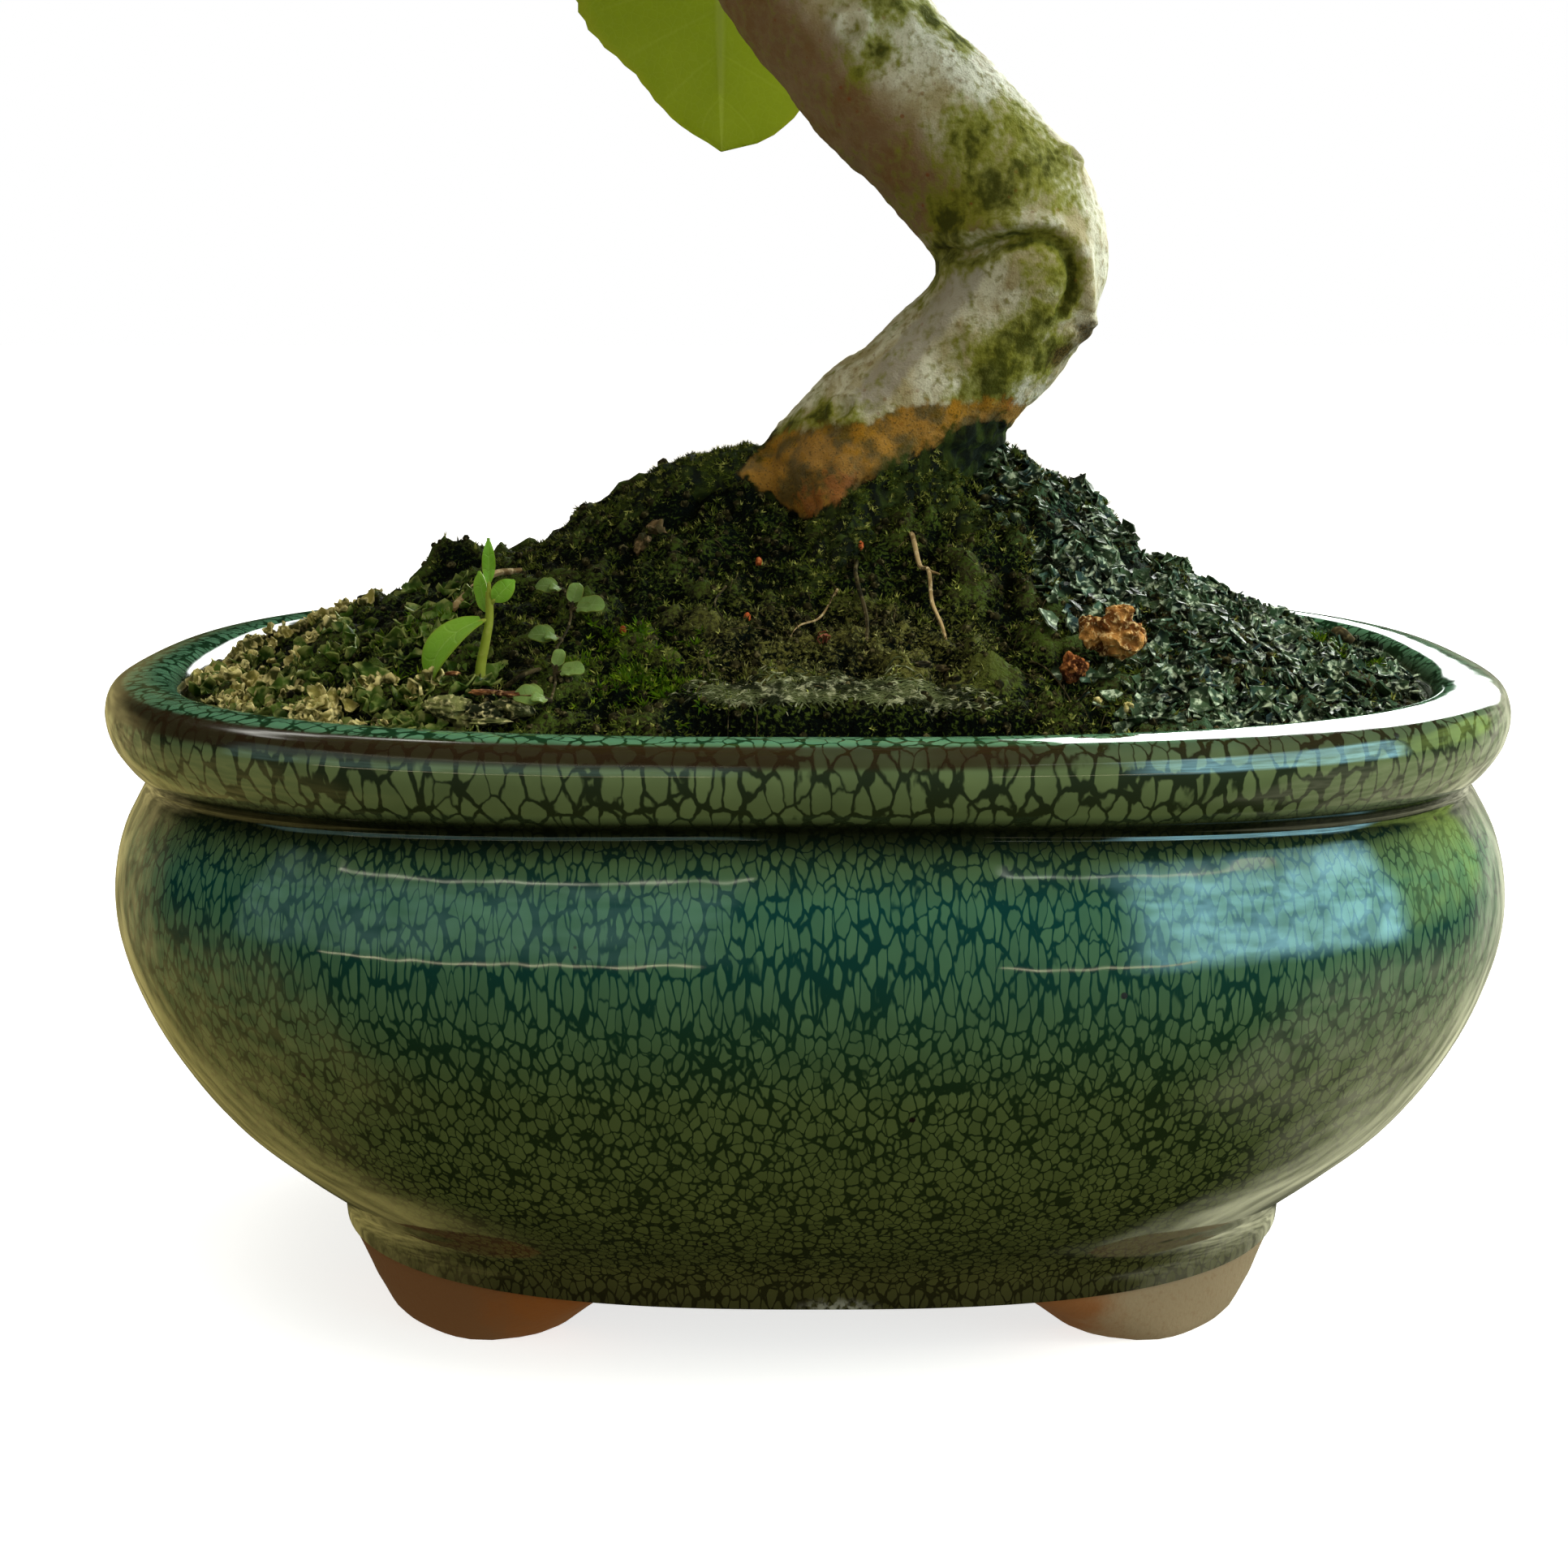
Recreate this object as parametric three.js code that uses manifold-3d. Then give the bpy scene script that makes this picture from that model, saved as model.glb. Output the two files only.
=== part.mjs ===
// Apple bonsai in a glazed oval pot. Millimetres, +Z up, ground at z = 0, camera side at -Y.
import * as THREE from "three";
import Module from "manifold-3d";

const wasm = await Module();
wasm.setup();

const GAP = 0.3;

// Pot: every ring is the same superellipse, only its half length and height change
const PLAN_POWER = 2.6;
const PLAN_SIDES = 40;
const RIM_HEIGHT = 116;
const FLOOR_HEIGHT = 20;
const BASE_HEIGHT = 12;
const LEAN = 1.3;
const DEPTH_AT_RIM = { halfLength: 124, halfDepth: 95, share: 0.9 };

// Rings of the pot: height at the ends, at the long sides, half length, and half depth where it has its own
const OUTER_RINGS = [
  [BASE_HEIGHT, BASE_HEIGHT, 89.8, 62],
  [15.8, 15.8, 90.2, 62.6],
  [20.0, 20.0, 92.0, 65.4],
  [29.0, 29.0, 100.9],
  [38.0, 38.0, 109.5],
  [48.5, 48.5, 116.7],
  [60.0, 60.0, 122.3],
  [72.0, 72.0, 125.6],
  [81.0, 81.5, 125.8],
  [89.5, 91.5, 123.8],
  [95.6, 99.2, 120.6],
  [98.2, 102.0, 119.2],
  [101.6, 104.4, 121.9],
  [106.0, 108.0, 124.5],
  [111.0, 112.0, 125.3],
  [114.8, 114.8, 124.0],
  [RIM_HEIGHT, RIM_HEIGHT, 121.4],
];
const INNER_RINGS = [
  [RIM_HEIGHT, RIM_HEIGHT, 115.2],
  [112.6, 112.6, 112.0],
  [99.0, 99.0, 111.6],
  [86.0, 86.0, 116.2],
  [68.0, 68.0, 116.4],
  [46.0, 46.0, 107.0],
  [29.0, 29.0, 91.5],
  [FLOOR_HEIGHT, FLOOR_HEIGHT, 78.0],
];

const FEET = {
  rings: [
    { height: 0, halfLength: 85.2, low: 21, high: 43.5, rounding: 8 },
    { height: 1.2, halfLength: 86.4, low: 19, high: 45, rounding: 7 },
    { height: 5.5, halfLength: 88, low: 15, high: 49.5, rounding: 4 },
    { height: 11.8, halfLength: 89.5, low: 11, high: 57, rounding: 0 },
    { height: 15, halfLength: 89.5, low: 11, high: 57, rounding: 0 },
  ],
  halfDepth: 61.6,
  thickness: 15,
  arcPoints: 6,
};
const DRAIN = { x: 42, radius: 9, sides: 16 };
const SCREEN = { side: 27, thickness: 1, bars: 4, barWidth: 1.6 };

// Soil: heights of the mound along four directions, from its middle out to the pot's wall
const MOUND = {
  middle: [5, 15],
  looseBelow: 50,
  left: [
    [0, 155], [0.1, 154.5], [0.29, 150], [0.38, 143.5], [0.48, 135.5], [0.6, 131], [0.71, 127.5],
    [0.85, 120], [1, 112.3],
  ],
  right: [
    [0, 155], [0.3, 154.5], [0.36, 150], [0.44, 146], [0.54, 135], [0.65, 129], [0.74, 125],
    [0.87, 119], [1, 112.3],
  ],
  front: [[0, 155], [0.15, 151], [0.35, 140.5], [0.56, 131], [0.78, 121.5], [1, 112.3]],
  back: [[0, 155], [0.3, 150], [0.6, 138], [1, 112.8]],
  lumps: [
    { at: [-67, 4], reach: 8, height: 6.5 },
    { at: [-24, 8], reach: 10, height: -1.8 },
    { at: [47, 8], reach: 7, height: 2 },
  ],
  steps: [1, 0.88, 0.76, 0.65, 0.54, 0.44, 0.33, 0.18],
};

// Trunk: centre line and radius against height
const TRUNK = {
  line: [
    [4, 4, 128], [9, 4, 142], [16.3, 2, 155.6], [21.4, 1, 161.6], [28.4, 0, 168.9], [34.9, -1, 176.1],
    [38, -2, 183.3], [38.4, -3, 190.5], [34.4, -3, 197.7], [28.3, -2, 204.7], [21.2, -1, 211.7],
    [13.9, 1, 218.6], [8.4, 2, 225.6], [2.2, 3, 232.4], [-5, 4, 243], [-11, 5, 255], [-13, 6, 266],
    [-9, 5, 280], [2, 2, 293], [13, -1, 305], [19.5, -3, 318], [19, -3, 332], [13.5, -1, 346],
    [7, 1, 359], [4, 2, 373],
  ],
  radii: [
    [128, 12], [140, 18], [148, 20], [153, 18.6], [160, 15.6], [168, 14.3], [178, 14.4], [190, 15.4],
    [200, 15], [222, 14.8], [232, 14.2], [250, 14.4], [280, 12], [306, 9.4], [332, 6.4], [358, 3.8],
    [373, 2.2],
  ],
  rings: 40,
  sides: 12,
};
const TRUNK_BUMPS = [
  { at: [46, -5, 204], reach: 7, height: 1 },
  { at: [51, -6, 186], reach: 8, height: 0.8 },
  { at: [8, -14, 163], reach: 5, height: 0.8 },
  { at: [14, -13, 231], reach: 5, height: 0.9 },
];
const ROOTS = [
  {
    line: [[8, 2, 146], [-8, 0, 148], [-22, -2, 147], [-34, -5, 140], [-46, -10, 130]],
    radii: [9, 6.6, 5, 3.6, 2.4],
  },
  { line: [[10, -4, 146], [6, -18, 137], [0, -31, 129.5], [-6, -42, 121]], radii: [9, 6, 3.8, 2.2] },
  { line: [[14, -2, 146], [28, -13, 138], [38, -23, 130], [46, -34, 121]], radii: [9, 6, 3.6, 2.2] },
  { line: [[14, 4, 147], [34, 8, 150], [50, 10, 139], [62, 12, 127]], radii: [9, 5.5, 3.8, 2.4] },
];

// Branches: centre line, radius at each end, and where their leafy sprays start
const BRANCHES = [
  {
    name: "left",
    line: [[-11, 5, 259], [-34, 2, 268], [-62, -4, 281], [-92, -10, 291]],
    radii: [6.2, 2.6],
    spurs: [0.42, 0.72],
  },
  {
    name: "back_left",
    line: [[-11, 8, 268], [-20, 30, 284], [-36, 52, 300], [-52, 72, 309]],
    radii: [5.4, 2.4],
    spurs: [0.6],
  },
  {
    name: "front_left",
    line: [[-8, 2, 281], [-20, -22, 293], [-32, -44, 302], [-36, -66, 309]],
    radii: [5, 2.4],
    spurs: [0.6],
  },
  {
    name: "right",
    line: [[14, -2, 304], [38, -4, 311], [66, -2, 315], [94, 4, 322]],
    radii: [5, 2.4],
    spurs: [0.42, 0.72],
  },
  {
    name: "front_right",
    line: [[17, -5, 313], [30, -28, 322], [46, -46, 329], [58, -62, 334]],
    radii: [4.2, 2.2],
    spurs: [0.42],
  },
  {
    name: "back_right",
    line: [[19, 0, 321], [34, 24, 330], [48, 44, 339], [60, 60, 345]],
    radii: [4, 2.2],
    spurs: [0.42],
  },
  {
    name: "upper_left",
    line: [[15, -2, 342], [-8, -5, 351], [-28, -8, 362], [-44, -10, 370]],
    radii: [3.2, 2],
    spurs: [],
  },
  {
    name: "upper_right",
    line: [[11, -1, 350], [24, -10, 359], [38, -16, 368], [48, -20, 374]],
    radii: [2.8, 1.9],
    spurs: [],
  },
];
const BRANCH_RINGS = 7;
const BRANCH_SIDES = 7;
const ROOT_SIDES = 7;

// Leaves: half width along the blade as a share of the widest half width
const LEAF_OUTLINE = [
  [0, 0.1], [0.05, 0.48], [0.15, 0.78], [0.3, 0.95], [0.45, 1], [0.6, 0.97], [0.7, 0.88], [0.8, 0.68],
  [0.88, 0.5], [0.95, 0.28], [1, 0],
];
const LEAF_STATIONS = [0.1, 0.3, 0.52, 0.73, 0.89];
const SMALL_LEAF_STATIONS = [0.2, 0.5, 0.8];
const LEAF = { length: 66, width: 46, thickness: 0.7, petioleRadius: 0.85, petioleLength: 19 };
const HANGING_LEAF = {
  tip: [-16.5, 40, 209.6], length: 74, width: 60, fold: 0.12, droop: 0.12, wave: 1.4, phase: 0.6,
  spur: { branch: 1, share: 0.62, away: [0.9, 0.55, 0.15], twig: 8 },
};
const GOLDEN_ANGLE = 2.399963;
const CROWN_UNDERSIDE = { height: 237, slope: 0.1414 };
const LEAF_TRIES = [20, 20, 25];
const LEAF_SHRINK = [1, 0.8, 0.62];
const LEAF_UP = new THREE.Vector3(0.1, -0.15, 1);
const SPACE = {
  bladeToStem: 3.5,
  petioleToStem: 2,
  sameSpray: 5.2,
  blades: 6.6,
  petioleToBlade: 6,
  petioles: 6.5,
};
const TWIG = { radii: [1.7, 1.6, 1.5, 1.1], sides: 5, clearRadius: 1.6 };

// Apples: where each stalk leaves its branch, and the fruit's radius
const APPLES = [
  { name: "apple_left", branch: 0, share: 0.58, radius: 13.5, stalk: 15 },
  { name: "apple_front_left", branch: 2, share: 0.78, radius: 14.5, stalk: 17 },
  { name: "apple_right", branch: 3, share: 0.58, radius: 14, stalk: 18 },
  { name: "apple_front_right", branch: 4, share: 0.78, radius: 13, stalk: 16 },
  { name: "apple_back", branch: 5, share: 0.78, radius: 14, stalk: 16 },
];
const APPLE_PROFILE = [
  [0.14, 0.68], [0.42, 0.88], [0.86, 0.64], [1, 0.1], [0.88, -0.46], [0.5, -0.84], [0.16, -0.76],
];
const APPLE_SIDES = 11;
const STALK = { top: 0.7, middle: 0.8, bottom: 1, bend: 1.2, sides: 6 };

// Small plants of the soil, heights counted from the soil's surface
const SMALL_LEAF = {
  thickness: 0.6,
  petiole: 0.4,
  petioleLength: 1.4,
  fold: 0.25,
  wave: 0.2,
  phase: 1,
  arch: 0,
};
const SEEDLING = {
  stem: [[-53.3, -57, -6], [-53.3, -57, 0], [-52.4, -57, 4.5], [-51.6, -57, 8.5], [-51.5, -57, 13]],
  radius: 0.75,
  stemPoints: 9,
  leaves: [
    { at: 6, forward: [-0.85, -0.35, 0.12], up: [-0.2, -0.5, 0.9], length: 15, width: 5.4, droop: 1.6 },
    { at: 8, forward: [0.02, -0.05, 1], up: [0.1, -1, 0], length: 8.5, width: 2.8, droop: 0.1 },
    { at: 6, forward: [-0.4, 0.5, 1], up: [-0.5, -1, 0.2], length: 7, width: 2.4, droop: 0.2 },
    { at: 7, forward: [0.85, -0.3, 0.5], up: [0.2, -0.7, 0.7], length: 5, width: 3.8, droop: 0.9 },
  ],
};
const WEED = {
  line: [[-41.5, -40], [-39.8, -47], [-40.6, -54], [-42.2, -60], [-42, -66], [-43.5, -71]],
  lift: 1.8,
  radius: 0.5,
  stemPoints: 12,
  leafLength: 5.2,
  leafWidth: 4.8,
};

// Lumps of fired clay grit lying on the soil
const LUMPS = [
  { name: "clay_lump_large", at: [49.2, -56.4], radii: [5.6, 4.8, 5.0], seed: 31 },
  { name: "clay_lump_small", at: [42.6, -61.8], radii: [2.6, 2.2, 2.3], seed: 57 },
];
const LUMP_SIDES = 8;
const LUMP_RINGS = 5;

// Colours and roughness
const GLAZE = { color: 0x2c4a30, roughness: 0.15 };
const SCREEN_PLASTIC = { color: 0x1c1c1c, roughness: 0.7 };
const EARTH = { color: 0x2a2118, roughness: 1 };
const BARK = { color: 0x8d8a80, roughness: 0.85 };
const CLAY = { color: 0xb06a34, roughness: 0.95 };
const LEAF_GREEN = { color: 0x5f8f2f, roughness: 0.6 };
const WEED_GREEN = { color: 0x6f9f3c, roughness: 0.7 };
const FRUIT = { color: 0xb5301f, roughness: 0.35 };

function vector(triple) {
  return new THREE.Vector3(triple[0], triple[1], triple[2]);
}

function between(table, position) {
  if (position <= table[0][0]) {
    return table[0][1];
  }
  for (let i = 1; i < table.length; i += 1) {
    if (position <= table[i][0]) {
      const share = (position - table[i - 1][0]) / (table[i][0] - table[i - 1][0]);
      return table[i - 1][1] + share * (table[i][1] - table[i - 1][1]);
    }
  }
  return table[table.length - 1][1];
}

// A seeded row of numbers from 0 to 1
function seeded(seed) {
  let state = seed % 4294967296;
  return () => {
    state = (state * 1664525 + 1013904223) % 4294967296;
    return state / 4294967296;
  };
}

// Solids: closed shells made from rings of points, turned outward
function closedSolid(points, triangles) {
  let volume = 0;
  for (const [a, b, c] of triangles) {
    volume += points[a].dot(new THREE.Vector3().crossVectors(points[b], points[c]));
  }
  const flat = new Float32Array(points.length * 3);
  points.forEach((point, i) => {
    flat.set([point.x, point.y, point.z], i * 3);
  });
  const order = triangles.map(([a, b, c]) => (volume < 0 ? [a, c, b] : [a, b, c])).flat();
  const mesh = new wasm.Mesh({ numProp: 3, vertProperties: flat, triVerts: new Uint32Array(order) });
  return new wasm.Manifold(mesh);
}

function ringSolid(rings) {
  const sides = rings[0].length;
  const points = rings.flat();
  const triangles = [];
  for (let i = 0; i + 1 < rings.length; i += 1) {
    for (let k = 0; k < sides; k += 1) {
      const next = (k + 1) % sides;
      const a = i * sides + k;
      const b = i * sides + next;
      triangles.push([a, b, b + sides], [a, b + sides, a + sides]);
    }
  }
  for (const [first, turned] of [[0, true], [(rings.length - 1) * sides, false]]) {
    const middle = new THREE.Vector3();
    for (let k = 0; k < sides; k += 1) {
      middle.addScaledVector(points[first + k], 1 / sides);
    }
    points.push(middle);
    for (let k = 0; k < sides; k += 1) {
      const a = first + k;
      const b = first + (k + 1) % sides;
      triangles.push(turned ? [points.length - 1, b, a] : [points.length - 1, a, b]);
    }
  }
  return closedSolid(points, triangles);
}

// Frames along a line, carried on without twist
function framesAlong(points) {
  const frames = [];
  let side = new THREE.Vector3(0.31, 0.87, 0.11);
  points.forEach((point, i) => {
    const before = points[Math.max(i - 1, 0)];
    const after = points[Math.min(i + 1, points.length - 1)];
    const forward = after.clone().sub(before).normalize();
    side = side.clone().addScaledVector(forward, -side.dot(forward)).normalize();
    frames.push({ point, forward, side, other: new THREE.Vector3().crossVectors(forward, side) });
  });
  return frames;
}

function sweep(points, radii, sides, swell = () => 0) {
  const rings = framesAlong(points).map(({ point, side, other }, i) => {
    const ring = [];
    for (let k = 0; k < sides; k += 1) {
      const angle = (2 * Math.PI * k) / sides;
      const outward = side.clone().multiplyScalar(Math.cos(angle)).addScaledVector(other, Math.sin(angle));
      const plain = point.clone().addScaledVector(outward, radii[i]);
      ring.push(plain.addScaledVector(outward, swell(plain, i)));
    }
    return ring;
  });
  return ringSolid(rings);
}

function curvePoints(line, count) {
  const curve = new THREE.CatmullRomCurve3(line.map(vector), false, "catmullrom", 0.5);
  const points = [];
  for (let i = 0; i < count; i += 1) {
    points.push(curve.getPoint(i / (count - 1)));
  }
  return points;
}

function blendedRadii(radii, count) {
  const table = radii.map((radius, i) => [i / (radii.length - 1), radius]);
  const blended = [];
  for (let i = 0; i < count; i += 1) {
    blended.push(between(table, i / (count - 1)));
  }
  return blended;
}

function joined(solids) {
  let whole = solids[0];
  for (let i = 1; i < solids.length; i += 1) {
    whole = whole.add(solids[i]);
  }
  return whole;
}

// Plan of the pot
function halfDepth(halfLength) {
  return DEPTH_AT_RIM.halfDepth - (DEPTH_AT_RIM.halfLength - halfLength) * DEPTH_AT_RIM.share;
}

function planRadius(halfLength, depth, angle) {
  const along = Math.abs(Math.cos(angle) / halfLength) ** PLAN_POWER;
  const across = Math.abs(Math.sin(angle) / depth) ** PLAN_POWER;
  return (along + across) ** (-1 / PLAN_POWER);
}

// The thrown pot stands a little off centre under its rim
function leanAt(height) {
  return LEAN * (1 - height / RIM_HEIGHT);
}

function planRing([endHeight, sideHeight, halfLength, depth = halfDepth(halfLength)]) {
  const ring = [];
  for (let k = 0; k < PLAN_SIDES; k += 1) {
    const angle = (2 * Math.PI * k) / PLAN_SIDES;
    const reach = planRadius(halfLength, depth, angle);
    const height = sideHeight + (endHeight - sideHeight) * Math.cos(angle) ** 2;
    ring.push(new THREE.Vector3(leanAt(height) + reach * Math.cos(angle), reach * Math.sin(angle), height));
  }
  return ring;
}

function foot(mirrorX, mirrorY) {
  const rings = FEET.rings.map(({ height, halfLength, low, high, rounding }) => {
    const ring = [];
    const last = FEET.arcPoints - 1;
    for (const inner of [false, true]) {
      for (let k = 0; k <= last; k += 1) {
        const share = inner ? 1 - k / last : k / last;
        const angle = THREE.MathUtils.degToRad(low + (high - low) * share);
        const full = planRadius(halfLength, FEET.halfDepth, angle);
        const rounded = full - rounding * Math.abs(2 * share - 1) ** 4;
        const reach = inner ? full - FEET.thickness : rounded;
        const x = leanAt(height) + mirrorX * reach * Math.cos(angle);
        ring.push(new THREE.Vector3(x, mirrorY * reach * Math.sin(angle), height));
      }
    }
    return ring;
  });
  return ringSolid(rings);
}

function drainPlug(x) {
  const ring = (height) => {
    const points = [];
    for (let k = 0; k < DRAIN.sides; k += 1) {
      const angle = (2 * Math.PI * k) / DRAIN.sides;
      const out = DRAIN.radius * Math.cos(angle);
      points.push(new THREE.Vector3(x + out, DRAIN.radius * Math.sin(angle), height));
    }
    return points;
  };
  return ringSolid([ring(BASE_HEIGHT - 2), ring(FLOOR_HEIGHT + 2)]);
}

function potSolid() {
  const body = ringSolid([...OUTER_RINGS, ...INNER_RINGS].map(planRing));
  const feet = [foot(1, 1), foot(-1, 1), foot(1, -1), foot(-1, -1)];
  return joined([body, ...feet]).subtract(drainPlug(DRAIN.x)).subtract(drainPlug(-DRAIN.x));
}

function boxSolid(low, high) {
  const ring = (height) => [
    new THREE.Vector3(low[0], low[1], height),
    new THREE.Vector3(high[0], low[1], height),
    new THREE.Vector3(high[0], high[1], height),
    new THREE.Vector3(low[0], high[1], height),
  ];
  return ringSolid([ring(low[2]), ring(high[2])]);
}

function screenSolid(x) {
  const half = SCREEN.side / 2;
  const low = FLOOR_HEIGHT + GAP;
  const high = low + SCREEN.thickness;
  const pitch = (SCREEN.side - SCREEN.barWidth) / (SCREEN.bars - 1);
  let screen = boxSolid([x - half, -half, low], [x + half, half, high]);
  for (let i = 0; i + 1 < SCREEN.bars; i += 1) {
    for (let k = 0; k + 1 < SCREEN.bars; k += 1) {
      const left = x - half + SCREEN.barWidth + i * pitch;
      const front = -half + SCREEN.barWidth + k * pitch;
      const wide = pitch - SCREEN.barWidth;
      screen = screen.subtract(boxSolid([left, front, low - 1], [left + wide, front + wide, high + 1]));
    }
  }
  return screen;
}

// Height of the soil's surface at any point of the plan
function soilHeight(x, y) {
  const dx = x - MOUND.middle[0];
  const dy = y - MOUND.middle[1];
  const distance = Math.hypot(dx, dy);
  const angle = Math.atan2(dy, dx);
  const share = Math.min(distance / wallDistance(angle), 1);
  const leftRight = between(dx < 0 ? MOUND.left : MOUND.right, share);
  const frontBack = between(dy < 0 ? MOUND.front : MOUND.back, share);
  const smooth = leftRight * Math.cos(angle) ** 2 + frontBack * Math.sin(angle) ** 2;
  let rough = 1.1 * Math.sin(0.21 * x + 1.3) * Math.sin(0.19 * y + 0.7);
  rough += 0.7 * Math.sin(0.37 * x - 0.29 * y + 2.1);
  for (const { at, reach, height } of MOUND.lumps) {
    const away = Math.hypot(x - at[0], y - at[1]) / reach;
    rough += (height * Math.exp(-2 * away * away)) / (1 - share + 0.001);
  }
  return smooth + rough * (1 - share);
}

// Distance from the mound's middle to the pot's inner wall in one direction
function wallDistance(angle) {
  const halfLength = INNER_RINGS[1][2] - GAP;
  let low = 0;
  let high = 140;
  for (let i = 0; i < 24; i += 1) {
    const middle = (low + high) / 2;
    const x = MOUND.middle[0] + middle * Math.cos(angle);
    const y = MOUND.middle[1] + middle * Math.sin(angle);
    if (Math.hypot(x, y) < planRadius(halfLength, halfDepth(halfLength), Math.atan2(y, x))) {
      low = middle;
    } else {
      high = middle;
    }
  }
  return low;
}

function soilSolid() {
  const wall = INNER_RINGS.slice(1).reverse().map(([ends, sides, halfLength]) => {
    const lift = ends === FLOOR_HEIGHT ? GAP : 0;
    return planRing([ends + lift, sides + lift, halfLength - (ends < MOUND.looseBelow ? 3 * GAP : GAP)]);
  });
  const edge = wall.pop();
  const surface = MOUND.steps.map((step) => edge.map((point) => {
    const x = MOUND.middle[0] + (point.x - MOUND.middle[0]) * step;
    const y = MOUND.middle[1] + (point.y - MOUND.middle[1]) * step;
    return new THREE.Vector3(x, y, soilHeight(x, y));
  }));
  let soil = ringSolid([...wall, ...surface]);
  const half = SCREEN.side / 2 + GAP;
  for (const x of [-DRAIN.x, DRAIN.x]) {
    const top = FLOOR_HEIGHT + SCREEN.thickness + 2 * GAP;
    soil = soil.subtract(boxSolid([x - half, -half, FLOOR_HEIGHT - 1], [x + half, half, top]));
  }
  return soil;
}

// Trunk with its roots and branches. A swollen copy of the buried part cuts the hole in the soil.
function trunkSwell(point) {
  let swell = 0.3 * Math.sin(0.19 * point.z + 0.31 * point.x) * Math.sin(0.23 * point.y + 1.1);
  for (const { at, reach, height } of TRUNK_BUMPS) {
    const distance = point.distanceTo(vector(at)) / reach;
    swell += height * Math.exp(-2 * distance * distance);
  }
  return swell;
}

function trunkColumn(extra, from, to) {
  const points = curvePoints(TRUNK.line, TRUNK.rings).filter((point) => point.z >= from && point.z <= to);
  const radii = points.map((point) => between(TRUNK.radii, point.z) + extra);
  return sweep(points, radii, TRUNK.sides, trunkSwell);
}

function rootSolid({ line, radii }, extra) {
  const count = 2 * line.length - 1;
  const thick = blendedRadii(radii.map((radius) => radius + extra), count);
  return sweep(curvePoints(line, count), thick, ROOT_SIDES);
}

function trunkSolid() {
  const column = trunkColumn(0, 0, 400);
  const roots = ROOTS.map((root) => rootSolid(root, 0));
  const branches = BRANCHES.map(({ line, radii }) => {
    const points = curvePoints(line, BRANCH_RINGS);
    return sweep(points, blendedRadii(radii, BRANCH_RINGS), BRANCH_SIDES);
  });
  return joined([column, ...roots, ...branches]);
}

function trunkHole() {
  return joined([trunkColumn(GAP + 0.1, 0, 175), ...ROOTS.map((root) => rootSolid(root, GAP + 0.1))]);
}

// Leaves: a folded, waved blade on a bent petiole
function bladePoint(leaf, along, across) {
  const bend = leaf.droop * along;
  const reach = (leaf.length * Math.sin(bend)) / leaf.droop;
  const sink = (leaf.length * (1 - Math.cos(bend))) / leaf.droop;
  const half = (leaf.width / 2) * between(LEAF_OUTLINE, along);
  const lift = Math.abs(across) * half * Math.sin(leaf.fold)
    + leaf.wave * across * across * Math.sin(9 * along + leaf.phase + (across > 0 ? 1.7 : 0));
  const normal = leaf.normal.clone().multiplyScalar(Math.cos(bend));
  normal.addScaledVector(leaf.forward, Math.sin(bend));
  const point = leaf.base.clone().addScaledVector(leaf.forward, reach).addScaledVector(leaf.normal, -sink);
  point.addScaledVector(leaf.side, across * half * Math.cos(leaf.fold)).addScaledVector(normal, lift);
  return { point, normal };
}

// Blade and petiole in one shell: the petiole is four-sided and opens out into the blade's base
function leafSolid(leaf, stations) {
  const points = [];
  const triangles = [];
  const quad = (a, b, c, d) => triangles.push([a, b, c], [a, c, d]);
  const rows = stations.map((along) => [-1, 0, 1].map((across) => {
    const { point, normal } = bladePoint(leaf, along, across);
    points.push(point.clone().addScaledVector(normal, leaf.thickness / 2));
    points.push(point.clone().addScaledVector(normal, -leaf.thickness / 2));
    return points.length - 2;
  }));
  for (let i = 0; i + 1 < rows.length; i += 1) {
    const [left, middle, right] = rows[i];
    const [nextLeft, nextMiddle, nextRight] = rows[i + 1];
    quad(left, middle, nextMiddle, nextLeft);
    quad(middle, right, nextRight, nextMiddle);
    quad(left + 1, nextLeft + 1, nextMiddle + 1, middle + 1);
    quad(middle + 1, nextMiddle + 1, nextRight + 1, right + 1);
    quad(left, nextLeft, nextLeft + 1, left + 1);
    quad(right, right + 1, nextRight + 1, nextRight);
  }
  const [lastLeft, lastMiddle, lastRight] = rows[rows.length - 1];
  const { point: tipPoint, normal: tipNormal } = bladePoint(leaf, 1, 0);
  points.push(tipPoint.clone().addScaledVector(tipNormal, leaf.thickness / 2));
  points.push(tipPoint.clone().addScaledVector(tipNormal, -leaf.thickness / 2));
  const tip = points.length - 2;
  triangles.push([lastLeft, lastMiddle, tip], [lastMiddle, lastRight, tip]);
  triangles.push([lastLeft + 1, tip + 1, lastMiddle + 1], [lastMiddle + 1, tip + 1, lastRight + 1]);
  quad(lastLeft, tip, tip + 1, lastLeft + 1);
  quad(lastRight, lastRight + 1, tip + 1, tip);
  const collars = petioleRings(leaf).map((ring) => {
    points.push(...ring);
    return points.length - 4;
  });
  for (let i = 0; i + 1 < collars.length; i += 1) {
    for (let k = 0; k < 4; k += 1) {
      const next = (k + 1) % 4;
      quad(collars[i] + k, collars[i] + next, collars[i + 1] + next, collars[i + 1] + k);
    }
  }
  const root = collars[0];
  quad(root + 3, root + 2, root + 1, root);
  const neck = collars[collars.length - 1];
  const [left, middle, right] = rows[0];
  quad(neck, neck + 1, middle, left);
  quad(neck + 1, neck + 2, right, middle);
  quad(neck + 2, neck + 3, middle + 1, right + 1);
  quad(neck + 3, neck, left + 1, middle + 1);
  triangles.push([neck, left, left + 1], [neck + 2, right + 1, right]);
  return closedSolid(points, triangles);
}

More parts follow.
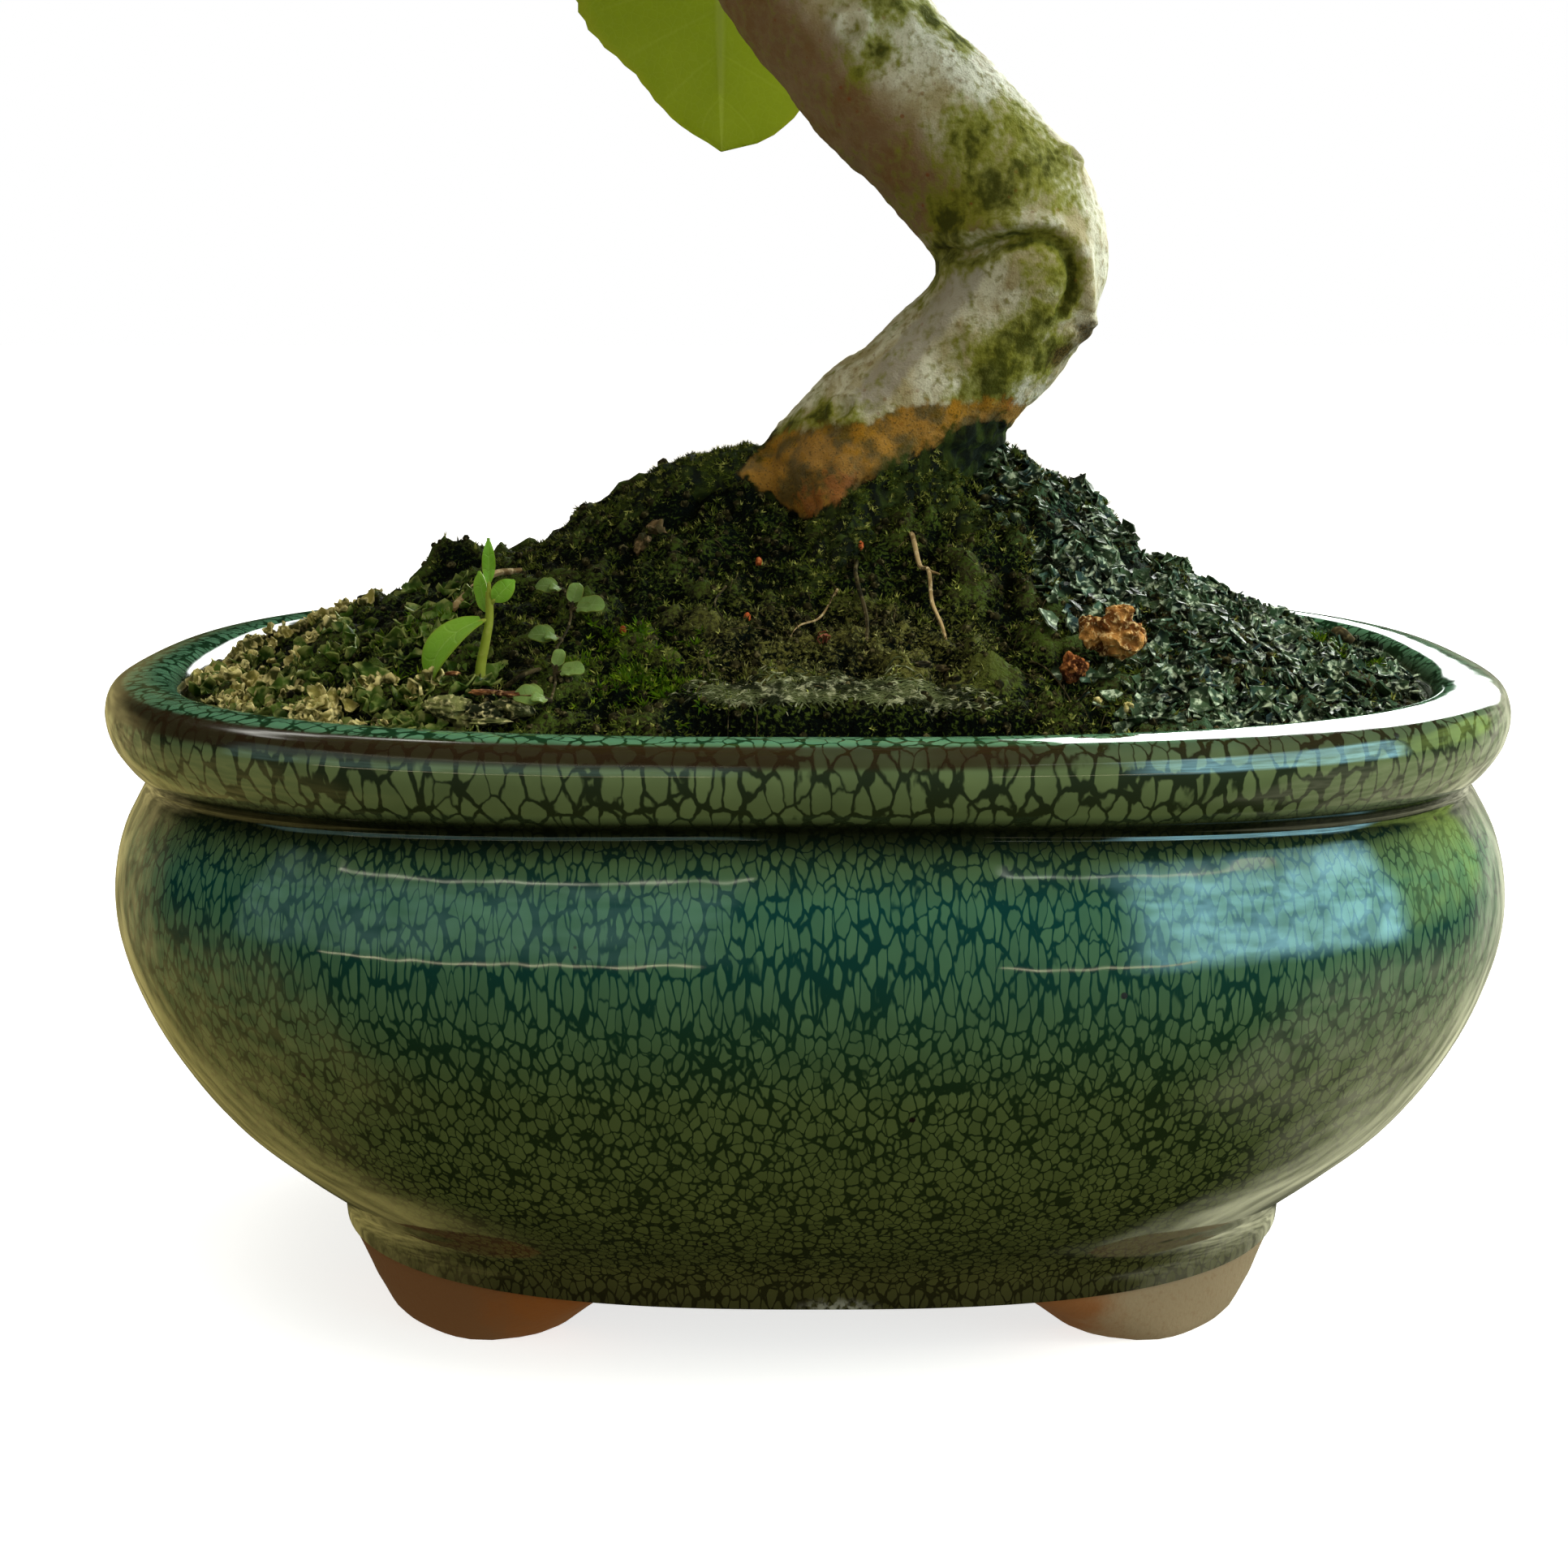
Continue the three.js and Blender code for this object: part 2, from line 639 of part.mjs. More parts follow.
function petioleLine(leaf) {
  const middle = leaf.root.clone().lerp(leaf.base, 0.55).add(new THREE.Vector3(0, 0, leaf.arch));
  return [leaf.root, middle, leaf.base];
}

// Rings of the petiole: left, upper, right and lower corner
function petioleRings(leaf) {
  const radius = leaf.petiole;
  return petioleLine(leaf).map((point) => [
    point.clone().addScaledVector(leaf.side, -radius),
    point.clone().addScaledVector(leaf.normal, radius),
    point.clone().addScaledVector(leaf.side, radius),
    point.clone().addScaledVector(leaf.normal, -radius),
  ]);
}

// Points spread over a blade, for keeping leaves apart
function bladeSamples(leaf) {
  const samples = [];
  for (const along of [0.06, 0.2, 0.34, 0.48, 0.62, 0.76, 0.9, 1]) {
    for (const across of [-1, -0.6, -0.2, 0.2, 0.6, 1]) {
      samples.push(bladePoint(leaf, along, across).point);
    }
  }
  return samples;
}

function petioleSamples(leaf) {
  const [root, middle, base] = petioleLine(leaf);
  return [root.clone().lerp(middle, 0.5), middle, middle.clone().lerp(base, 0.5), base];
}

function tooClose(first, second, distance) {
  const limit = distance * distance;
  return first.some((a) => second.some((b) => a.distanceToSquared(b) < limit));
}

function leafFrame(root, outward, upward, random, size) {
  const leaf = { root, thickness: LEAF.thickness, petiole: LEAF.petioleRadius };
  leaf.length = LEAF.length * size;
  leaf.width = LEAF.width * size * (0.92 + 0.16 * random());
  const petiole = LEAF.petioleLength * (0.75 + 0.5 * random());
  leaf.arch = 1 + 2 * random();
  leaf.base = root.clone().addScaledVector(outward, petiole);
  const sag = 0.25 + 0.5 * random();
  leaf.forward = outward.clone().add(new THREE.Vector3(0, 0, -sag)).normalize();
  leaf.side = new THREE.Vector3().crossVectors(leaf.forward, upward).normalize();
  const roll = (random() - 0.5) * 0.9;
  leaf.normal = new THREE.Vector3().crossVectors(leaf.side, leaf.forward).normalize();
  leaf.side.multiplyScalar(Math.cos(roll)).addScaledVector(leaf.normal, Math.sin(roll)).normalize();
  leaf.normal = new THREE.Vector3().crossVectors(leaf.side, leaf.forward).normalize();
  leaf.droop = 0.3 + 0.5 * random();
  leaf.fold = 0.12 + 0.3 * random();
  leaf.wave = 0.8 + 1.4 * random();
  leaf.phase = 6.28 * random();
  return leaf;
}

// Twigs: where each leafy spray starts and which way it grows
function sprayStarts() {
  const starts = [];
  BRANCHES.forEach(({ name, line, radii, spurs }, branchIndex) => {
    const points = curvePoints(line, BRANCH_RINGS);
    const frames = framesAlong(points);
    const end = frames[frames.length - 1];
    starts.push({
      name: `spray_${name}_end`,
      start: end.point.clone().addScaledVector(end.forward, GAP),
      forward: end.forward.clone(),
      twig: 20,
      leaves: 6,
    });
    spurs.forEach((share, i) => {
      const curve = new THREE.CatmullRomCurve3(line.map(vector), false, "catmullrom", 0.5);
      const point = curve.getPoint(share);
      const forward = curve.getTangent(share);
      const sideways = new THREE.Vector3(-forward.y, forward.x, 0).normalize();
      const turn = (branchIndex + i) % 2 === 0 ? 1 : -1;
      const away = sideways.multiplyScalar(0.55 * turn).add(new THREE.Vector3(0, 0, 0.75));
      away.addScaledVector(forward, -away.dot(forward)).normalize();
      const radius = between([[0, radii[0]], [1, radii[1]]], share);
      starts.push({
        name: `spray_${name}_${i === 0 ? "inner" : "outer"}`,
        start: point.addScaledVector(away, radius + GAP),
        forward: away,
        twig: 15,
        leaves: 5,
      });
    });
  });
  const { branch, share, away, twig } = HANGING_LEAF.spur;
  const { line, radii } = BRANCHES[branch];
  const curve = new THREE.CatmullRomCurve3(line.map(vector), false, "catmullrom", 0.5);
  const thick = between([[0, radii[0]], [1, radii[1]]], share);
  const forward = vector(away).normalize();
  starts.push({
    name: "spray_low_leaf",
    start: curve.getPoint(share).addScaledVector(forward, thick + GAP),
    forward,
    twig,
    leaves: 0,
  });
  const top = framesAlong(curvePoints(TRUNK.line, TRUNK.rings)).pop();
  starts.push({
    name: "spray_top",
    start: top.point.clone().addScaledVector(top.forward, GAP),
    forward: top.forward.clone(),
    twig: 18,
    leaves: 7,
  });
  return starts;
}

function twigPoints(spray) {
  const rise = new THREE.Vector3(0, 0, 0.35);
  const bent = spray.forward.clone().add(rise).normalize();
  const middle = spray.start.clone().addScaledVector(spray.forward, spray.twig * 0.45);
  return [spray.start, middle, middle.clone().addScaledVector(bent, spray.twig * 0.55)];
}

// The one leaf that hangs low behind the trunk, on a long petiole of its own
function hangingLeaf(root) {
  const leaf = { ...HANGING_LEAF, root, arch: 2, thickness: LEAF.thickness, petiole: LEAF.petioleRadius };
  const tip = vector(HANGING_LEAF.tip);
  leaf.forward = new THREE.Vector3(0, 0, -1);
  leaf.normal = new THREE.Vector3(0, -1, 0);
  leaf.side = new THREE.Vector3().crossVectors(leaf.forward, leaf.normal);
  leaf.base = new THREE.Vector3();
  leaf.base = tip.sub(bladePoint(leaf, 1, 0).point);
  return leaf;
}

function stemSamples() {
  const stems = [];
  curvePoints(TRUNK.line, TRUNK.rings).forEach((point) => {
    stems.push({ owner: "trunk", point, radius: between(TRUNK.radii, point.z) });
  });
  BRANCHES.forEach(({ line, radii }) => {
    const thick = blendedRadii(radii, 24);
    curvePoints(line, 24).forEach((point, i) => stems.push({ owner: "trunk", point, radius: thick[i] }));
  });
  APPLES.forEach((apple) => {
    const { top, middle } = applePlace(apple);
    stems.push({ owner: apple.name, point: middle, radius: apple.radius + 1 });
    stems.push({ owner: apple.name, point: top.clone().lerp(middle, 0.3), radius: 2 });
  });
  return stems;
}

function placeSprays() {
  const sprays = sprayStarts();
  const stems = stemSamples();
  sprays.forEach((spray) => {
    curvePoints(twigPoints(spray).map((point) => point.toArray()), 6).forEach((point) => {
      stems.push({ owner: spray.name, point, radius: TWIG.clearRadius });
    });
  });
  const placed = [];
  const clear = (leaf, owner) => {
    const samples = bladeSamples(leaf);
    const sags = ({ y, z }) => z < CROWN_UNDERSIDE.height + CROWN_UNDERSIDE.slope * y;
    if (samples.some(sags)) {
      return null;
    }
    const petiole = petioleSamples(leaf);
    const nearStem = ({ owner: name, point, radius }) => {
      const blade = name === owner ? 0 : radius + SPACE.bladeToStem;
      const stalk = name === owner ? 0 : radius + SPACE.petioleToStem;
      return samples.some((sample) => sample.distanceTo(point) < blade)
        || petiole.some((sample) => sample.distanceTo(point) < stalk);
    };
    if (stems.some(nearStem)) {
      return null;
    }
    const middle = samples[27];
    for (const other of placed) {
      if (other.middle.distanceTo(middle) < (other.leaf.length + leaf.length) * 0.85) {
        const same = other.owner === owner;
        if (tooClose(samples, other.samples, same ? SPACE.sameSpray : SPACE.blades)) {
          return null;
        }
        if (!same && tooClose(samples, other.petiole, SPACE.petioleToBlade)) {
          return null;
        }
        if (!same && tooClose(petiole, other.samples, SPACE.petioleToBlade)) {
          return null;
        }
        if (!same && tooClose(petiole, other.petiole, SPACE.petioles)) {
          return null;
        }
      }
    }
    return { leaf, owner, samples, middle, petiole };
  };
  const low = sprays.find(({ name }) => name === "spray_low_leaf");
  const special = hangingLeaf(twigPoints(low)[2]);
  placed.push({
    leaf: special,
    owner: low.name,
    samples: bladeSamples(special),
    middle: bladePoint(special, 0.5, 0).point,
    petiole: petioleSamples(special),
  });
  sprays.forEach((spray, sprayIndex) => {
    const random = seeded(7001 + 613 * sprayIndex);
    const line = twigPoints(spray);
    const axis = line[2].clone().sub(line[0]).normalize();
    const across = new THREE.Vector3().crossVectors(axis, new THREE.Vector3(0.2, 0.1, 1)).normalize();
    const over = new THREE.Vector3().crossVectors(across, axis);
    for (let i = 0; i < spray.leaves; i += 1) {
      const share = 0.3 + (0.7 * i) / (spray.leaves - 1);
      const root = share < 0.45
        ? line[0].clone().lerp(line[1], share / 0.45)
        : line[1].clone().lerp(line[2], (share - 0.45) / 0.56);
      const size = 0.72 + 0.36 * random();
      for (let attempt = 0; attempt < LEAF_TRIES[0] + LEAF_TRIES[1] + LEAF_TRIES[2]; attempt += 1) {
        const stage = Number(attempt >= LEAF_TRIES[0]) + Number(attempt >= LEAF_TRIES[0] + LEAF_TRIES[1]);
        const loose = 0.5 + Math.min(attempt, LEAF_TRIES[0] + LEAF_TRIES[1]) * 0.12;
        const turn = i * GOLDEN_ANGLE + (random() - 0.5) * loose * 2;
        const lean = 1.25 - 0.75 * share + (random() - 0.5) * loose;
        const outward = axis.clone().multiplyScalar(Math.cos(lean));
        outward.addScaledVector(across, Math.sin(lean) * Math.cos(turn));
        outward.addScaledVector(over, Math.sin(lean) * Math.sin(turn));
        outward.z = Math.max(outward.z, -0.1) + 0.2;
        outward.normalize();
        const leaf = leafFrame(root, outward, LEAF_UP, random, size * LEAF_SHRINK[stage]);
        const spot = clear(leaf, spray.name);
        if (spot) {
          placed.push(spot);
          break;
        }
      }
    }
  });
  return sprays.map((spray) => ({
    ...spray,
    blades: placed.filter(({ owner }) => owner === spray.name).map(({ leaf }) => leaf),
  }));
}

function spraySolid(spray) {
  const line = twigPoints(spray).map((point) => point.toArray());
  const twig = sweep(curvePoints(line, TWIG.radii.length), TWIG.radii, TWIG.sides);
  return joined([twig, ...spray.blades.map((leaf) => leafSolid(leaf, LEAF_STATIONS))]);
}

// Apples hang straight down from their branch
function applePlace({ branch, share, radius, stalk }) {
  const { line, radii } = BRANCHES[branch];
  const curve = new THREE.CatmullRomCurve3(line.map(vector), false, "catmullrom", 0.5);
  const top = curve.getPoint(share);
  const tangent = curve.getTangent(share);
  const level = Math.hypot(tangent.x, tangent.y);
  const thick = between([[0, radii[0]], [1, radii[1]]], share);
  top.z -= thick / level + STALK.top * (Math.abs(tangent.z) / level) + GAP;
  const middle = top.clone();
  middle.z -= stalk + radius * 0.6;
  return { top, middle };
}

function appleSolid(apple) {
  const { top, middle } = applePlace(apple);
  const rings = APPLE_PROFILE.map(([wide, high]) => {
    const ring = [];
    for (let k = 0; k < APPLE_SIDES; k += 1) {
      const angle = (2 * Math.PI * k) / APPLE_SIDES;
      const reach = apple.radius * wide * (1 + 0.02 * Math.cos(5 * angle));
      ring.push(new THREE.Vector3(
        middle.x + reach * Math.cos(angle),
        middle.y + reach * Math.sin(angle),
        middle.z + apple.radius * high,
      ));
    }
    return ring;
  });
  const low = middle.clone();
  low.z += apple.radius * 0.5;
  const bend = top.clone().lerp(low, 0.5);
  bend.x += STALK.bend;
  const stalk = sweep([top, bend, low], [STALK.top, STALK.middle, STALK.bottom], STALK.sides);
  return ringSolid(rings).add(stalk);
}

// Small plants of the soil, each leaf like a small blade of its own
function smallLeaf(root, forward, up, length, width, droop) {
  const side = new THREE.Vector3().crossVectors(forward, up).normalize();
  const normal = new THREE.Vector3().crossVectors(side, forward).normalize();
  const base = root.clone().addScaledVector(forward, SMALL_LEAF.petioleLength);
  const leaf = { ...SMALL_LEAF, root, base, forward, side, normal, length, width, droop };
  return leafSolid(leaf, SMALL_LEAF_STATIONS);
}

function seedlingSolid() {
  const ground = soilHeight(SEEDLING.stem[1][0], SEEDLING.stem[1][1]);
  const points = curvePoints(SEEDLING.stem.map(([x, y, z]) => [x, y, z + ground]), SEEDLING.stemPoints);
  const stem = sweep(points, points.map(() => SEEDLING.radius), 5);
  const leaves = SEEDLING.leaves.map(({ at, forward, up, length, width, droop }) => (
    smallLeaf(points[at], vector(forward).normalize(), vector(up), length, width, droop)
  ));
  return joined([stem, ...leaves]);
}

function weedPoints() {
  const plan = WEED.line.map(([x, y]) => [x, y, soilHeight(x, y) + WEED.lift]);
  const [x, y] = WEED.line[0];
  const ground = soilHeight(x, y);
  const buried = [[x - 1.5, y + 3, ground - 5], [x - 1, y + 2, ground + 0.6]];
  return curvePoints([...buried, ...plan], WEED.stemPoints);
}

function weedSolid() {
  const points = weedPoints();
  const solids = [sweep(points, points.map(() => WEED.radius), 5)];
  for (let i = 3; i < points.length; i += 2) {
    const angle = i % 4 === 1 ? 0.3 : 2.9;
    const forward = new THREE.Vector3(Math.cos(angle), -0.35, 0.3).normalize();
    const size = 0.8 + 0.1 * (i % 3);
    const up = new THREE.Vector3(0, -0.4, 1);
    solids.push(smallLeaf(points[i], forward, up, WEED.leafLength * size, WEED.leafWidth * size, 0.5));
  }
  return joined(solids);
}

// Lumps of fired clay grit lying on the soil
function lumpSolid({ at, radii, seed }) {
  const random = seeded(seed);
  const centre = new THREE.Vector3(at[0], at[1], soilHeight(at[0], at[1]) + radii[2] * 1.25);
  const rings = [];
  for (let i = 0; i < LUMP_RINGS; i += 1) {
    const lift = Math.PI * ((i + 0.6) / (LUMP_RINGS + 0.2) - 0.5);
    const ring = [];
    for (let k = 0; k < LUMP_SIDES; k += 1) {
      const angle = (2 * Math.PI * k) / LUMP_SIDES;
      const rough = 0.9 + 0.2 * random();
      ring.push(new THREE.Vector3(
        centre.x + radii[0] * rough * Math.cos(lift) * Math.cos(angle),
        centre.y + radii[1] * rough * Math.cos(lift) * Math.sin(angle),
        centre.z + radii[2] * rough * Math.sin(lift),
      ));
    }
    rings.push(ring);
  }
  return ringSolid(rings);
}

// Plain holes for the stems of the small plants
function stemHole(points, radius) {
  return sweep(points, points.map(() => radius + GAP), 8);
}

function seedlingHole() {
  const [x, y] = SEEDLING.stem[1];
  const ground = soilHeight(x, y);
  const low = new THREE.Vector3(x, y, ground + SEEDLING.stem[0][2] - GAP);
  const high = new THREE.Vector3(x, y, ground + 3);
  return stemHole([low, high], SEEDLING.radius + 0.1);
}

function weedHole() {
  const points = weedPoints();
  const start = points[0].clone().add(new THREE.Vector3(0, 0.1, -GAP));
  return stemHole([start, ...points.slice(0, 4)], WEED.radius + 0.1);
}

// Finished part
function finished(name, solid, look) {
  const mesh = solid.getMesh();
  const geometry = new THREE.BufferGeometry();
  geometry.setAttribute("position", new THREE.BufferAttribute(Float32Array.from(mesh.vertProperties), 3));
  geometry.setIndex(new THREE.BufferAttribute(Uint32Array.from(mesh.triVerts), 1));
  geometry.computeVertexNormals();
  const piece = new THREE.Mesh(geometry, new THREE.MeshStandardMaterial(look));
  piece.name = name;
  return piece;
}

const group = new THREE.Group();
group.name = "apple_bonsai";
group.add(finished("pot", potSolid(), GLAZE));
group.add(finished("drain_screen_left", screenSolid(-DRAIN.x), SCREEN_PLASTIC));
group.add(finished("drain_screen_right", screenSolid(DRAIN.x), SCREEN_PLASTIC));
const soil = soilSolid().subtract(trunkHole()).subtract(seedlingHole()).subtract(weedHole());
group.add(finished("soil", soil, EARTH));
group.add(finished("trunk", trunkSolid(), BARK));
for (const lump of LUMPS) {
  group.add(finished(lump.name, lumpSolid(lump), CLAY));
}
group.add(finished("seedling", seedlingSolid(), WEED_GREEN));
group.add(finished("creeping_weed", weedSolid(), WEED_GREEN));
for (const spray of placeSprays()) {
  group.add(finished(spray.name, spraySolid(spray), LEAF_GREEN));
}
for (const apple of APPLES) {
  group.add(finished(apple.name, appleSolid(apple), FRUIT));
}

// The row's origin is on the ground under the middle of the whole plant
const middle = new THREE.Box3().setFromObject(group).getCenter(new THREE.Vector3());
for (const piece of group.children) {
  piece.geometry.translate(-middle.x, -middle.y, 0);
}

export default group;
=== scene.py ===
"""Apple bonsai in a green glazed oval pot, dressed for its picture.

Sizes are millimetres in the plant's own frame, which has the ground at z = 0 and the side
that the photograph shows at -Y. A piece becomes metres in the row's frame when it is made.
"""

import logging
import math
from collections.abc import Callable, Sequence
from dataclasses import dataclass, field
from enum import Enum
from functools import lru_cache

import bmesh
import bpy
import numpy as np
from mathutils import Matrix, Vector


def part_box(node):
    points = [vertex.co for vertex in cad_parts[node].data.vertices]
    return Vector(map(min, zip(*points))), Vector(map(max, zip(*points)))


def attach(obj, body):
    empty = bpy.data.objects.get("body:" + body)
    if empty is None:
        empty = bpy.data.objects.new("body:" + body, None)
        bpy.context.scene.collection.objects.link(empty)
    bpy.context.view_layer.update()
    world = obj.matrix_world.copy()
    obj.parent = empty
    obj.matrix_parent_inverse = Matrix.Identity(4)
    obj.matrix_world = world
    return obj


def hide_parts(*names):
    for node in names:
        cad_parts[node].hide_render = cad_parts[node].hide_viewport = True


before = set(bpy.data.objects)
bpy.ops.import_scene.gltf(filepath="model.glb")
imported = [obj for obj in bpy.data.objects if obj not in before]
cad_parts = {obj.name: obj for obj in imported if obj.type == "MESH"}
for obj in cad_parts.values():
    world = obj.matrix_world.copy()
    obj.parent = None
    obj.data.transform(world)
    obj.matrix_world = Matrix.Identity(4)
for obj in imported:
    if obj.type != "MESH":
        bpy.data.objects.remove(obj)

MM = 0.001
GAP = 0.3
GOLDEN_ANGLE = 2.399963
Array = np.ndarray
Table = Sequence[Sequence[float]]
Colour = tuple[int, int, int]
log = logging.getLogger("bonsai")


# Numbers, lines and noise

def between(table: Table, position: Array | float) -> Array:
    """Reads a table of positions and values along straight lines."""
    rows = np.asarray(table, float)
    return np.interp(position, rows[:, 0], rows[:, 1])


def smooth_between(table: Table, position: Array) -> Array:
    """Reads a table of positions and values along one smooth curve.

    Args:
        table: Rows of position and value, in order.
        position: Where it is read.

    Returns:
        The values there.
    """
    rows = np.asarray(table, float)
    places, values = rows[:, 0], rows[:, 1]
    slopes = np.gradient(values, places)
    index = np.clip(np.searchsorted(places, position, side="right") - 1, 0, len(places) - 2)
    width = places[index + 1] - places[index]
    share = np.clip((position - places[index]) / width, 0, 1)
    start = (1 + 2 * share) * (1 - share) ** 2 * values[index]
    start = start + share * (1 - share) ** 2 * width * slopes[index]
    end = share**2 * (3 - 2 * share) * values[index + 1]
    return start + end + share**2 * (share - 1) * width * slopes[index + 1]


def rises(value: Array, low: float, high: float) -> Array:
    """Goes smoothly from 0 at low to 1 at high."""
    share = np.clip((value - low) / (high - low), 0, 1)
    return share * share * (3 - 2 * share)


def bell(distance: Array, width: float) -> Array:
    """Falls smoothly from 1 at no distance to almost 0 at twice the width."""
    return np.exp(-((distance / width) ** 2))


def unit(vectors: Array) -> Array:
    """Vectors of length 1."""
    return vectors / np.maximum(np.linalg.norm(vectors, axis=-1, keepdims=True), 1e-12)


def spline_points(line: Table, shares: Array) -> Array:
    """Points on a smooth curve through a line's points.

    Args:
        line: The points it goes through.
        shares: Places along it, from 0 to 1.

    Returns:
        One point for each share.
    """
    points = np.asarray(line, float)
    last = len(points) - 1
    padded = np.vstack([2 * points[0] - points[1], points, 2 * points[-1] - points[-2]])
    place = np.clip(np.asarray(shares, float), 0, 1) * last
    index = np.minimum(place.astype(int), last - 1)
    weight = (place - index)[:, None]
    before, start, end, after = (padded[index + step] for step in range(4))
    leave = 0.5 * (end - before)
    arrive = 0.5 * (after - start)
    square = -3 * start + 3 * end - 2 * leave - arrive
    cube = 2 * start - 2 * end + leave + arrive
    return start + leave * weight + square * weight**2 + cube * weight**3


def spline(line: Table, count: int) -> Array:
    """Evenly shared points on a smooth curve through a line's points."""
    return spline_points(line, np.arange(count) / (count - 1))


def spline_point(line: Table, share: float) -> Array:
    """One point on a smooth curve, at a share of its way from 0 to 1."""
    return spline_points(line, np.array([share]))[0]


def spline_slope(line: Table, share: float) -> Array:
    """The direction of a smooth curve at one place along it.

    Args:
        line: The curve's points.
        share: How far along it, from 0 to 1.

    Returns:
        A vector of length 1.
    """
    step = 0.0001
    ends = spline_points(line, np.array([max(share - step, 0), min(share + step, 1)]))
    return unit(ends[1] - ends[0])


def frames_along(points: Array) -> tuple[Array, Array, Array]:
    """Directions along a line, carried on without twist.

    Args:
        points: The line's points.

    Returns:
        Forward, side and other direction at each point.
    """
    before = points[np.maximum(np.arange(len(points)) - 1, 0)]
    after = points[np.minimum(np.arange(len(points)) + 1, len(points) - 1)]
    forward = unit(after - before)
    side = np.array([0.31, 0.87, 0.11])
    sides = []
    for ahead in forward:
        side = unit(side - ahead * (side @ ahead))
        sides.append(side)
    return forward, np.array(sides), np.cross(forward, np.array(sides))


def beside(points: Array, line: Array) -> Array:
    """How far each point is from a line of straight runs.

    Args:
        points: The points measured.
        line: The corners of the line.

    Returns:
        One distance for each point.
    """
    nearest = np.full(len(points), 1e9)
    for start, end in zip(line[:-1], line[1:]):
        run = end - start
        share = np.clip((points - start) @ run / (run @ run), 0, 1)
        nearest = np.minimum(nearest, np.linalg.norm(points - start - share[:, None] * run, axis=1))
    return nearest


class Chance:
    """A seeded row of numbers from 0 to 1, the same as in the part's source."""

    def __init__(self, seed: int) -> None:
        """Starts the row at a seed."""
        self.state = seed % 4294967296

    def __call__(self) -> float:
        """The next number."""
        self.state = (self.state * 1664525 + 1013904223) % 4294967296
        return self.state / 4294967296


class Grain:
    """Smooth seeded noise in space, from about -1 to 1."""

    cells = 32
    offset = 100.5

    def __init__(self, seed: int) -> None:
        """Fills the lattice of values that the noise runs between."""
        cells = self.cells
        self.values = np.random.default_rng(seed).uniform(-1, 1, (cells, cells, cells))

    def at(self, points: Array, size: float) -> Array:
        """The noise at some points.

        Args:
            points: Where it is read, in millimetres.
            size: The width of one bump of the noise.

        Returns:
            One value for each point.
        """
        place = np.asarray(points, float) / size + self.offset
        low = np.floor(place).astype(int)
        part = place - low
        part = part * part * (3 - 2 * part)
        total = np.zeros(len(place))
        for corner in range(8):
            step = np.array([corner & 1, corner >> 1 & 1, corner >> 2 & 1])
            weight = np.prod(np.where(step == 1, part, 1 - part), axis=1)
            index = (low + step) % self.cells
            total += weight * self.values[index[:, 0], index[:, 1], index[:, 2]]
        return total

    def layers(self, points: Array, size: float, count: int) -> Array:
        """Noise with a number of finer and finer bumps on it."""
        return sum(self.at(points + 37 * i, size / 2**i) / 2**i for i in range(count))


# Blanks: shapes modelled once, whose copies are bent into place

@dataclass(frozen=True)
class Blank:
    """The points and faces of a shape that is copied."""

    points: Array
    loops: Array
    sizes: Array


def select_where(test: Callable[[Vector], bool]) -> None:
    """Selects the points of the mesh in edit mode that pass a test of their place.

    Args:
        test: Tells from a place whether it is chosen.
    """
    mesh = bmesh.from_edit_mesh(bpy.context.edit_object.data)
    for corner in mesh.verts:
        corner.select = test(corner.co)
    mesh.select_flush_mode()
    bmesh.update_edit_mesh(bpy.context.edit_object.data)


def begin_edit() -> None:
    """Goes into edit mode on the new primitive with all of it selected."""
    bpy.ops.object.mode_set(mode="EDIT")
    bpy.ops.mesh.select_mode(type="VERT")
    bpy.ops.mesh.select_all(action="SELECT")


def end_edit() -> None:
    """Turns all faces outwards and leaves edit mode."""
    bpy.ops.mesh.select_all(action="SELECT")
    bpy.ops.mesh.normals_make_consistent(inside=False)
    bpy.ops.object.mode_set(mode="OBJECT")


def deselect() -> None:
    """Deselects everything, so that an operator acts on the new piece alone."""
    bpy.ops.object.select_all(action="DESELECT")


def pick(piece: bpy.types.Object) -> None:
    """Selects one piece alone and makes it the active one."""
    deselect()
    piece.select_set(True)
    bpy.context.view_layer.objects.active = piece


def apply_modifier(piece: bpy.types.Object, kind: str, **settings: object) -> None:
    """Adds a modifier to a piece and applies it.

    Args:
        piece: The piece it works on.
        kind: The modifier's type.
        settings: Its settings.
    """
    pick(piece)
    modifier = piece.modifiers.new(kind.lower(), kind)
    for key, value in settings.items():
        setattr(modifier, key, value)
    bpy.ops.object.modifier_apply(modifier=modifier.name)


def points_of(mesh: bpy.types.Mesh, what: str = "co") -> Array:
    """The place of each point of a mesh, or the way that the surface faces there.

    Args:
        mesh: The mesh.
        what: The values' name in it.

    Returns:
        Three values for each point.
    """
    flat = np.empty(len(mesh.vertices) * 3, np.float32)
    mesh.vertices.foreach_get(what, flat)
    return flat.reshape(-1, 3).astype(float)


def paint_mark(mesh: bpy.types.Mesh, name: str, values: Array) -> None:
    """Paints a mark from 0 to 1 on the points of a mesh, for its finish to read."""
    layer = mesh.attributes.new(name, "FLOAT", "POINT")
    layer.data.foreach_set("value", np.clip(values, 0, 1).astype(np.float32))


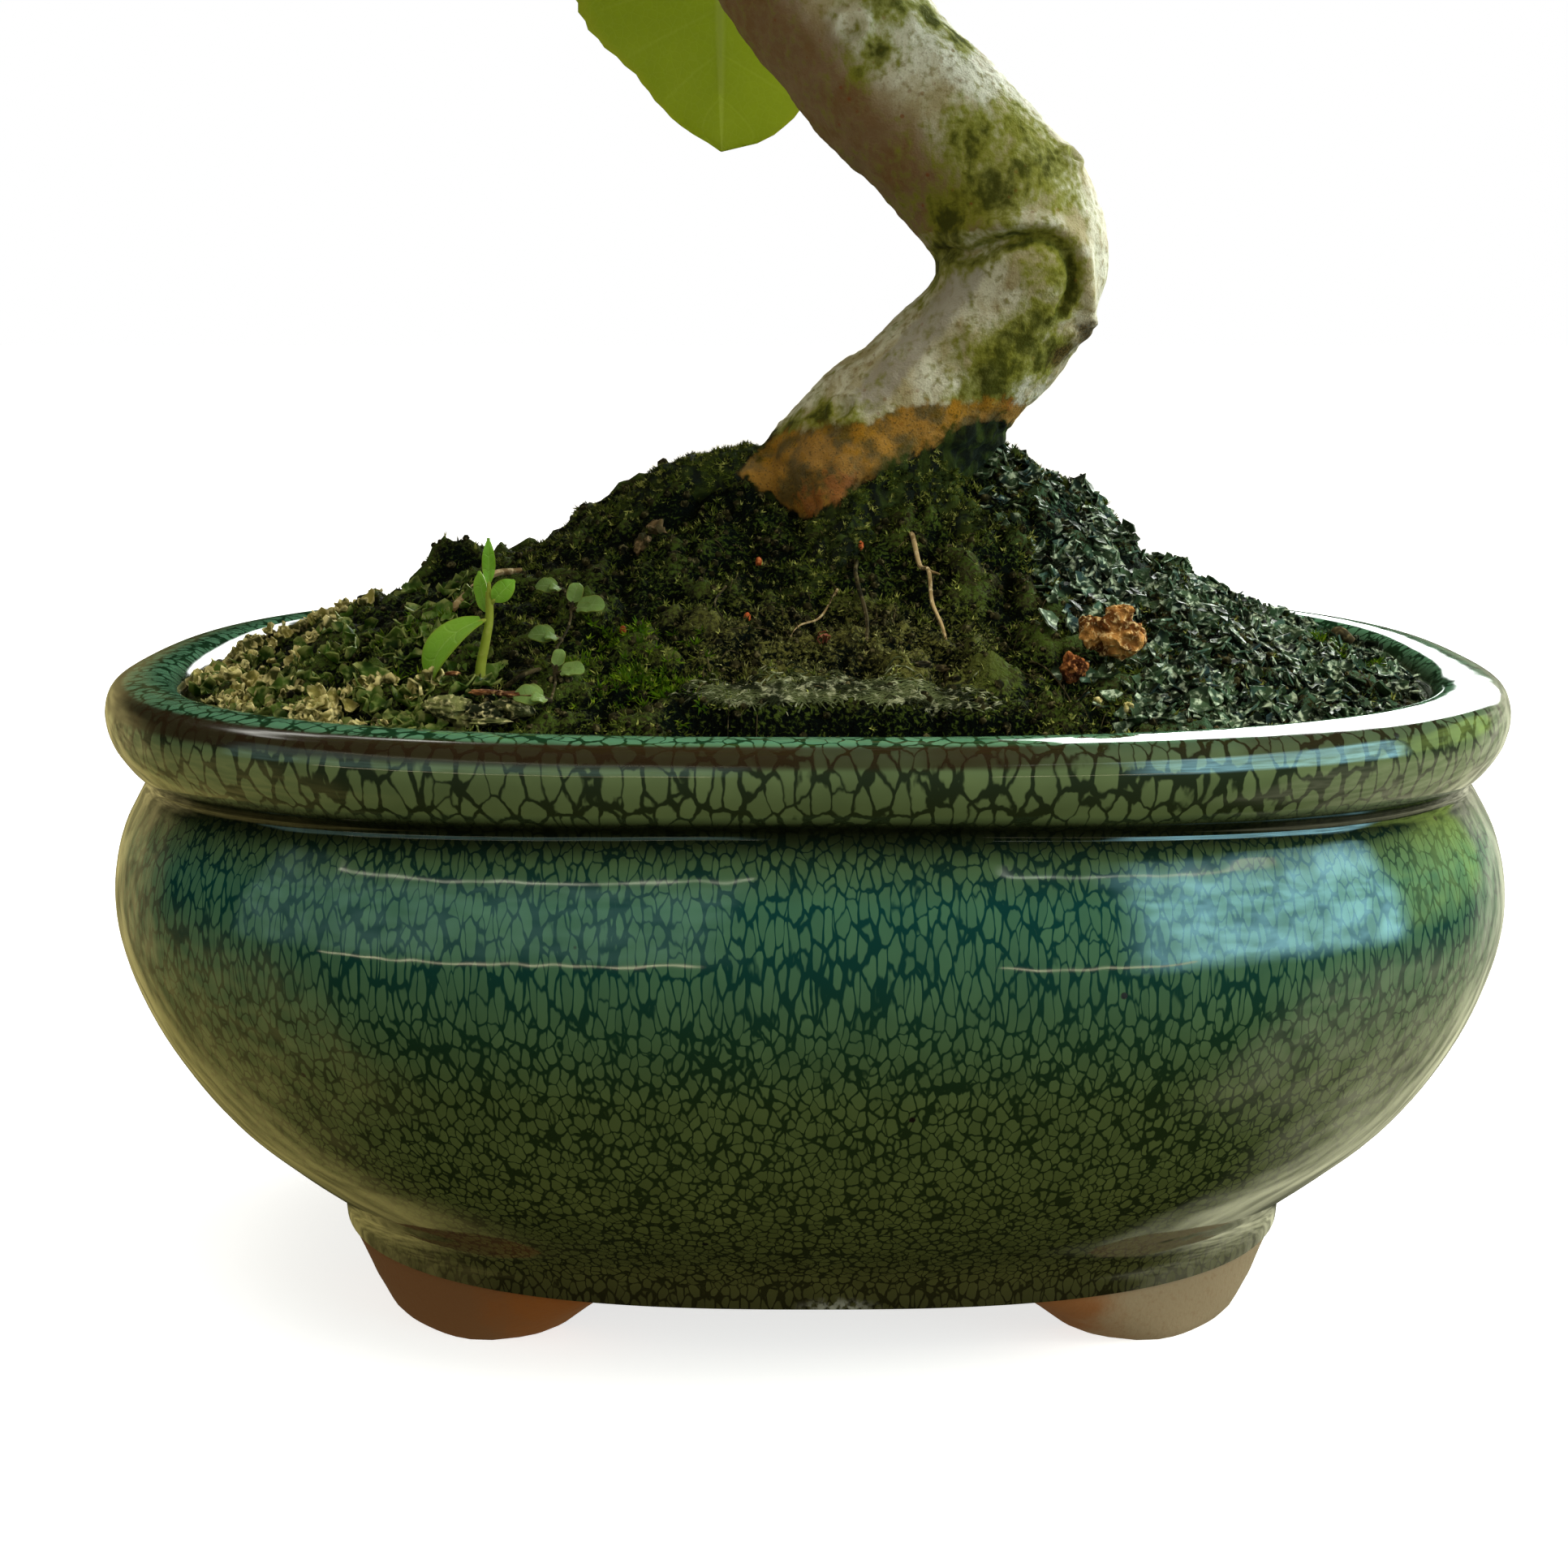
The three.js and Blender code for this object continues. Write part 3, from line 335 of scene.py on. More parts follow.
def taken(piece: bpy.types.Object) -> Blank:
    """Reads a modelled shape as a blank and takes it off the bench.

    Args:
        piece: The modelled shape.

    Returns:
        Its points and faces.
    """
    mesh = piece.data
    loops = np.empty(len(mesh.loops), np.int64)
    mesh.loops.foreach_get("vertex_index", loops)
    sizes = np.empty(len(mesh.polygons), np.int64)
    mesh.polygons.foreach_get("loop_total", sizes)
    blank = Blank(points_of(mesh), loops, sizes)
    bpy.data.objects.remove(piece)
    bpy.data.meshes.remove(mesh)
    return blank


@lru_cache
def tube_blank(sides: int, rings: int) -> Blank:
    """A closed tube: a circle extruded ring by ring, each one unit above the last.

    Args:
        sides: Points on a ring.
        rings: Rings along the tube.

    Returns:
        The tube, round the Z axis.
    """
    deselect()
    bpy.ops.mesh.primitive_circle_add(vertices=sides, radius=1)
    begin_edit()
    for _ in range(rings - 1):
        bpy.ops.mesh.extrude_region_move(TRANSFORM_OT_translate={"value": (0, 0, 1)})
    bpy.ops.mesh.edge_face_add()
    select_where(lambda place: place.z < 0.5)
    bpy.ops.mesh.edge_face_add()
    end_edit()
    return taken(bpy.context.object)


@lru_cache
def blade_blank(columns: int, rows: int) -> Blank:
    """A flat blade of unit thickness: a grid given a wall.

    Args:
        columns: Faces across, from -1 to 1 in X.
        rows: Faces along, from -1 to 1 in Y.

    Returns:
        The blade, with its upper face at z = 0.5.
    """
    deselect()
    bpy.ops.mesh.primitive_grid_add(x_subdivisions=columns, y_subdivisions=rows, size=2)
    apply_modifier(bpy.context.object, "SOLIDIFY", thickness=1, offset=0)
    return taken(bpy.context.object)


@lru_cache
def pebble_blank(finer: int) -> Blank:
    """A round pebble of unit radius, which its copies roughen.

    Args:
        finer: How often its faces are split, from 1.

    Returns:
        The pebble.
    """
    deselect()
    bpy.ops.mesh.primitive_ico_sphere_add(subdivisions=finer, radius=1)
    return taken(bpy.context.object)


@lru_cache
def thorn_blank() -> Blank:
    """A thin three-sided point, one unit long, for a moss leaf."""
    deselect()
    bpy.ops.mesh.primitive_cone_add(vertices=3, radius1=1, radius2=0, depth=1, location=(0, 0, 0.5))
    bpy.ops.object.transform_apply(location=True, rotation=True, scale=True)
    return taken(bpy.context.object)


@dataclass
class Shell:
    """One closed shell of a piece, in the plant's frame."""

    points: Array
    blank: Blank
    finish: int = 0
    surface: Array | None = None

    def shape(self) -> tuple[Array, Array]:
        """The corners of its faces, and how many each face has."""
        copies = len(self.points) // len(self.blank.points)
        steps = np.repeat(np.arange(copies) * len(self.blank.points), len(self.blank.loops))
        return np.tile(self.blank.loops, copies) + steps, np.tile(self.blank.sizes, copies)


def swept(line: Array, radii: Array, sides: int, finish: int = 0) -> Shell:
    """A tube along a line.

    Args:
        line: The line's points.
        radii: The tube's radius at each.
        sides: Points on a ring.
        finish: The finish it takes, counted in its piece.

    Returns:
        The tube, with its place along and round as its surface.
    """
    blank = tube_blank(sides, len(line))
    ring = np.rint(blank.points[:, 2]).astype(int)
    _, side, other = frames_along(line)
    outward = side[ring] * blank.points[:, :1] + other[ring] * blank.points[:, 1:2]
    points = line[ring] + outward * np.asarray(radii, float)[ring][:, None]
    turn = np.arctan2(blank.points[:, 1], blank.points[:, 0]) / math.tau + 0.5
    return Shell(points, blank, finish, np.stack([ring / (len(line) - 1), turn], axis=1))


def strewn(blank: Blank, places: Array, bases: Array, finish: int = 0) -> Shell:
    """Copies of a blank, each set down at a place and turned its own way.

    Args:
        blank: The shape that is copied.
        places: Where each copy stands.
        bases: Three rows for each copy, which its X, Y and Z become.
        finish: The finish they take.

    Returns:
        All the copies together.
    """
    points = np.einsum("kj,nji->nki", blank.points, bases) + places[:, None, :]
    surface = np.tile(blank.points[:, :2] * 0.5 + 0.5, (len(places), 1))
    return Shell(points.reshape(-1, 3), blank, finish, surface)


# Node sheets

def linear(colour: Colour) -> tuple[float, float, float, float]:
    """A colour from 0 to 255 as light, with full alpha."""
    parts = [(c / 255 / 12.92) if c < 10.3 else ((c / 255 + 0.055) / 1.055) ** 2.4 for c in colour]
    return (parts[0], parts[1], parts[2], 1.0)


class Value:
    """A number that changes over a surface, used in plain Python expressions."""

    def __init__(self, sheet: "Sheet", socket: bpy.types.NodeSocket) -> None:
        """Wraps a node's output."""
        self.sheet = sheet
        self.socket = socket

    def _math(self, operation: str, first: object, second: object) -> "Value":
        """One Math node on two numbers or values."""
        node = self.sheet.node("ShaderNodeMath", {"operation": operation}, {0: first, 1: second})
        return Value(self.sheet, node.outputs[0])

    def __add__(self, other: "Value | float") -> "Value":
        """The sum."""
        return self._math("ADD", self, other)

    def __radd__(self, other: float) -> "Value":
        """The sum, from the right."""
        return self._math("ADD", other, self)

    def __sub__(self, other: "Value | float") -> "Value":
        """The difference."""
        return self._math("SUBTRACT", self, other)

    def __rsub__(self, other: float) -> "Value":
        """The difference, from the right."""
        return self._math("SUBTRACT", other, self)

    def __mul__(self, other: "Value | float") -> "Value":
        """The product."""
        return self._math("MULTIPLY", self, other)

    def __rmul__(self, other: float) -> "Value":
        """The product, from the right."""
        return self._math("MULTIPLY", other, self)

    def larger(self, other: "Value | float") -> "Value":
        """The larger of two."""
        return self._math("MAXIMUM", self, other)

    def smaller(self, other: "Value | float") -> "Value":
        """The smaller of two."""
        return self._math("MINIMUM", self, other)

    def fraction(self) -> "Value":
        """What is left over a whole number."""
        return self._math("FRACT", self, 0.0)

    def size(self) -> "Value":
        """The number without its sign."""
        return self._math("ABSOLUTE", self, 0.0)

    def rises(self, low: float, high: float) -> "Value":
        """Goes smoothly from 0 at low to 1 at high."""
        names = {"Value": self, "From Min": low, "From Max": high, "To Min": 0.0, "To Max": 1.0}
        kind = {"interpolation_type": "SMOOTHSTEP"}
        return Value(self.sheet, self.sheet.node("ShaderNodeMapRange", kind, names).outputs[0])


class Sheet:
    """The node sheet of one material."""

    def __init__(self, name: str, shift: tuple[float, float]) -> None:
        """Starts an empty sheet.

        Args:
            name: The material's name.
            shift: How far the plant's frame is moved in the row's frame.
        """
        self.material = bpy.data.materials.new(name)
        self.material.use_nodes = True
        self.tree = self.material.node_tree
        self.tree.nodes.clear()
        self.shift = shift
        self.place = self._place()

    @classmethod
    def of_world(cls, world: bpy.types.World) -> "Sheet":
        """The sheet of the surroundings, whose place is a direction.

        Args:
            world: The surroundings.

        Returns:
            The sheet.
        """
        sheet = cls.__new__(cls)
        world.use_nodes = True
        sheet.tree = world.node_tree
        sheet.tree.nodes.clear()
        sheet.place = sheet.node("ShaderNodeTexCoord").outputs["Generated"]
        return sheet

    def node(self, kind: str, settings: dict | None = None, inputs: dict | None = None) -> bpy.types.Node:
        """Adds a node.

        Args:
            kind: The node's type.
            settings: What is set on it first, with a ramp's stops as stops.
            inputs: A value or a link for each socket, by name or number.

        Returns:
            The node.
        """
        node = self.tree.nodes.new(kind)
        for key, value in (settings or {}).items():
            if key == "stops":
                self._set_stops(node.color_ramp, value)
            else:
                setattr(node, key, value)
        for key, value in (inputs or {}).items():
            if isinstance(value, Value):
                value = value.socket
            if isinstance(value, bpy.types.NodeSocket):
                self.tree.links.new(value, node.inputs[key])
            else:
                node.inputs[key].default_value = value
        return node

    def _set_stops(self, ramp: bpy.types.ColorRamp, stops: Sequence[tuple[float, Colour]]) -> None:
        """Gives a ramp its stops.

        Args:
            ramp: The ramp.
            stops: A place from 0 to 1 and a colour for each.
        """
        while len(ramp.elements) > 1:
            ramp.elements.remove(ramp.elements[-1])
        ramp.elements[0].position = stops[0][0]
        ramp.elements[0].color = linear(stops[0][1])
        for position, colour in stops[1:]:
            ramp.elements.new(position).color = linear(colour)

    def _place(self) -> bpy.types.NodeSocket:
        """The point of the surface in millimetres in the plant's frame."""
        spot = self.node("ShaderNodeTexCoord").outputs["Object"]
        scale = (1 / MM, 1 / MM, 1 / MM)
        back = (-self.shift[0], -self.shift[1], 0.0)
        inputs = {"Vector": spot, "Location": back, "Scale": scale}
        return self.node("ShaderNodeMapping", None, inputs).outputs[0]

    def part(self, vector: bpy.types.NodeSocket, axis: int) -> Value:
        """One number of a vector."""
        return Value(self, self.node("ShaderNodeSeparateXYZ", None, {0: vector}).outputs[axis])

    def stretched(self, vector: bpy.types.NodeSocket, scale: Sequence[float]) -> bpy.types.NodeSocket:
        """A place scaled its own way along each axis."""
        inputs = {"Vector": vector, "Scale": tuple(scale)}
        return self.node("ShaderNodeMapping", None, inputs).outputs[0]

    def surface_place(self) -> bpy.types.NodeSocket:
        """The piece's own surface coordinates."""
        return self.node("ShaderNodeUVMap", {"uv_map": "surface"}).outputs[0]

    def mark(self, name: str) -> Value:
        """A mark painted on the piece's points."""
        return Value(self, self.node("ShaderNodeAttribute", {"attribute_name": name}).outputs["Fac"])

    def noise(self, size: float, detail: float = 3.0, at: bpy.types.NodeSocket | None = None,
              warp: float = 0.0) -> Value:
        """Noise from 0 to 1 whose bumps have a width in millimetres, with finer ones on them."""
        inputs = {"Vector": at or self.place, "Scale": 1 / size, "Detail": detail, "Distortion": warp}
        return Value(self, self.node("ShaderNodeTexNoise", None, inputs).outputs[0])

    def cells(self, size: float, feature: str = "F1",
              at: bpy.types.NodeSocket | None = None) -> bpy.types.Node:
        """Loose round cells with a width in millimetres."""
        inputs = {"Vector": at or self.place, "Scale": 1 / size, "Randomness": 1.0}
        return self.node("ShaderNodeTexVoronoi", {"feature": feature}, inputs)

    def mix(self, share: Value | float, first: object, second: object) -> bpy.types.NodeSocket:
        """Mixes a share of the second colour or link into the first.

        Args:
            share: The share.
            first: A colour or a link.
            second: Another.

        Returns:
            The mixed colour.
        """
        colours = [linear(c) if isinstance(c, tuple) else c for c in (first, second)]
        inputs = {0: share, 6: colours[0], 7: colours[1]}
        return self.node("ShaderNodeMix", {"data_type": "RGBA"}, inputs).outputs[2]

    def ramp(self, share: Value, stops: Sequence[tuple[float, Colour]]) -> bpy.types.NodeSocket:
        """A row of colours read by a value."""
        return self.node("ShaderNodeValToRGB", {"stops": stops}, {0: share}).outputs[0]

    def finish(self, base: object, roughness: Value | float, height: Value | None = None,
               relief: float = 0.1, gloss: float = 0.5, glow: Colour | None = None,
               lit: float = 0.4) -> bpy.types.Material:
        """Ends the sheet with its surface.

        Args:
            base: The base colour or its link.
            roughness: The roughness.
            height: The relief's height from 0 to 1.
            relief: The relief's full height in millimetres.
            gloss: How strongly it reflects, 0.5 for a plain hard surface.
            glow: The colour of light that shines through, if any does.
            lit: The share of that light.

        Returns:
            The material.
        """
        if isinstance(base, tuple):
            base = linear(base)
        inputs = {"Base Color": base, "Roughness": roughness, "Specular IOR Level": gloss}
        if height is not None:
            bump = {"Height": height, "Distance": relief * MM, "Strength": 1.0}
            inputs["Normal"] = self.node("ShaderNodeBump", None, bump).outputs[0]
        shader = self.node("ShaderNodeBsdfPrincipled", None, inputs).outputs[0]
        if glow is not None:
            through = self.node("ShaderNodeBsdfTranslucent", None, {"Color": linear(glow)}).outputs[0]
            shader = self.node("ShaderNodeMixShader", None, {0: lit, 1: shader, 2: through}).outputs[0]
        self.node("ShaderNodeOutputMaterial", None, {"Surface": shader})
        return self.material


# Finishes

@dataclass(frozen=True)
class Glaze:
    """Bottle-green glaze with pale round cells in a dark net, which runs down the pot, and painted shade in
    the groove under the lip.
    """

    cell_size: float = 1.55
    lip_cell_size: float = 3.0
    cells: tuple = (
        (0.0, (62, 62, 34)), (0.05, (82, 85, 44)), (0.1, (82, 88, 44)), (0.25, (84, 94, 48)),
        (0.4, (80, 96, 54)), (0.48, (72, 99, 66)), (0.55, (66, 101, 74)), (0.62, (65, 105, 80)),
        # The near-black stops round 0.7, at the deepest ring of the groove under the lip, are painted shade.
        (0.665, (68, 92, 60)), (0.685, (44, 54, 30)), (0.7, (24, 26, 12)), (0.715, (44, 50, 26)),
        (0.73, (100, 116, 72)), (0.775, (100, 118, 78)), (0.81, (70, 92, 70)), (0.823, (86, 132, 102)),
        (0.865, (86, 132, 102)), (0.89, (60, 72, 54)), (0.93, (50, 46, 32)), (1.0, (44, 40, 28)),
    )
    net: tuple = (
        (0.0, (34, 32, 15)), (0.05, (44, 45, 21)), (0.1, (46, 50, 23)), (0.25, (38, 48, 21)),
        (0.4, (30, 46, 22)), (0.48, (22, 50, 33)), (0.55, (14, 52, 46)), (0.62, (12, 54, 52)),
        # The near-black stop at 0.7 in the net is painted shade in the groove as well.
        (0.665, (18, 42, 34)), (0.7, (12, 15, 6)), (0.73, (42, 50, 25)), (0.775, (36, 47, 32)),
        (0.81, (30, 30, 16)), (0.823, (22, 52, 30)), (0.865, (22, 50, 30)), (0.93, (34, 26, 14)),
    )
    brown: Colour = (40, 28, 15)
    speck: Colour = (24, 15, 8)
    chalk: Colour = (150, 150, 134)
    chalk_place: tuple = (1.5, -62.0, 12.2)
    lip_height: tuple = (101.5, 104.5)
    shoulder: tuple = (74.0, 24.0, 0.2)
    edge_line: tuple = (0.8, 0.018, 0.011)
    lower_line: tuple = (0.905, 0.03, 0.012)
    bend: float = 1.5
    roughness: float = 0.05

    def pale_cells(self, sheet: Sheet, run: bpy.types.NodeSocket, size: float) -> tuple[Value, Value]:
        """Round cells with a thin soft net between them, which widens to pools here and there.

        Args:
            sheet: The glaze's sheet.
            run: The place that the cells are read at.
            size: The width of a cell in millimetres.

        Returns:
            1 inside a cell and 0 in the net, and a number of its own for each cell.
        """
        edge = Value(sheet, sheet.cells(size, "DISTANCE_TO_EDGE", run).outputs["Distance"])
        heart = sheet.cells(size, "F1", run)
        corner = (Value(sheet, heart.outputs["Distance"]) - 0.45).larger(0.0) * 0.3
        pool = sheet.noise(size * 4, 3, run).rises(0.52, 0.75) * 0.1
        tone = sheet.node("ShaderNodeSeparateColor", None, {0: heart.outputs["Color"]}).outputs[0]
        return (edge - corner - pool).rises(-0.01, 0.085), Value(sheet, tone)

    def material(self, shift: tuple[float, float]) -> bpy.types.Material:
        """Mixes the glaze.

        Args:
            shift: The plant's place in the row's frame.

        Returns:
            The material.
        """
        sheet = Sheet("green_glaze", shift)
        x, y, height = (sheet.part(sheet.place, axis) for axis in range(3))
        start, reach, share = self.shoulder
        squeezed = height * 0.5 - (height - start).larger(0.0).smaller(reach) * share
        flat = sheet.node("ShaderNodeCombineXYZ", None, {0: x, 1: y, 2: squeezed}).outputs[0]
        shake = {"Vector": flat, "Scale": 0.45, "Detail": 2.0}
        shake = sheet.node("ShaderNodeTexNoise", None, shake).outputs["Color"]
        wide = {0: shake, 1: (self.bend,) * 3, 2: flat}
        run = sheet.node("ShaderNodeVectorMath", {"operation": "MULTIPLY_ADD"}, wide).outputs[0]
        cell, tone = self.pale_cells(sheet, run, self.cell_size)
        lip_cell, lip_tone = self.pale_cells(sheet, run, self.lip_cell_size)
        on_lip = height.rises(*self.lip_height)
        cell = cell + (lip_cell - cell) * on_lip
        tone = tone + (lip_tone - tone) * on_lip
        patch = sheet.noise(9, 3).rises(0.34, 0.7)
        along = sheet.part(sheet.surface_place(), 1)
        light = sheet.ramp(along, self.cells)
        light = sheet.mix(tone * 0.4 + patch * 0.3, light, sheet.mix(0.5, light, sheet.ramp(along, self.net)))
        colour = sheet.mix(cell, sheet.ramp(along, self.net), light)
        worn = sheet.noise(26, 3).rises(0.36, 0.62)
        left = (x * -1.0).rises(-95, 30)
        place, wide, narrow = self.edge_line
        line = (along - place).size().rises(wide, narrow) * (left * 0.9 + worn * 0.4).smaller(1.0)
        place, wide, narrow = self.lower_line
        line = line.larger((along - place).size().rises(wide, narrow) * worn * left)
        colour = sheet.mix(line * 0.9, colour, self.brown)
        specks = Value(sheet, sheet.cells(19, "F1").outputs["Distance"]).rises(0.036, 0.026)
        colour = sheet.mix(specks, colour, self.speck)
        lime = sheet.node("ShaderNodeVectorMath", {"operation": "DISTANCE"}, {
            0: sheet.stretched(sheet.place, (0.3, 1, 1)), 1: self.chalk_place})
        chalk = Value(sheet, lime.outputs["Value"]).rises(2.6, 0.4) * sheet.noise(1.1, 4).rises(0.36, 0.62)
        colour = sheet.mix(chalk * 0.8, colour, self.chalk)
        rough = chalk * 0.6 + line * 0.1 + specks * 0.3 + self.roughness
        return sheet.finish(colour, rough, sheet.noise(9, 1), 0.08)


@dataclass(frozen=True)
class BareClay:
    """Unglazed stoneware, browner at the left and paler at the right, with rust at the inner ends."""

    brown: Colour = (116, 78, 45)
    beige: Colour = (146, 128, 99)
    rust: Colour = (134, 76, 24)

    def material(self, shift: tuple[float, float]) -> bpy.types.Material:
        """Mixes the clay.

        Args:
            shift: The plant's place in the row's frame.

        Returns:
            The material.
        """
        sheet = Sheet("bare_clay", shift)
        x = sheet.part(sheet.place, 0)
        cloud = sheet.noise(8, 4)
        colour = sheet.mix((x + (cloud - 0.5) * 30).rises(-20, 60), self.brown, self.beige)
        inner = (x.size() + (cloud - 0.5) * 16).rises(58, 47)
        colour = sheet.mix(inner * 0.8, colour, self.rust)
        colour = sheet.mix(sheet.noise(1.2, 3).rises(0.5, 0.8) * 0.3, colour, self.brown)
        return sheet.finish(colour, 0.85, sheet.noise(0.8, 4) + cloud, 0.12, 0.2)


@dataclass(frozen=True)
class Earth:
    """Black soil with a film of green, olive in front of the trunk and blue-green at the right, and painted
    shade in its hollows.
    """

    black: Colour = (3, 4, 1)
    dark: Colour = (46, 45, 22)
    moss: Colour = (56, 72, 22)
    olive: Colour = (88, 88, 42)
    teal: Colour = (52, 78, 58)
    fleck: Colour = (112, 122, 90)

    def material(self, shift: tuple[float, float]) -> bpy.types.Material:
        """Mixes the soil.

        Args:
            shift: The plant's place in the row's frame.

        Returns:
            The material.
        """
        sheet = Sheet("dark_earth", shift)
        x, y = sheet.part(sheet.place, 0), sheet.part(sheet.place, 1)
        broad, fine = sheet.noise(14, 3), sheet.noise(0.7, 4, warp=0.5)
        lift = sheet.mark("relief") + (fine - 0.5) * 0.9
        # Low places of the relief are painted black: painted shade in the hollows between the clods.
        colour = sheet.mix(lift.rises(0.2, 0.6), self.black, self.dark)
        film = sheet.mix((x + y * 0.3).rises(22, 46), self.moss, self.teal)
        olive = (x - 3).size().rises(34, 14) * (y + 54).size().rises(18, 8)
        film = sheet.mix(olive, film, self.olive)
        green = (lift * 0.6 + broad * 0.8 + (fine - 0.5) * 1.8).rises(0.5, 1.0)
        colour = sheet.mix(green * 0.9, colour, film)
        flecks = sheet.noise(0.5, 2).rises(0.66, 0.76) * (x + 40).rises(-20, 90) * lift.rises(0.3, 0.7)
        colour = sheet.mix(flecks * 0.6, colour, self.fleck)
        return sheet.finish(colour, 0.85 - lift * 0.1, fine, 0.7, 0.08)


@dataclass(frozen=True)
class Mottle:
    """A plain natural finish of three colours that run into each other."""

    name: str
    deep: Colour
    middle: Colour
    pale: Colour
    size: float
    roughness: float = 0.8
    relief: float = 0.2
    glow: Colour | None = None
    tip: Colour | None = None
    gloss: float = 0.15

    def material(self, shift: tuple[float, float]) -> bpy.types.Material:
        """Mixes the finish.

        Args:
            shift: The plant's place in the row's frame.

        Returns:
            The material.
        """
        sheet = Sheet(self.name, shift)
        broad = sheet.noise(self.size * 4, 3)
        fine = sheet.noise(self.size, 4, warp=0.4)
        colour = sheet.mix(broad.rises(0.38, 0.62), self.deep, self.middle)
        colour = sheet.mix(fine.rises(0.5, 0.72), colour, self.pale)
        if self.tip is not None:
            edge = sheet.part(sheet.surface_place(), 1) * 2 - 1
            side = sheet.part(sheet.surface_place(), 0) * 2 - 1
            rim = edge.size().larger(side.size()).rises(0.6, 1.0)
            colour = sheet.mix(rim * fine.rises(0.3, 0.55), colour, self.tip)
        rough = self.roughness - fine * 0.1
        return sheet.finish(colour, rough, fine, self.relief, self.gloss, self.glow)


class Natural(Enum):
    """The plain natural finishes, each named for what it dresses."""

    CRUMB = Mottle("earth_crumbs", (12, 12, 6), (42, 40, 22), (96, 90, 60), 0.8, 0.95, 0.3, gloss=0.05)
    DARK_MOSS = Mottle("dark_moss", (28, 35, 11), (76, 88, 29), (168, 172, 92), 1.6, 0.9, 0.1, gloss=0.08)
    OLIVE_MOSS = Mottle("olive_moss", (32, 34, 14), (80, 82, 38), (158, 158, 100), 1.2, 0.9, 0.1)
    BRIGHT_MOSS = Mottle("bright_moss", (38, 66, 5), (86, 120, 14), (158, 182, 46), 1.4, 0.7, 0.1,
                         (140, 170, 36))
    # The pale colour of the scale moss is partly the lobes' own paler tone and partly a painted highlight on
    # the wet lobes.
    SCALE_MOSS = Mottle("scale_moss", (10, 18, 8), (52, 72, 46), (180, 196, 168), 1.2, 0.55, 0.15, gloss=0.22)
    LOBE = Mottle("lichen_lobes", (60, 62, 26), (146, 138, 72), (206, 194, 128), 1.1, 0.8, 0.2,
                  tip=(206, 194, 134))
    LIVERWORT = Mottle("green_lobes", (28, 46, 12), (82, 110, 38), (140, 156, 86), 1.3, 0.6, 0.15,
                       (110, 140, 44), (150, 156, 88))
    MAT = Mottle("root_mat", (26, 30, 14), (84, 92, 58), (158, 162, 130), 1.4, 0.95, 0.3)
    DRY_ROOT = Mottle("dry_root", (104, 84, 52), (158, 136, 96), (196, 180, 142), 1.2, 0.85, 0.1)
    DARK_ROOT = Mottle("dark_root", (30, 26, 16), (62, 54, 34), (104, 94, 64), 1.0, 0.9, 0.1)
    RED_ROOT = Mottle("red_root", (78, 34, 24), (132, 72, 50), (160, 106, 76), 1.0, 0.7, 0.1)
    SEED = Mottle("orange_seeds", (128, 52, 20), (176, 84, 40), (204, 124, 70), 0.8, 0.6, 0.1)
    CHIP = Mottle("bark_chip", (26, 30, 14), (112, 116, 68), (206, 198, 144), 1.0, 0.9, 0.4)
    RUST_CHIP = Mottle("rusty_chip", (64, 34, 16), (146, 96, 56), (192, 152, 104), 0.9, 0.85, 0.3)
    BUMP = Mottle("root_bump", (34, 34, 16), (92, 76, 50), (130, 108, 78), 1.6, 0.9, 0.3)
    GRIT = Mottle("clay_grit", (88, 50, 18), (182, 132, 70), (232, 204, 146), 0.9, 0.95, 0.7)
    RED_GRIT = Mottle("red_clay_grit", (56, 26, 10), (134, 76, 34), (186, 124, 70), 0.9, 0.9, 0.6)
    TWIG = Mottle("young_twig", (78, 70, 40), (118, 108, 70), (150, 142, 104), 1.4, 0.8, 0.1)
    STALK = Mottle("green_stalk", (96, 110, 40), (122, 136, 52), (150, 150, 84), 1.6, 0.6, 0.05)
    PALE_STEM = Mottle("pale_stem", (150, 158, 60), (168, 184, 74), (196, 196, 104), 1.6, 0.5, 0.05,
                       (170, 190, 60))
    PLASTIC = Mottle("screen_plastic", (20, 20, 20), (26, 26, 25), (36, 36, 34), 1.2, 0.6, 0.05)


@dataclass(frozen=True)
class LeafSkin:
    """Green leaf with a pale midrib and side veins, which lets light through."""

    name: str
    deep: Colour
    green: Colour
    vein: Colour
    glow: Colour
    veins: float = 9.0
    lean: float = 1.7
    strength: float = 0.4
    lit: float = 0.4
    edge: Colour = (148, 128, 52)

    def material(self, shift: tuple[float, float]) -> bpy.types.Material:
        """Mixes the leaf's green and draws its veins.

        Args:
            shift: The plant's place in the row's frame.

        Returns:
            The material.
        """
        sheet = Sheet(self.name, shift)
        spot = sheet.surface_place()
        along = sheet.part(spot, 1)
        across = (sheet.part(spot, 0) * 2 - 1).size()
        midrib = across.rises(0.05, 0.012)
        run = along * self.veins - across * self.lean + across * across * 0.5
        vein = ((run + 0.25).fraction() - 0.5).size().rises(0.44, 0.5) * across.rises(0.98, 0.7)
        net = Value(sheet, sheet.cells(1.5, "DISTANCE_TO_EDGE").outputs["Distance"]).rises(0.09, 0.02)
        blotch = sheet.noise(14, 4)
        colour = sheet.mix(blotch.rises(0.35, 0.68), self.deep, self.green)
        colour = sheet.mix(net * 0.12, colour, self.vein)
        colour = sheet.mix((vein * self.strength).larger(midrib * 0.8), colour, self.vein)
        edge = across.rises(0.86, 1.0)
        colour = sheet.mix(edge * 0.5, colour, self.edge)
        relief = 1 - vein * 0.6 - net * 0.15
        return sheet.finish(colour, 0.42 + blotch * 0.15, relief, 0.14, 0.35, self.glow, self.lit)


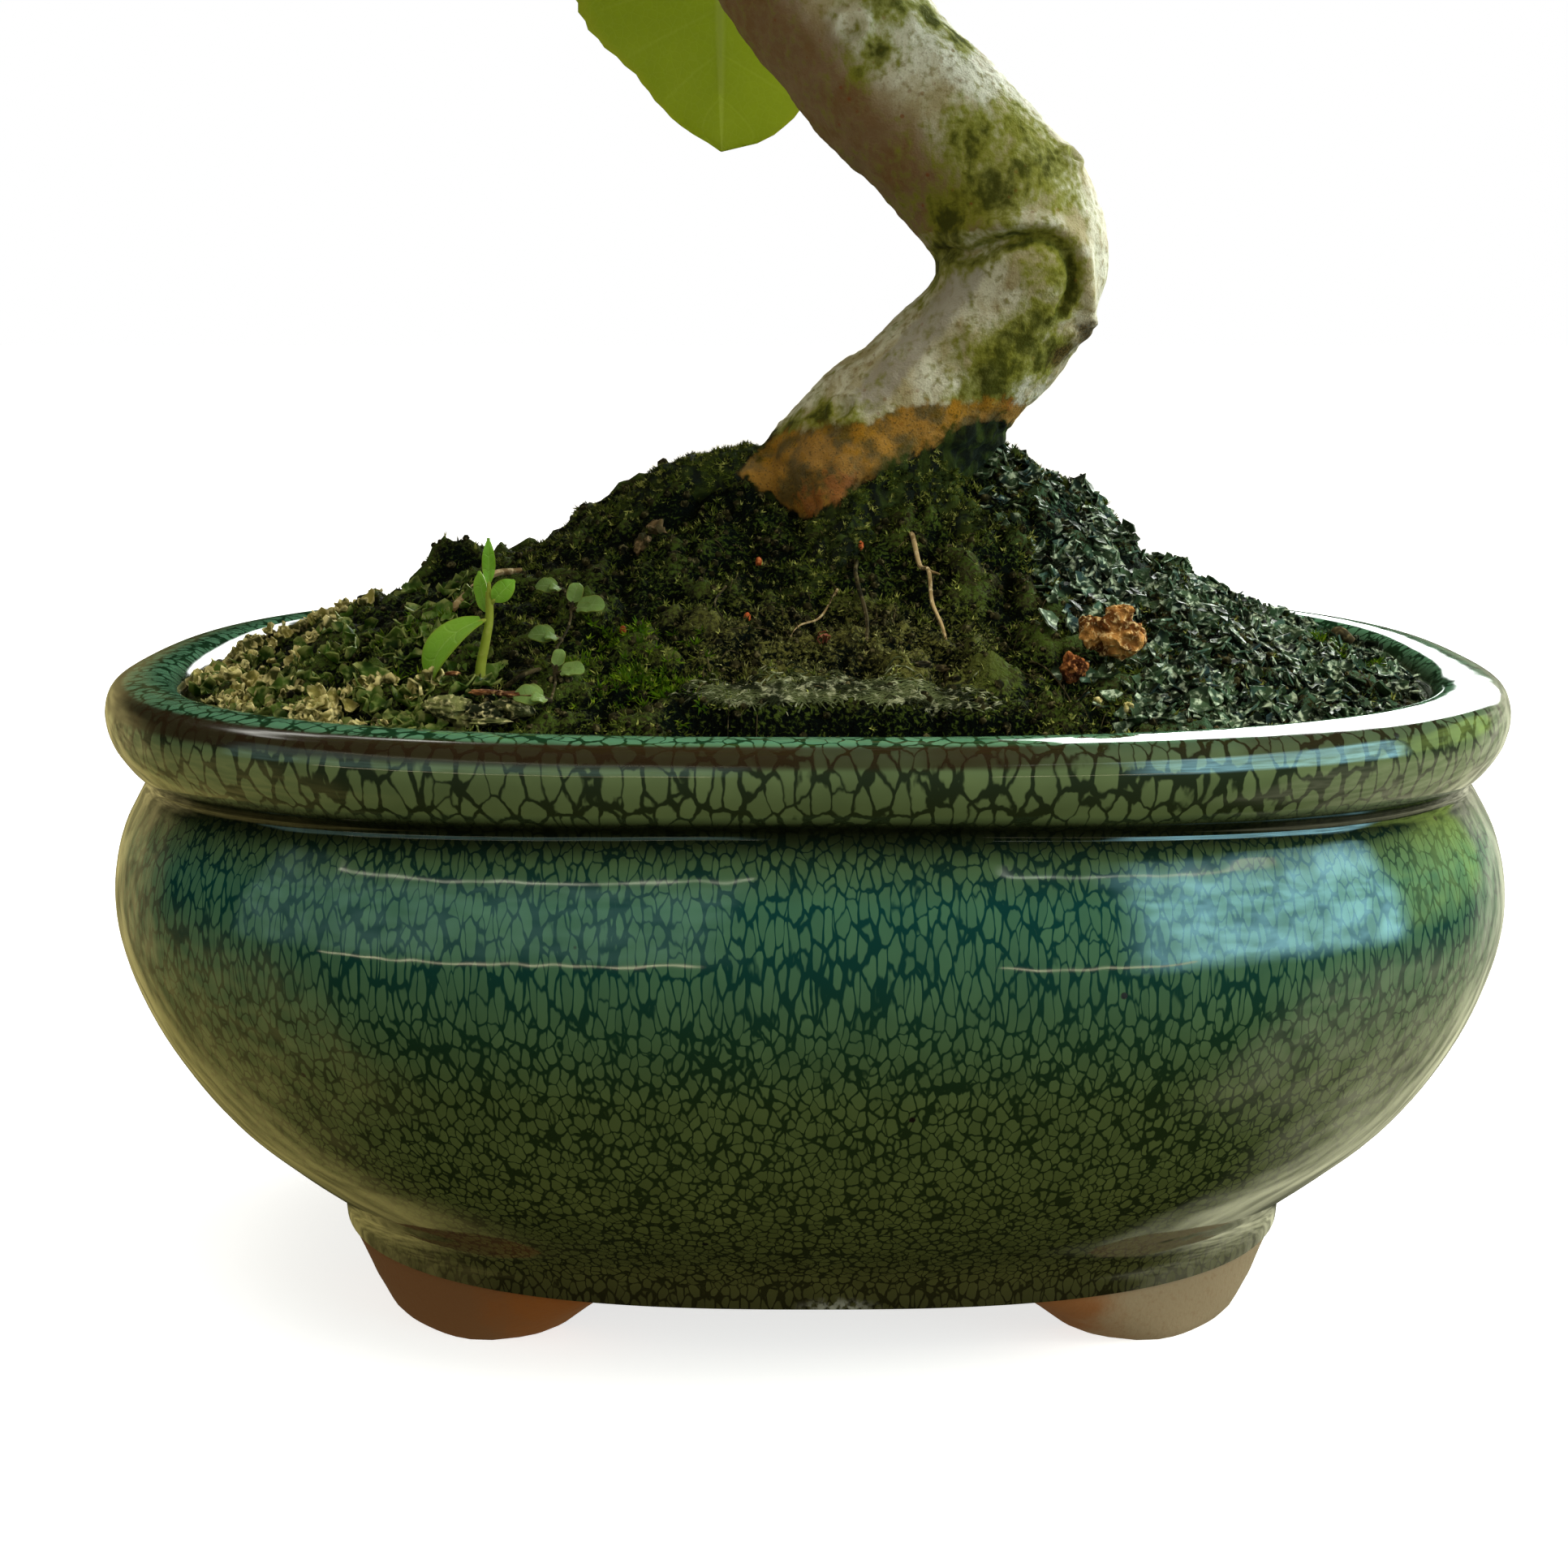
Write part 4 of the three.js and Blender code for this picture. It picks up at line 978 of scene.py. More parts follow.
class Foliage(Enum):
    """The leaf finishes."""

    CROWN = LeafSkin("apple_leaf", (74, 98, 30), (104, 132, 40), (150, 168, 76), (138, 168, 34))
    LOW = LeafSkin("low_leaf", (132, 144, 52), (150, 160, 62), (190, 198, 106), (186, 198, 60),
                   strength=0.2, lit=0.5, edge=(190, 176, 70))
    SEEDLING = LeafSkin("seedling_leaf", (110, 156, 44), (140, 186, 60), (172, 208, 100), (170, 214, 60),
                        3, 0.6)
    WEED = LeafSkin("weed_leaf", (88, 114, 54), (128, 156, 84), (160, 182, 120), (130, 170, 74), 5, 1.2)


@dataclass(frozen=True)
class Bark:
    """Smooth grey bark with algae and an ochre base, with painted shade in brown on its underside, painted by
    marks.
    """

    pale: Colour = (214, 212, 190)
    middle: Colour = (168, 156, 118)
    dull: Colour = (122, 96, 58)
    lilac: Colour = (156, 148, 136)
    algae: Colour = (122, 124, 26)
    deep_algae: Colour = (54, 56, 6)
    ochre: Colour = (156, 110, 30)
    earthy: Colour = (94, 72, 22)
    rust: Colour = (150, 84, 36)
    brown: Colour = (112, 76, 34)
    soot: Colour = (40, 34, 12)
    scar_dark: Colour = (48, 34, 12)
    scar_pale: Colour = (98, 76, 38)
    rust_spot: Colour = (124, 68, 30)
    soil: Colour = (14, 15, 6)
    moss: Colour = (44, 54, 16)

    def material(self, shift: tuple[float, float]) -> bpy.types.Material:
        """Mixes the bark.

        Args:
            shift: The plant's place in the row's frame.

        Returns:
            The material.
        """
        sheet = Sheet("apple_bark", shift)
        broad = sheet.noise(12, 4, warp=0.8)
        brushed = sheet.noise(4.2, 5, sheet.stretched(sheet.place, (1, 1, 0.5)), 1.2)
        fine, grain = sheet.noise(1.5, 5), sheet.noise(0.4, 3)
        colour = sheet.mix((broad * 0.7 + brushed * 0.3).rises(0.38, 0.58), self.middle, self.pale)
        colour = sheet.mix(fine.rises(0.5, 0.7) * 0.55, colour, self.dull)
        colour = sheet.mix(grain.rises(0.55, 0.72) * 0.35, colour, self.brown)
        colour = sheet.mix((sheet.mark("flat") + (brushed - 0.5)).rises(0.3, 0.7) * 0.8, colour, self.lilac)
        # The shade mark paints the sides that face down, and in the upper trunk to the left, brown: painted
        # shade.
        shade = (sheet.mark("shade") + (brushed - 0.5) * 0.6).rises(0.05, 0.95)
        colour = sheet.mix(shade * 0.9, colour, sheet.mix(fine.rises(0.4, 0.7), self.brown, self.dull))
        growth = sheet.mark("algae") + (brushed - 0.5) * 1.2 + (fine - 0.5) * 1.2
        colour = sheet.mix(growth.rises(-0.05, 0.6) * 0.9, colour, self.algae)
        colour = sheet.mix(growth.rises(0.45, 1.0) * 0.9, colour, self.deep_algae)
        base = (sheet.mark("ochre") + (brushed - 0.5) * 0.9 + (fine - 0.5) * 0.7).rises(0.25, 0.65)
        warm = sheet.mix((sheet.noise(5, 4) + (fine - 0.5) * 0.3).rises(0.38, 0.6), self.earthy, self.ochre)
        warm = sheet.mix((sheet.mark("rust") + (fine - 0.5) * 1.8).rises(0.4, 0.9) * 0.7, warm, self.rust)
        warm = sheet.mix(grain.rises(0.56, 0.66) * 0.6, warm, self.soot)
        colour = sheet.mix(base * 0.95, colour, warm)
        scar = (sheet.mark("scar") + (fine - 0.5) * 0.8).rises(0.3, 0.75)
        torn = sheet.mix(grain.rises(0.4, 0.6), self.scar_dark, self.scar_pale)
        colour = sheet.mix(scar * 0.9, colour, torn)
        spots = Value(sheet, sheet.cells(3.0).outputs["Distance"]).rises(0.16, 0.08)
        spots = spots * sheet.noise(8, 1).rises(0.44, 0.56) * (shade * 0.6 + 0.4)
        colour = sheet.mix(spots * 0.85, colour, self.rust_spot)
        # Soil and moss over the foot and the root, and painted shade along the carved crease.
        dirt_and_crease_shade = (sheet.mark("dirt_and_crease_shade") + (fine - 0.5) * 0.9 + (brushed - 0.5) * 0.6).rises(0.3, 0.7)
        colour = sheet.mix(dirt_and_crease_shade, colour, sheet.mix(brushed.rises(0.42, 0.6), self.soil, self.moss))
        rough = 0.62 + growth.rises(0.2, 0.8) * 0.3 + dirt_and_crease_shade * 0.3
        return sheet.finish(colour, rough, fine * 0.6 + grain * 0.4, 0.45, 0.22)


@dataclass(frozen=True)
class AppleSkin:
    """Red skin over yellow-green, with streaks from the stalk and pale dots."""

    green: Colour = (150, 146, 44)
    red: Colour = (150, 30, 20)
    deep: Colour = (104, 14, 14)
    hollow: Colour = (140, 122, 60)
    dot: Colour = (206, 178, 116)

    def material(self, shift: tuple[float, float]) -> bpy.types.Material:
        """Mixes the skin.

        Args:
            shift: The plant's place in the row's frame.

        Returns:
            The material.
        """
        sheet = Sheet("apple_skin", shift)
        spot = sheet.surface_place()
        streak = sheet.noise(1, 4, sheet.stretched(spot, (60, 4, 1)))
        blush = sheet.noise(16, 2)
        colour = sheet.mix((streak * 0.6 + blush * 0.8).rises(0.5, 0.85), self.green, self.red)
        colour = sheet.mix((streak * blush).rises(0.26, 0.4), colour, self.deep)
        ends = (sheet.part(spot, 1) - 0.5).size().rises(0.4, 0.49)
        colour = sheet.mix(ends * 0.8, colour, self.hollow)
        dots = Value(sheet, sheet.cells(2.1).outputs["Distance"]).rises(0.13, 0.08)
        colour = sheet.mix(dots * 0.6, colour, self.dot)
        return sheet.finish(colour, 0.28 + streak * 0.12, dots + streak * 0.2, 0.05)


# The setting: where things are made and placed

@dataclass
class Setting:
    """The plant's place in the row's frame, and the making of finished pieces there."""

    shift: tuple[float, float]
    made: dict[object, bpy.types.Material] = field(default_factory=dict)

    def finish_of(self, look: object) -> bpy.types.Material:
        """The material of a finish, made once.

        Args:
            look: The finish, or the choice that stands for it.

        Returns:
            The material.
        """
        recipe = look.value if isinstance(look, Enum) else look
        if recipe not in self.made:
            self.made[recipe] = recipe.material(self.shift)
        return self.made[recipe]

    def placed(self, points: Array) -> Array:
        """Points of the plant's frame in metres in the row's frame."""
        return (points + [*self.shift, 0]) * MM

    def local(self, mesh: bpy.types.Mesh) -> Array:
        """The points of a mesh in the plant's frame."""
        return points_of(mesh) / MM - [*self.shift, 0]

    def move(self, mesh: bpy.types.Mesh, points: Array) -> None:
        """Moves the points of a mesh to places in the plant's frame."""
        mesh.vertices.foreach_set("co", self.placed(points).astype(np.float32).ravel())

    def mesh_of(self, name: str, shells: Sequence[Shell]) -> bpy.types.Object:
        """Puts shells together as one mesh in the row's frame.

        Args:
            name: The piece's name.
            shells: Its shells.

        Returns:
            The object, linked to the scene.
        """
        points = np.concatenate([shell.points for shell in shells])
        starts = np.cumsum([0] + [len(shell.points) for shell in shells[:-1]])
        shapes = [shell.shape() for shell in shells]
        loops = np.concatenate([loops + start for (loops, _), start in zip(shapes, starts)])
        sizes = np.concatenate([sizes for _, sizes in shapes])
        looks = np.concatenate([np.full(len(s), shell.finish) for (_, s), shell in zip(shapes, shells)])
        surface = np.concatenate([
            np.zeros((len(shell.points), 2)) if shell.surface is None else shell.surface for shell in shells
        ])
        mesh = bpy.data.meshes.new(name)
        mesh.vertices.add(len(points))
        self.move(mesh, points)
        mesh.loops.add(len(loops))
        mesh.loops.foreach_set("vertex_index", loops.astype(np.int32))
        mesh.polygons.add(len(sizes))
        mesh.polygons.foreach_set("loop_start", np.concatenate([[0], np.cumsum(sizes)[:-1]]).astype(np.int32))
        mesh.polygons.foreach_set("material_index", looks.astype(np.int32))
        mesh.update(calc_edges=True)
        layer = mesh.uv_layers.new(name="surface")
        layer.data.foreach_set("uv", surface[loops].astype(np.float32).ravel())
        piece = bpy.data.objects.new(name, mesh)
        bpy.context.scene.collection.objects.link(piece)
        return piece

    def complete(self, piece: bpy.types.Object, looks: Sequence[object], slot: str,
                 replaces: Sequence[str] = (), angle: float = 40) -> bpy.types.Object:
        """Dresses a piece, smooths its shading and sets it on the frame.

        Args:
            piece: The modelled piece, without a finish yet.
            looks: Its finishes, in the order its faces count them.
            slot: Not used.
            replaces: The nodes it stands for.
            angle: Edges sharper than this stay sharp, in degrees.

        Returns:
            The piece.
        """
        for look in looks:
            piece.data.materials.append(self.finish_of(look))
        pick(piece)
        bpy.ops.object.shade_smooth_by_angle(angle=math.radians(angle))
        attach(piece, "root")
        if replaces:
            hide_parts(*replaces)
        triangles = sum(len(face.vertices) - 2 for face in piece.data.polygons)
        log.info("%s: %d triangles", piece.name, triangles)
        return piece

    def make(self, name: str, shells: Sequence[Shell], looks: Sequence[object], slot: str,
             replaces: Sequence[str] = (), angle: float = 40) -> bpy.types.Object:
        """Makes a finished piece of shells."""
        return self.complete(self.mesh_of(name, shells), looks, slot, replaces, angle)


# Pot

@dataclass
class Pot:
    """The oval pot: a belly under a grooved neck and a rolled lip, on four low feet."""

    setting: Setting
    power: float = 2.6
    rim: float = 116.0
    floor: float = 20.0
    base: float = 12.0
    lean: float = 1.3
    deepest: tuple[float, float, float] = (124.0, 95.0, 0.9)
    sides: int = 208
    finer: int = 5
    outer: tuple = (
        (12, 12, 89.8, 62), (15.8, 15.8, 90.2, 62.6), (20, 20, 92, 65.4), (29, 29, 100.9),
        (38, 38, 109.5), (48.5, 48.5, 116.7), (60, 60, 122.3), (72, 72, 125.6), (81, 81.5, 125.8),
        (89.5, 91.5, 123.8), (95.6, 99.2, 120.6), (98.2, 102, 119.2), (101.6, 104.4, 121.9),
        (106, 108, 124.5), (111, 112, 125.3), (114.8, 114.8, 124), (116, 116, 121.4),
    )
    inner: tuple = (
        (116, 116, 115.2), (112.6, 112.6, 112), (99, 99, 111.6), (86, 86, 116.2), (68, 68, 116.4),
        (46, 46, 107), (29, 29, 91.5), (20, 20, 78),
    )
    foot_rings: tuple = (
        (0, 85.2, 21, 43.5, 8), (1.2, 86.4, 19, 45, 7), (5.5, 88, 15, 49.5, 4),
        (11.8, 89.5, 11, 57, 0), (15, 89.5, 11, 57, 0),
    )
    foot_depth: float = 61.6
    foot_thickness: float = 15.0
    drain: tuple[float, float] = (42.0, 9.0)
    drill: tuple[float, float] = (16.0, 14.0)
    thrown_wave: tuple[float, float] = (46.0, 0.28)
    outside_share: float = 1.22
    foot_height: float = 12.6
    foot_bumps: tuple[float, float] = (9.0, 0.18)

    def half_depth(self, half_length: Array | float) -> Array | float:
        """Half the depth of the plan that goes with half its length."""
        at, depth, share = self.deepest
        return depth - (at - half_length) * share

    def reach(self, half_length: Array | float, depth: Array | float, angle: Array) -> Array:
        """Distance from the pot's middle to its wall.

        Args:
            half_length: Half the plan's length.
            depth: Half its depth.
            angle: The direction.

        Returns:
            The distance in millimetres.
        """
        along = np.abs(np.cos(angle) / half_length) ** self.power
        across = np.abs(np.sin(angle) / depth) ** self.power
        return (along + across) ** (-1 / self.power)

    def lean_at(self, height: Array | float) -> Array | float:
        """How far the thrown pot stands off centre at a height."""
        return self.lean * (1 - height / self.rim)

    def profile(self) -> Array:
        """The rings of the wall, with finer ones between, from the base over the lip to the floor."""
        rows = [(*ring, self.half_depth(ring[2])) if len(ring) == 3 else ring for ring in self.outer]
        rows += [(*ring, self.half_depth(ring[2])) for ring in self.inner]
        table = np.array(rows, float)
        steps = np.linalg.norm(np.diff(table[:, [0, 2]], axis=0), axis=1) ** 0.5
        knots = np.concatenate([[0], np.cumsum(steps)])
        fine = np.unique(np.concatenate([
            np.linspace(a, b, self.finer + 1) for a, b in zip(knots[:-1], knots[1:])
        ]))
        columns = [smooth_between(np.stack([knots, table[:, i]], axis=1), fine) for i in range(4)]
        rings = np.stack(columns, axis=1)
        rings[0], rings[-1] = table[0], table[-1]
        return rings

    def body(self) -> bpy.types.Object:
        """The wall and floor, with its drain holes cut."""
        rings = self.profile()
        blank = tube_blank(self.sides, len(rings))
        ring = np.rint(blank.points[:, 2]).astype(int)
        angle = np.arctan2(blank.points[:, 1], blank.points[:, 0])
        end, side, half, depth = rings[ring].T
        height = side + (end - side) * np.cos(angle) ** 2
        out = self.reach(half, depth, angle)
        points = np.stack([self.lean_at(height) + out * np.cos(angle), out * np.sin(angle), height], axis=1)
        width, swing = self.thrown_wave
        wave = Grain(5).layers(points, width, 2) * swing * rises(height, 16, 30)
        points[:, 0] += wave * np.cos(angle)
        points[:, 1] += wave * np.sin(angle)
        lengths = np.linalg.norm(np.diff(rings[:, 1:3], axis=0), axis=1)
        outside = int(np.argmax(rings[:, 0] >= self.rim - 0.001))
        travel = np.concatenate([[0], np.cumsum(lengths)]) / (np.sum(lengths[:outside]) * self.outside_share)
        surface = np.stack([angle / math.tau + 0.5, np.minimum(travel[ring], 1)], axis=1)
        piece = self.setting.mesh_of("pot_body", [Shell(points, blank, 0, surface)])
        for x in (-self.drain[0], self.drain[0]):
            self.cut_drain(piece, x)
        return piece

    def cut_drain(self, piece: bpy.types.Object, x: float) -> None:
        """Cuts one round drain hole through the floor.

        Args:
            piece: The pot's body.
            x: The hole's place along the pot.
        """
        deselect()
        middle, depth = self.drill
        place = self.setting.placed(np.array([x, 0, middle]))
        radius = self.drain[1] * MM
        bpy.ops.mesh.primitive_cylinder_add(vertices=48, radius=radius, depth=depth * MM, location=place)
        drill = bpy.context.object
        apply_modifier(piece, "BOOLEAN", operation="DIFFERENCE", object=drill, solver="EXACT")
        bpy.data.objects.remove(drill)

    def feet(self) -> list[Shell]:
        """Four feet that follow the plan's corners, bare of glaze."""
        blank = tube_blank(48, 13)
        level = blank.points[:, 2] / 12
        angle = np.arctan2(blank.points[:, 1], blank.points[:, 0])
        rows = np.array(self.foot_rings, float)
        height = self.foot_height * level**1.3
        half, low, high, rounding = (np.interp(height, rows[:, 0], rows[:, i]) for i in range(1, 5))
        square = (np.abs(np.cos(angle)) ** 8 + np.abs(np.sin(angle)) ** 8) ** (-1 / 8)
        wall = np.clip(0.5 + 0.5 * np.sin(angle) * square, 0, 1)
        shells = []
        for mirror_x, mirror_y in ((1, 1), (-1, 1), (1, -1), (-1, -1)):
            share = np.clip(0.5 - 0.5 * np.cos(angle) * square * mirror_x * mirror_y, 0, 1)
            turn = np.radians(low + (high - low) * share)
            full = self.reach(half, self.foot_depth, turn) - rounding * np.abs(2 * share - 1) ** 4 * wall
            out = full - self.foot_thickness * (1 - wall) - 0.4 * rises(height, 11, self.foot_height)
            x = self.lean_at(height) + mirror_x * out * np.cos(turn)
            points = np.stack([x, mirror_y * out * np.sin(turn), height], axis=1)
            width, swing = self.foot_bumps
            bumps = Grain(11).layers(points, width, 2)[:, None] * swing * rises(height, 0.5, 3)[:, None]
            points[:, :2] += bumps * unit(points[:, :2])
            shells.append(Shell(points, blank, 0))
        return shells

    def build(self) -> None:
        """Makes the glazed body and its bare feet."""
        self.setting.complete(self.body(), [Glaze()], "glaze", ["pot"], 50)
        piece = self.setting.mesh_of("pot_feet", self.feet())
        pick(piece)
        begin_edit()
        end_edit()
        self.setting.complete(piece, [BareClay()], "clay", (), 50)
        for name in ("drain_screen_left", "drain_screen_right"):
            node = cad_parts[name]
            node.data.materials.clear()
            node.data.materials.append(self.setting.finish_of(Natural.PLASTIC))


# Soil

@dataclass
class Mound:
    """The dark mound of soil round the trunk."""

    setting: Setting
    pot: Pot
    middle: tuple[float, float] = (5.0, 15.0)
    left: tuple = (
        (0, 155), (0.1, 154.5), (0.29, 150), (0.38, 143.5), (0.48, 135.5), (0.6, 131), (0.71, 127.5),
        (0.85, 120), (1, 112.3),
    )
    right: tuple = (
        (0, 155), (0.3, 154.5), (0.36, 150), (0.44, 146), (0.54, 135), (0.65, 129), (0.74, 125),
        (0.87, 119), (1, 112.3),
    )
    front: tuple = ((0, 155), (0.15, 151), (0.35, 140.5), (0.56, 131), (0.78, 121.5), (1, 112.3))
    back: tuple = ((0, 155), (0.3, 150), (0.6, 138), (1, 112.8))
    lumps: tuple = ((-67, 4, 8, 6.5), (-24, 8, 10, -1.8), (47, 8, 7, 2))
    ledge: tuple = ((-20, -68.5), (-8, -70), (5, -69.5), (16, -70), (28, -71.5))
    ledge_ends: tuple = (-26, -18, 26, 38)
    ledge_drop: float = 4.2
    ledge_lift: float = 0.6
    trunk_hollow: tuple = (-12, 2, 26, 14, 1.6)
    film: float = 0.5
    clods: tuple = ((11, 3.6), (5, 2.4), (2.2, 1.1))
    grid: int = 236
    bottom: float = 21.6

    def wall(self, angle: Array) -> Array:
        """Distance from the mound's middle to the pot's inner wall.

        Args:
            angle: The directions.

        Returns:
            A distance for each.
        """
        half = self.pot.inner[1][2] - GAP
        low, high = np.zeros_like(angle), np.full_like(angle, 140.0)
        for _ in range(24):
            middle = (low + high) / 2
            x = self.middle[0] + middle * np.cos(angle)
            y = self.middle[1] + middle * np.sin(angle)
            inside = np.hypot(x, y) < self.pot.reach(half, self.pot.half_depth(half), np.arctan2(y, x))
            low, high = np.where(inside, middle, low), np.where(inside, high, middle)
        return low

    def share(self, x: Array, y: Array) -> tuple[Array, Array]:
        """How far out a point is on its way to the wall, and in which direction.

        Args:
            x: The points' X.
            y: The points' Y.

        Returns:
            Shares from 0 to 1, and angles.
        """
        angle = np.arctan2(y - self.middle[1], x - self.middle[0])
        away = np.hypot(x - self.middle[0], y - self.middle[1])
        return np.minimum(away / self.wall(angle), 1), angle

    def height(self, x: Array, y: Array) -> Array:
        """The surface of the soil, as the part's source has it.

        Args:
            x: Places along the pot.
            y: Places across it.

        Returns:
            Heights in millimetres.
        """
        out, angle = self.share(x, y)
        ends = np.where(x < self.middle[0], between(self.left, out), between(self.right, out))
        sides = np.where(y < self.middle[1], between(self.front, out), between(self.back, out))
        smooth = ends * np.cos(angle) ** 2 + sides * np.sin(angle) ** 2
        rough = 1.1 * np.sin(0.21 * x + 1.3) * np.sin(0.19 * y + 0.7)
        rough = rough + 0.7 * np.sin(0.37 * x - 0.29 * y + 2.1)
        for at_x, at_y, reach, lift in self.lumps:
            away = np.hypot(x - at_x, y - at_y) / reach
            rough = rough + lift * np.exp(-2 * away * away) / (1 - out + 0.001)
        return smooth + rough * (1 - out)

    def surface(self, x: Array, y: Array) -> Array:
        """The surface with its clods, crevices and the ledge in front.

        Args:
            x: The points' X.
            y: The points' Y.

        Returns:
            Its height at each point.
        """
        out, _ = self.share(x, y)
        flat = np.stack([x, y, np.zeros_like(x)], axis=1)
        grain = Grain(3)
        clods = sum(depth * (np.abs(grain.layers(flat + 50 * i, size, 2)) - 0.4)
                    for i, (size, depth) in enumerate(self.clods))
        line = np.interp(x, [p[0] for p in self.ledge], [p[1] for p in self.ledge])
        line = line + 0.7 * grain.at(flat, 3.0)
        start, full, last, end = self.ledge_ends
        reach = rises(x, start, full) * rises(-x, -end, -last)
        beyond = rises(line - y, -0.1, 1.0) * reach
        shelf = rises(y - line, -1.5, 1.5) * rises(line - y, -11, -4) * reach
        fade = rises(-out, -1.0, -0.94)
        at_x, at_y, wide, narrow, depth = self.trunk_hollow
        hollow = rises(-np.hypot(x - at_x, y - at_y), -wide, -narrow)
        level = self.height(x, y) - self.film * fade - depth * hollow
        level = level + clods * fade * (1 - 0.7 * shelf)
        return level - self.ledge_drop * beyond * fade + self.ledge_lift * shelf

    def normals(self, x: Array, y: Array) -> Array:
        """The way the surface faces.

        Args:
            x: The points' X.
            y: The points' Y.

        Returns:
            A vector of length 1 for each.
        """
        step = 1.2
        slope_x = (self.surface(x + step, y) - self.surface(x - step, y)) / (2 * step)
        slope_y = (self.surface(x, y + step) - self.surface(x, y - step)) / (2 * step)
        return unit(np.stack([-slope_x, -slope_y, np.ones_like(slope_x)], axis=1))

    def build(self) -> None:
        """Makes the body of soil: a grid shaped to the mound, with its wall drawn down to the floor."""
        deselect()
        bpy.ops.mesh.primitive_grid_add(x_subdivisions=self.grid, y_subdivisions=self.grid, size=2)
        piece = bpy.context.object
        piece.name = "soil_mound"
        piece.data.name = "soil_mound"
        flat = points_of(piece.data)[:, :2]
        out = np.maximum(np.abs(flat[:, 0]), np.abs(flat[:, 1]))
        straight = np.abs(flat[:, 0]) >= np.abs(flat[:, 1])
        safe = np.where(out < 1e-9, 1, out)
        across, along = (np.where(np.abs(flat[:, i]) < 1e-9, safe, flat[:, i]) for i in range(2))
        first = np.where(flat[:, 0] < 0, math.pi, 0) + math.pi / 4 * flat[:, 1] / across
        other = np.where(flat[:, 1] < 0, -math.pi / 2, math.pi / 2) - math.pi / 4 * flat[:, 0] / along
        angle = np.where(straight, first, other)
        away = out * self.wall(np.arctan2(np.sin(angle), np.cos(angle)))
        x = self.middle[0] + away * np.cos(angle)
        y = self.middle[1] + away * np.sin(angle)
        self.setting.move(piece.data, np.stack([x, y, self.surface(x, y)], axis=1))
        begin_edit()
        bpy.ops.mesh.select_all(action="DESELECT")
        bpy.ops.mesh.select_non_manifold()
        for height, _, half in self.pot.inner[2:]:
            self.draw_wall_down(piece, half - GAP * 3, max(height, self.bottom))
        bpy.ops.mesh.edge_face_add()
        end_edit()
        x, y, z = self.setting.local(piece.data).T
        # This mark is low in the soil's hollows, where the soil's finish paints them black as painted shade.
        paint_mark(piece.data, "relief", rises(z - self.height(x, y), -2.6, 2.4))
        self.setting.complete(piece, [Earth()], "soil", ["soil"], 80)

    def draw_wall_down(self, piece: bpy.types.Object, half: float, height: float) -> None:
        """Extrudes the open edge down to one ring of the pot's wall.

        Args:
            piece: The soil in edit mode, with its open edge selected.
            half: Half the ring's length.
            height: The ring's height.
        """
        bpy.ops.mesh.extrude_region_move()
        mesh = bmesh.from_edit_mesh(piece.data)
        for corner in mesh.verts:
            if corner.select:
                x = corner.co.x / MM - self.setting.shift[0]
                y = corner.co.y / MM - self.setting.shift[1]
                angle = np.arctan2(y, x)
                out = self.pot.reach(half, self.pot.half_depth(half), angle)
                corner.co.x = (out * np.cos(angle) + self.pot.lean_at(height) + self.setting.shift[0]) * MM
                corner.co.y = (out * np.sin(angle) + self.setting.shift[1]) * MM
                corner.co.z = height * MM
        bmesh.update_edit_mesh(piece.data)


# Trunk

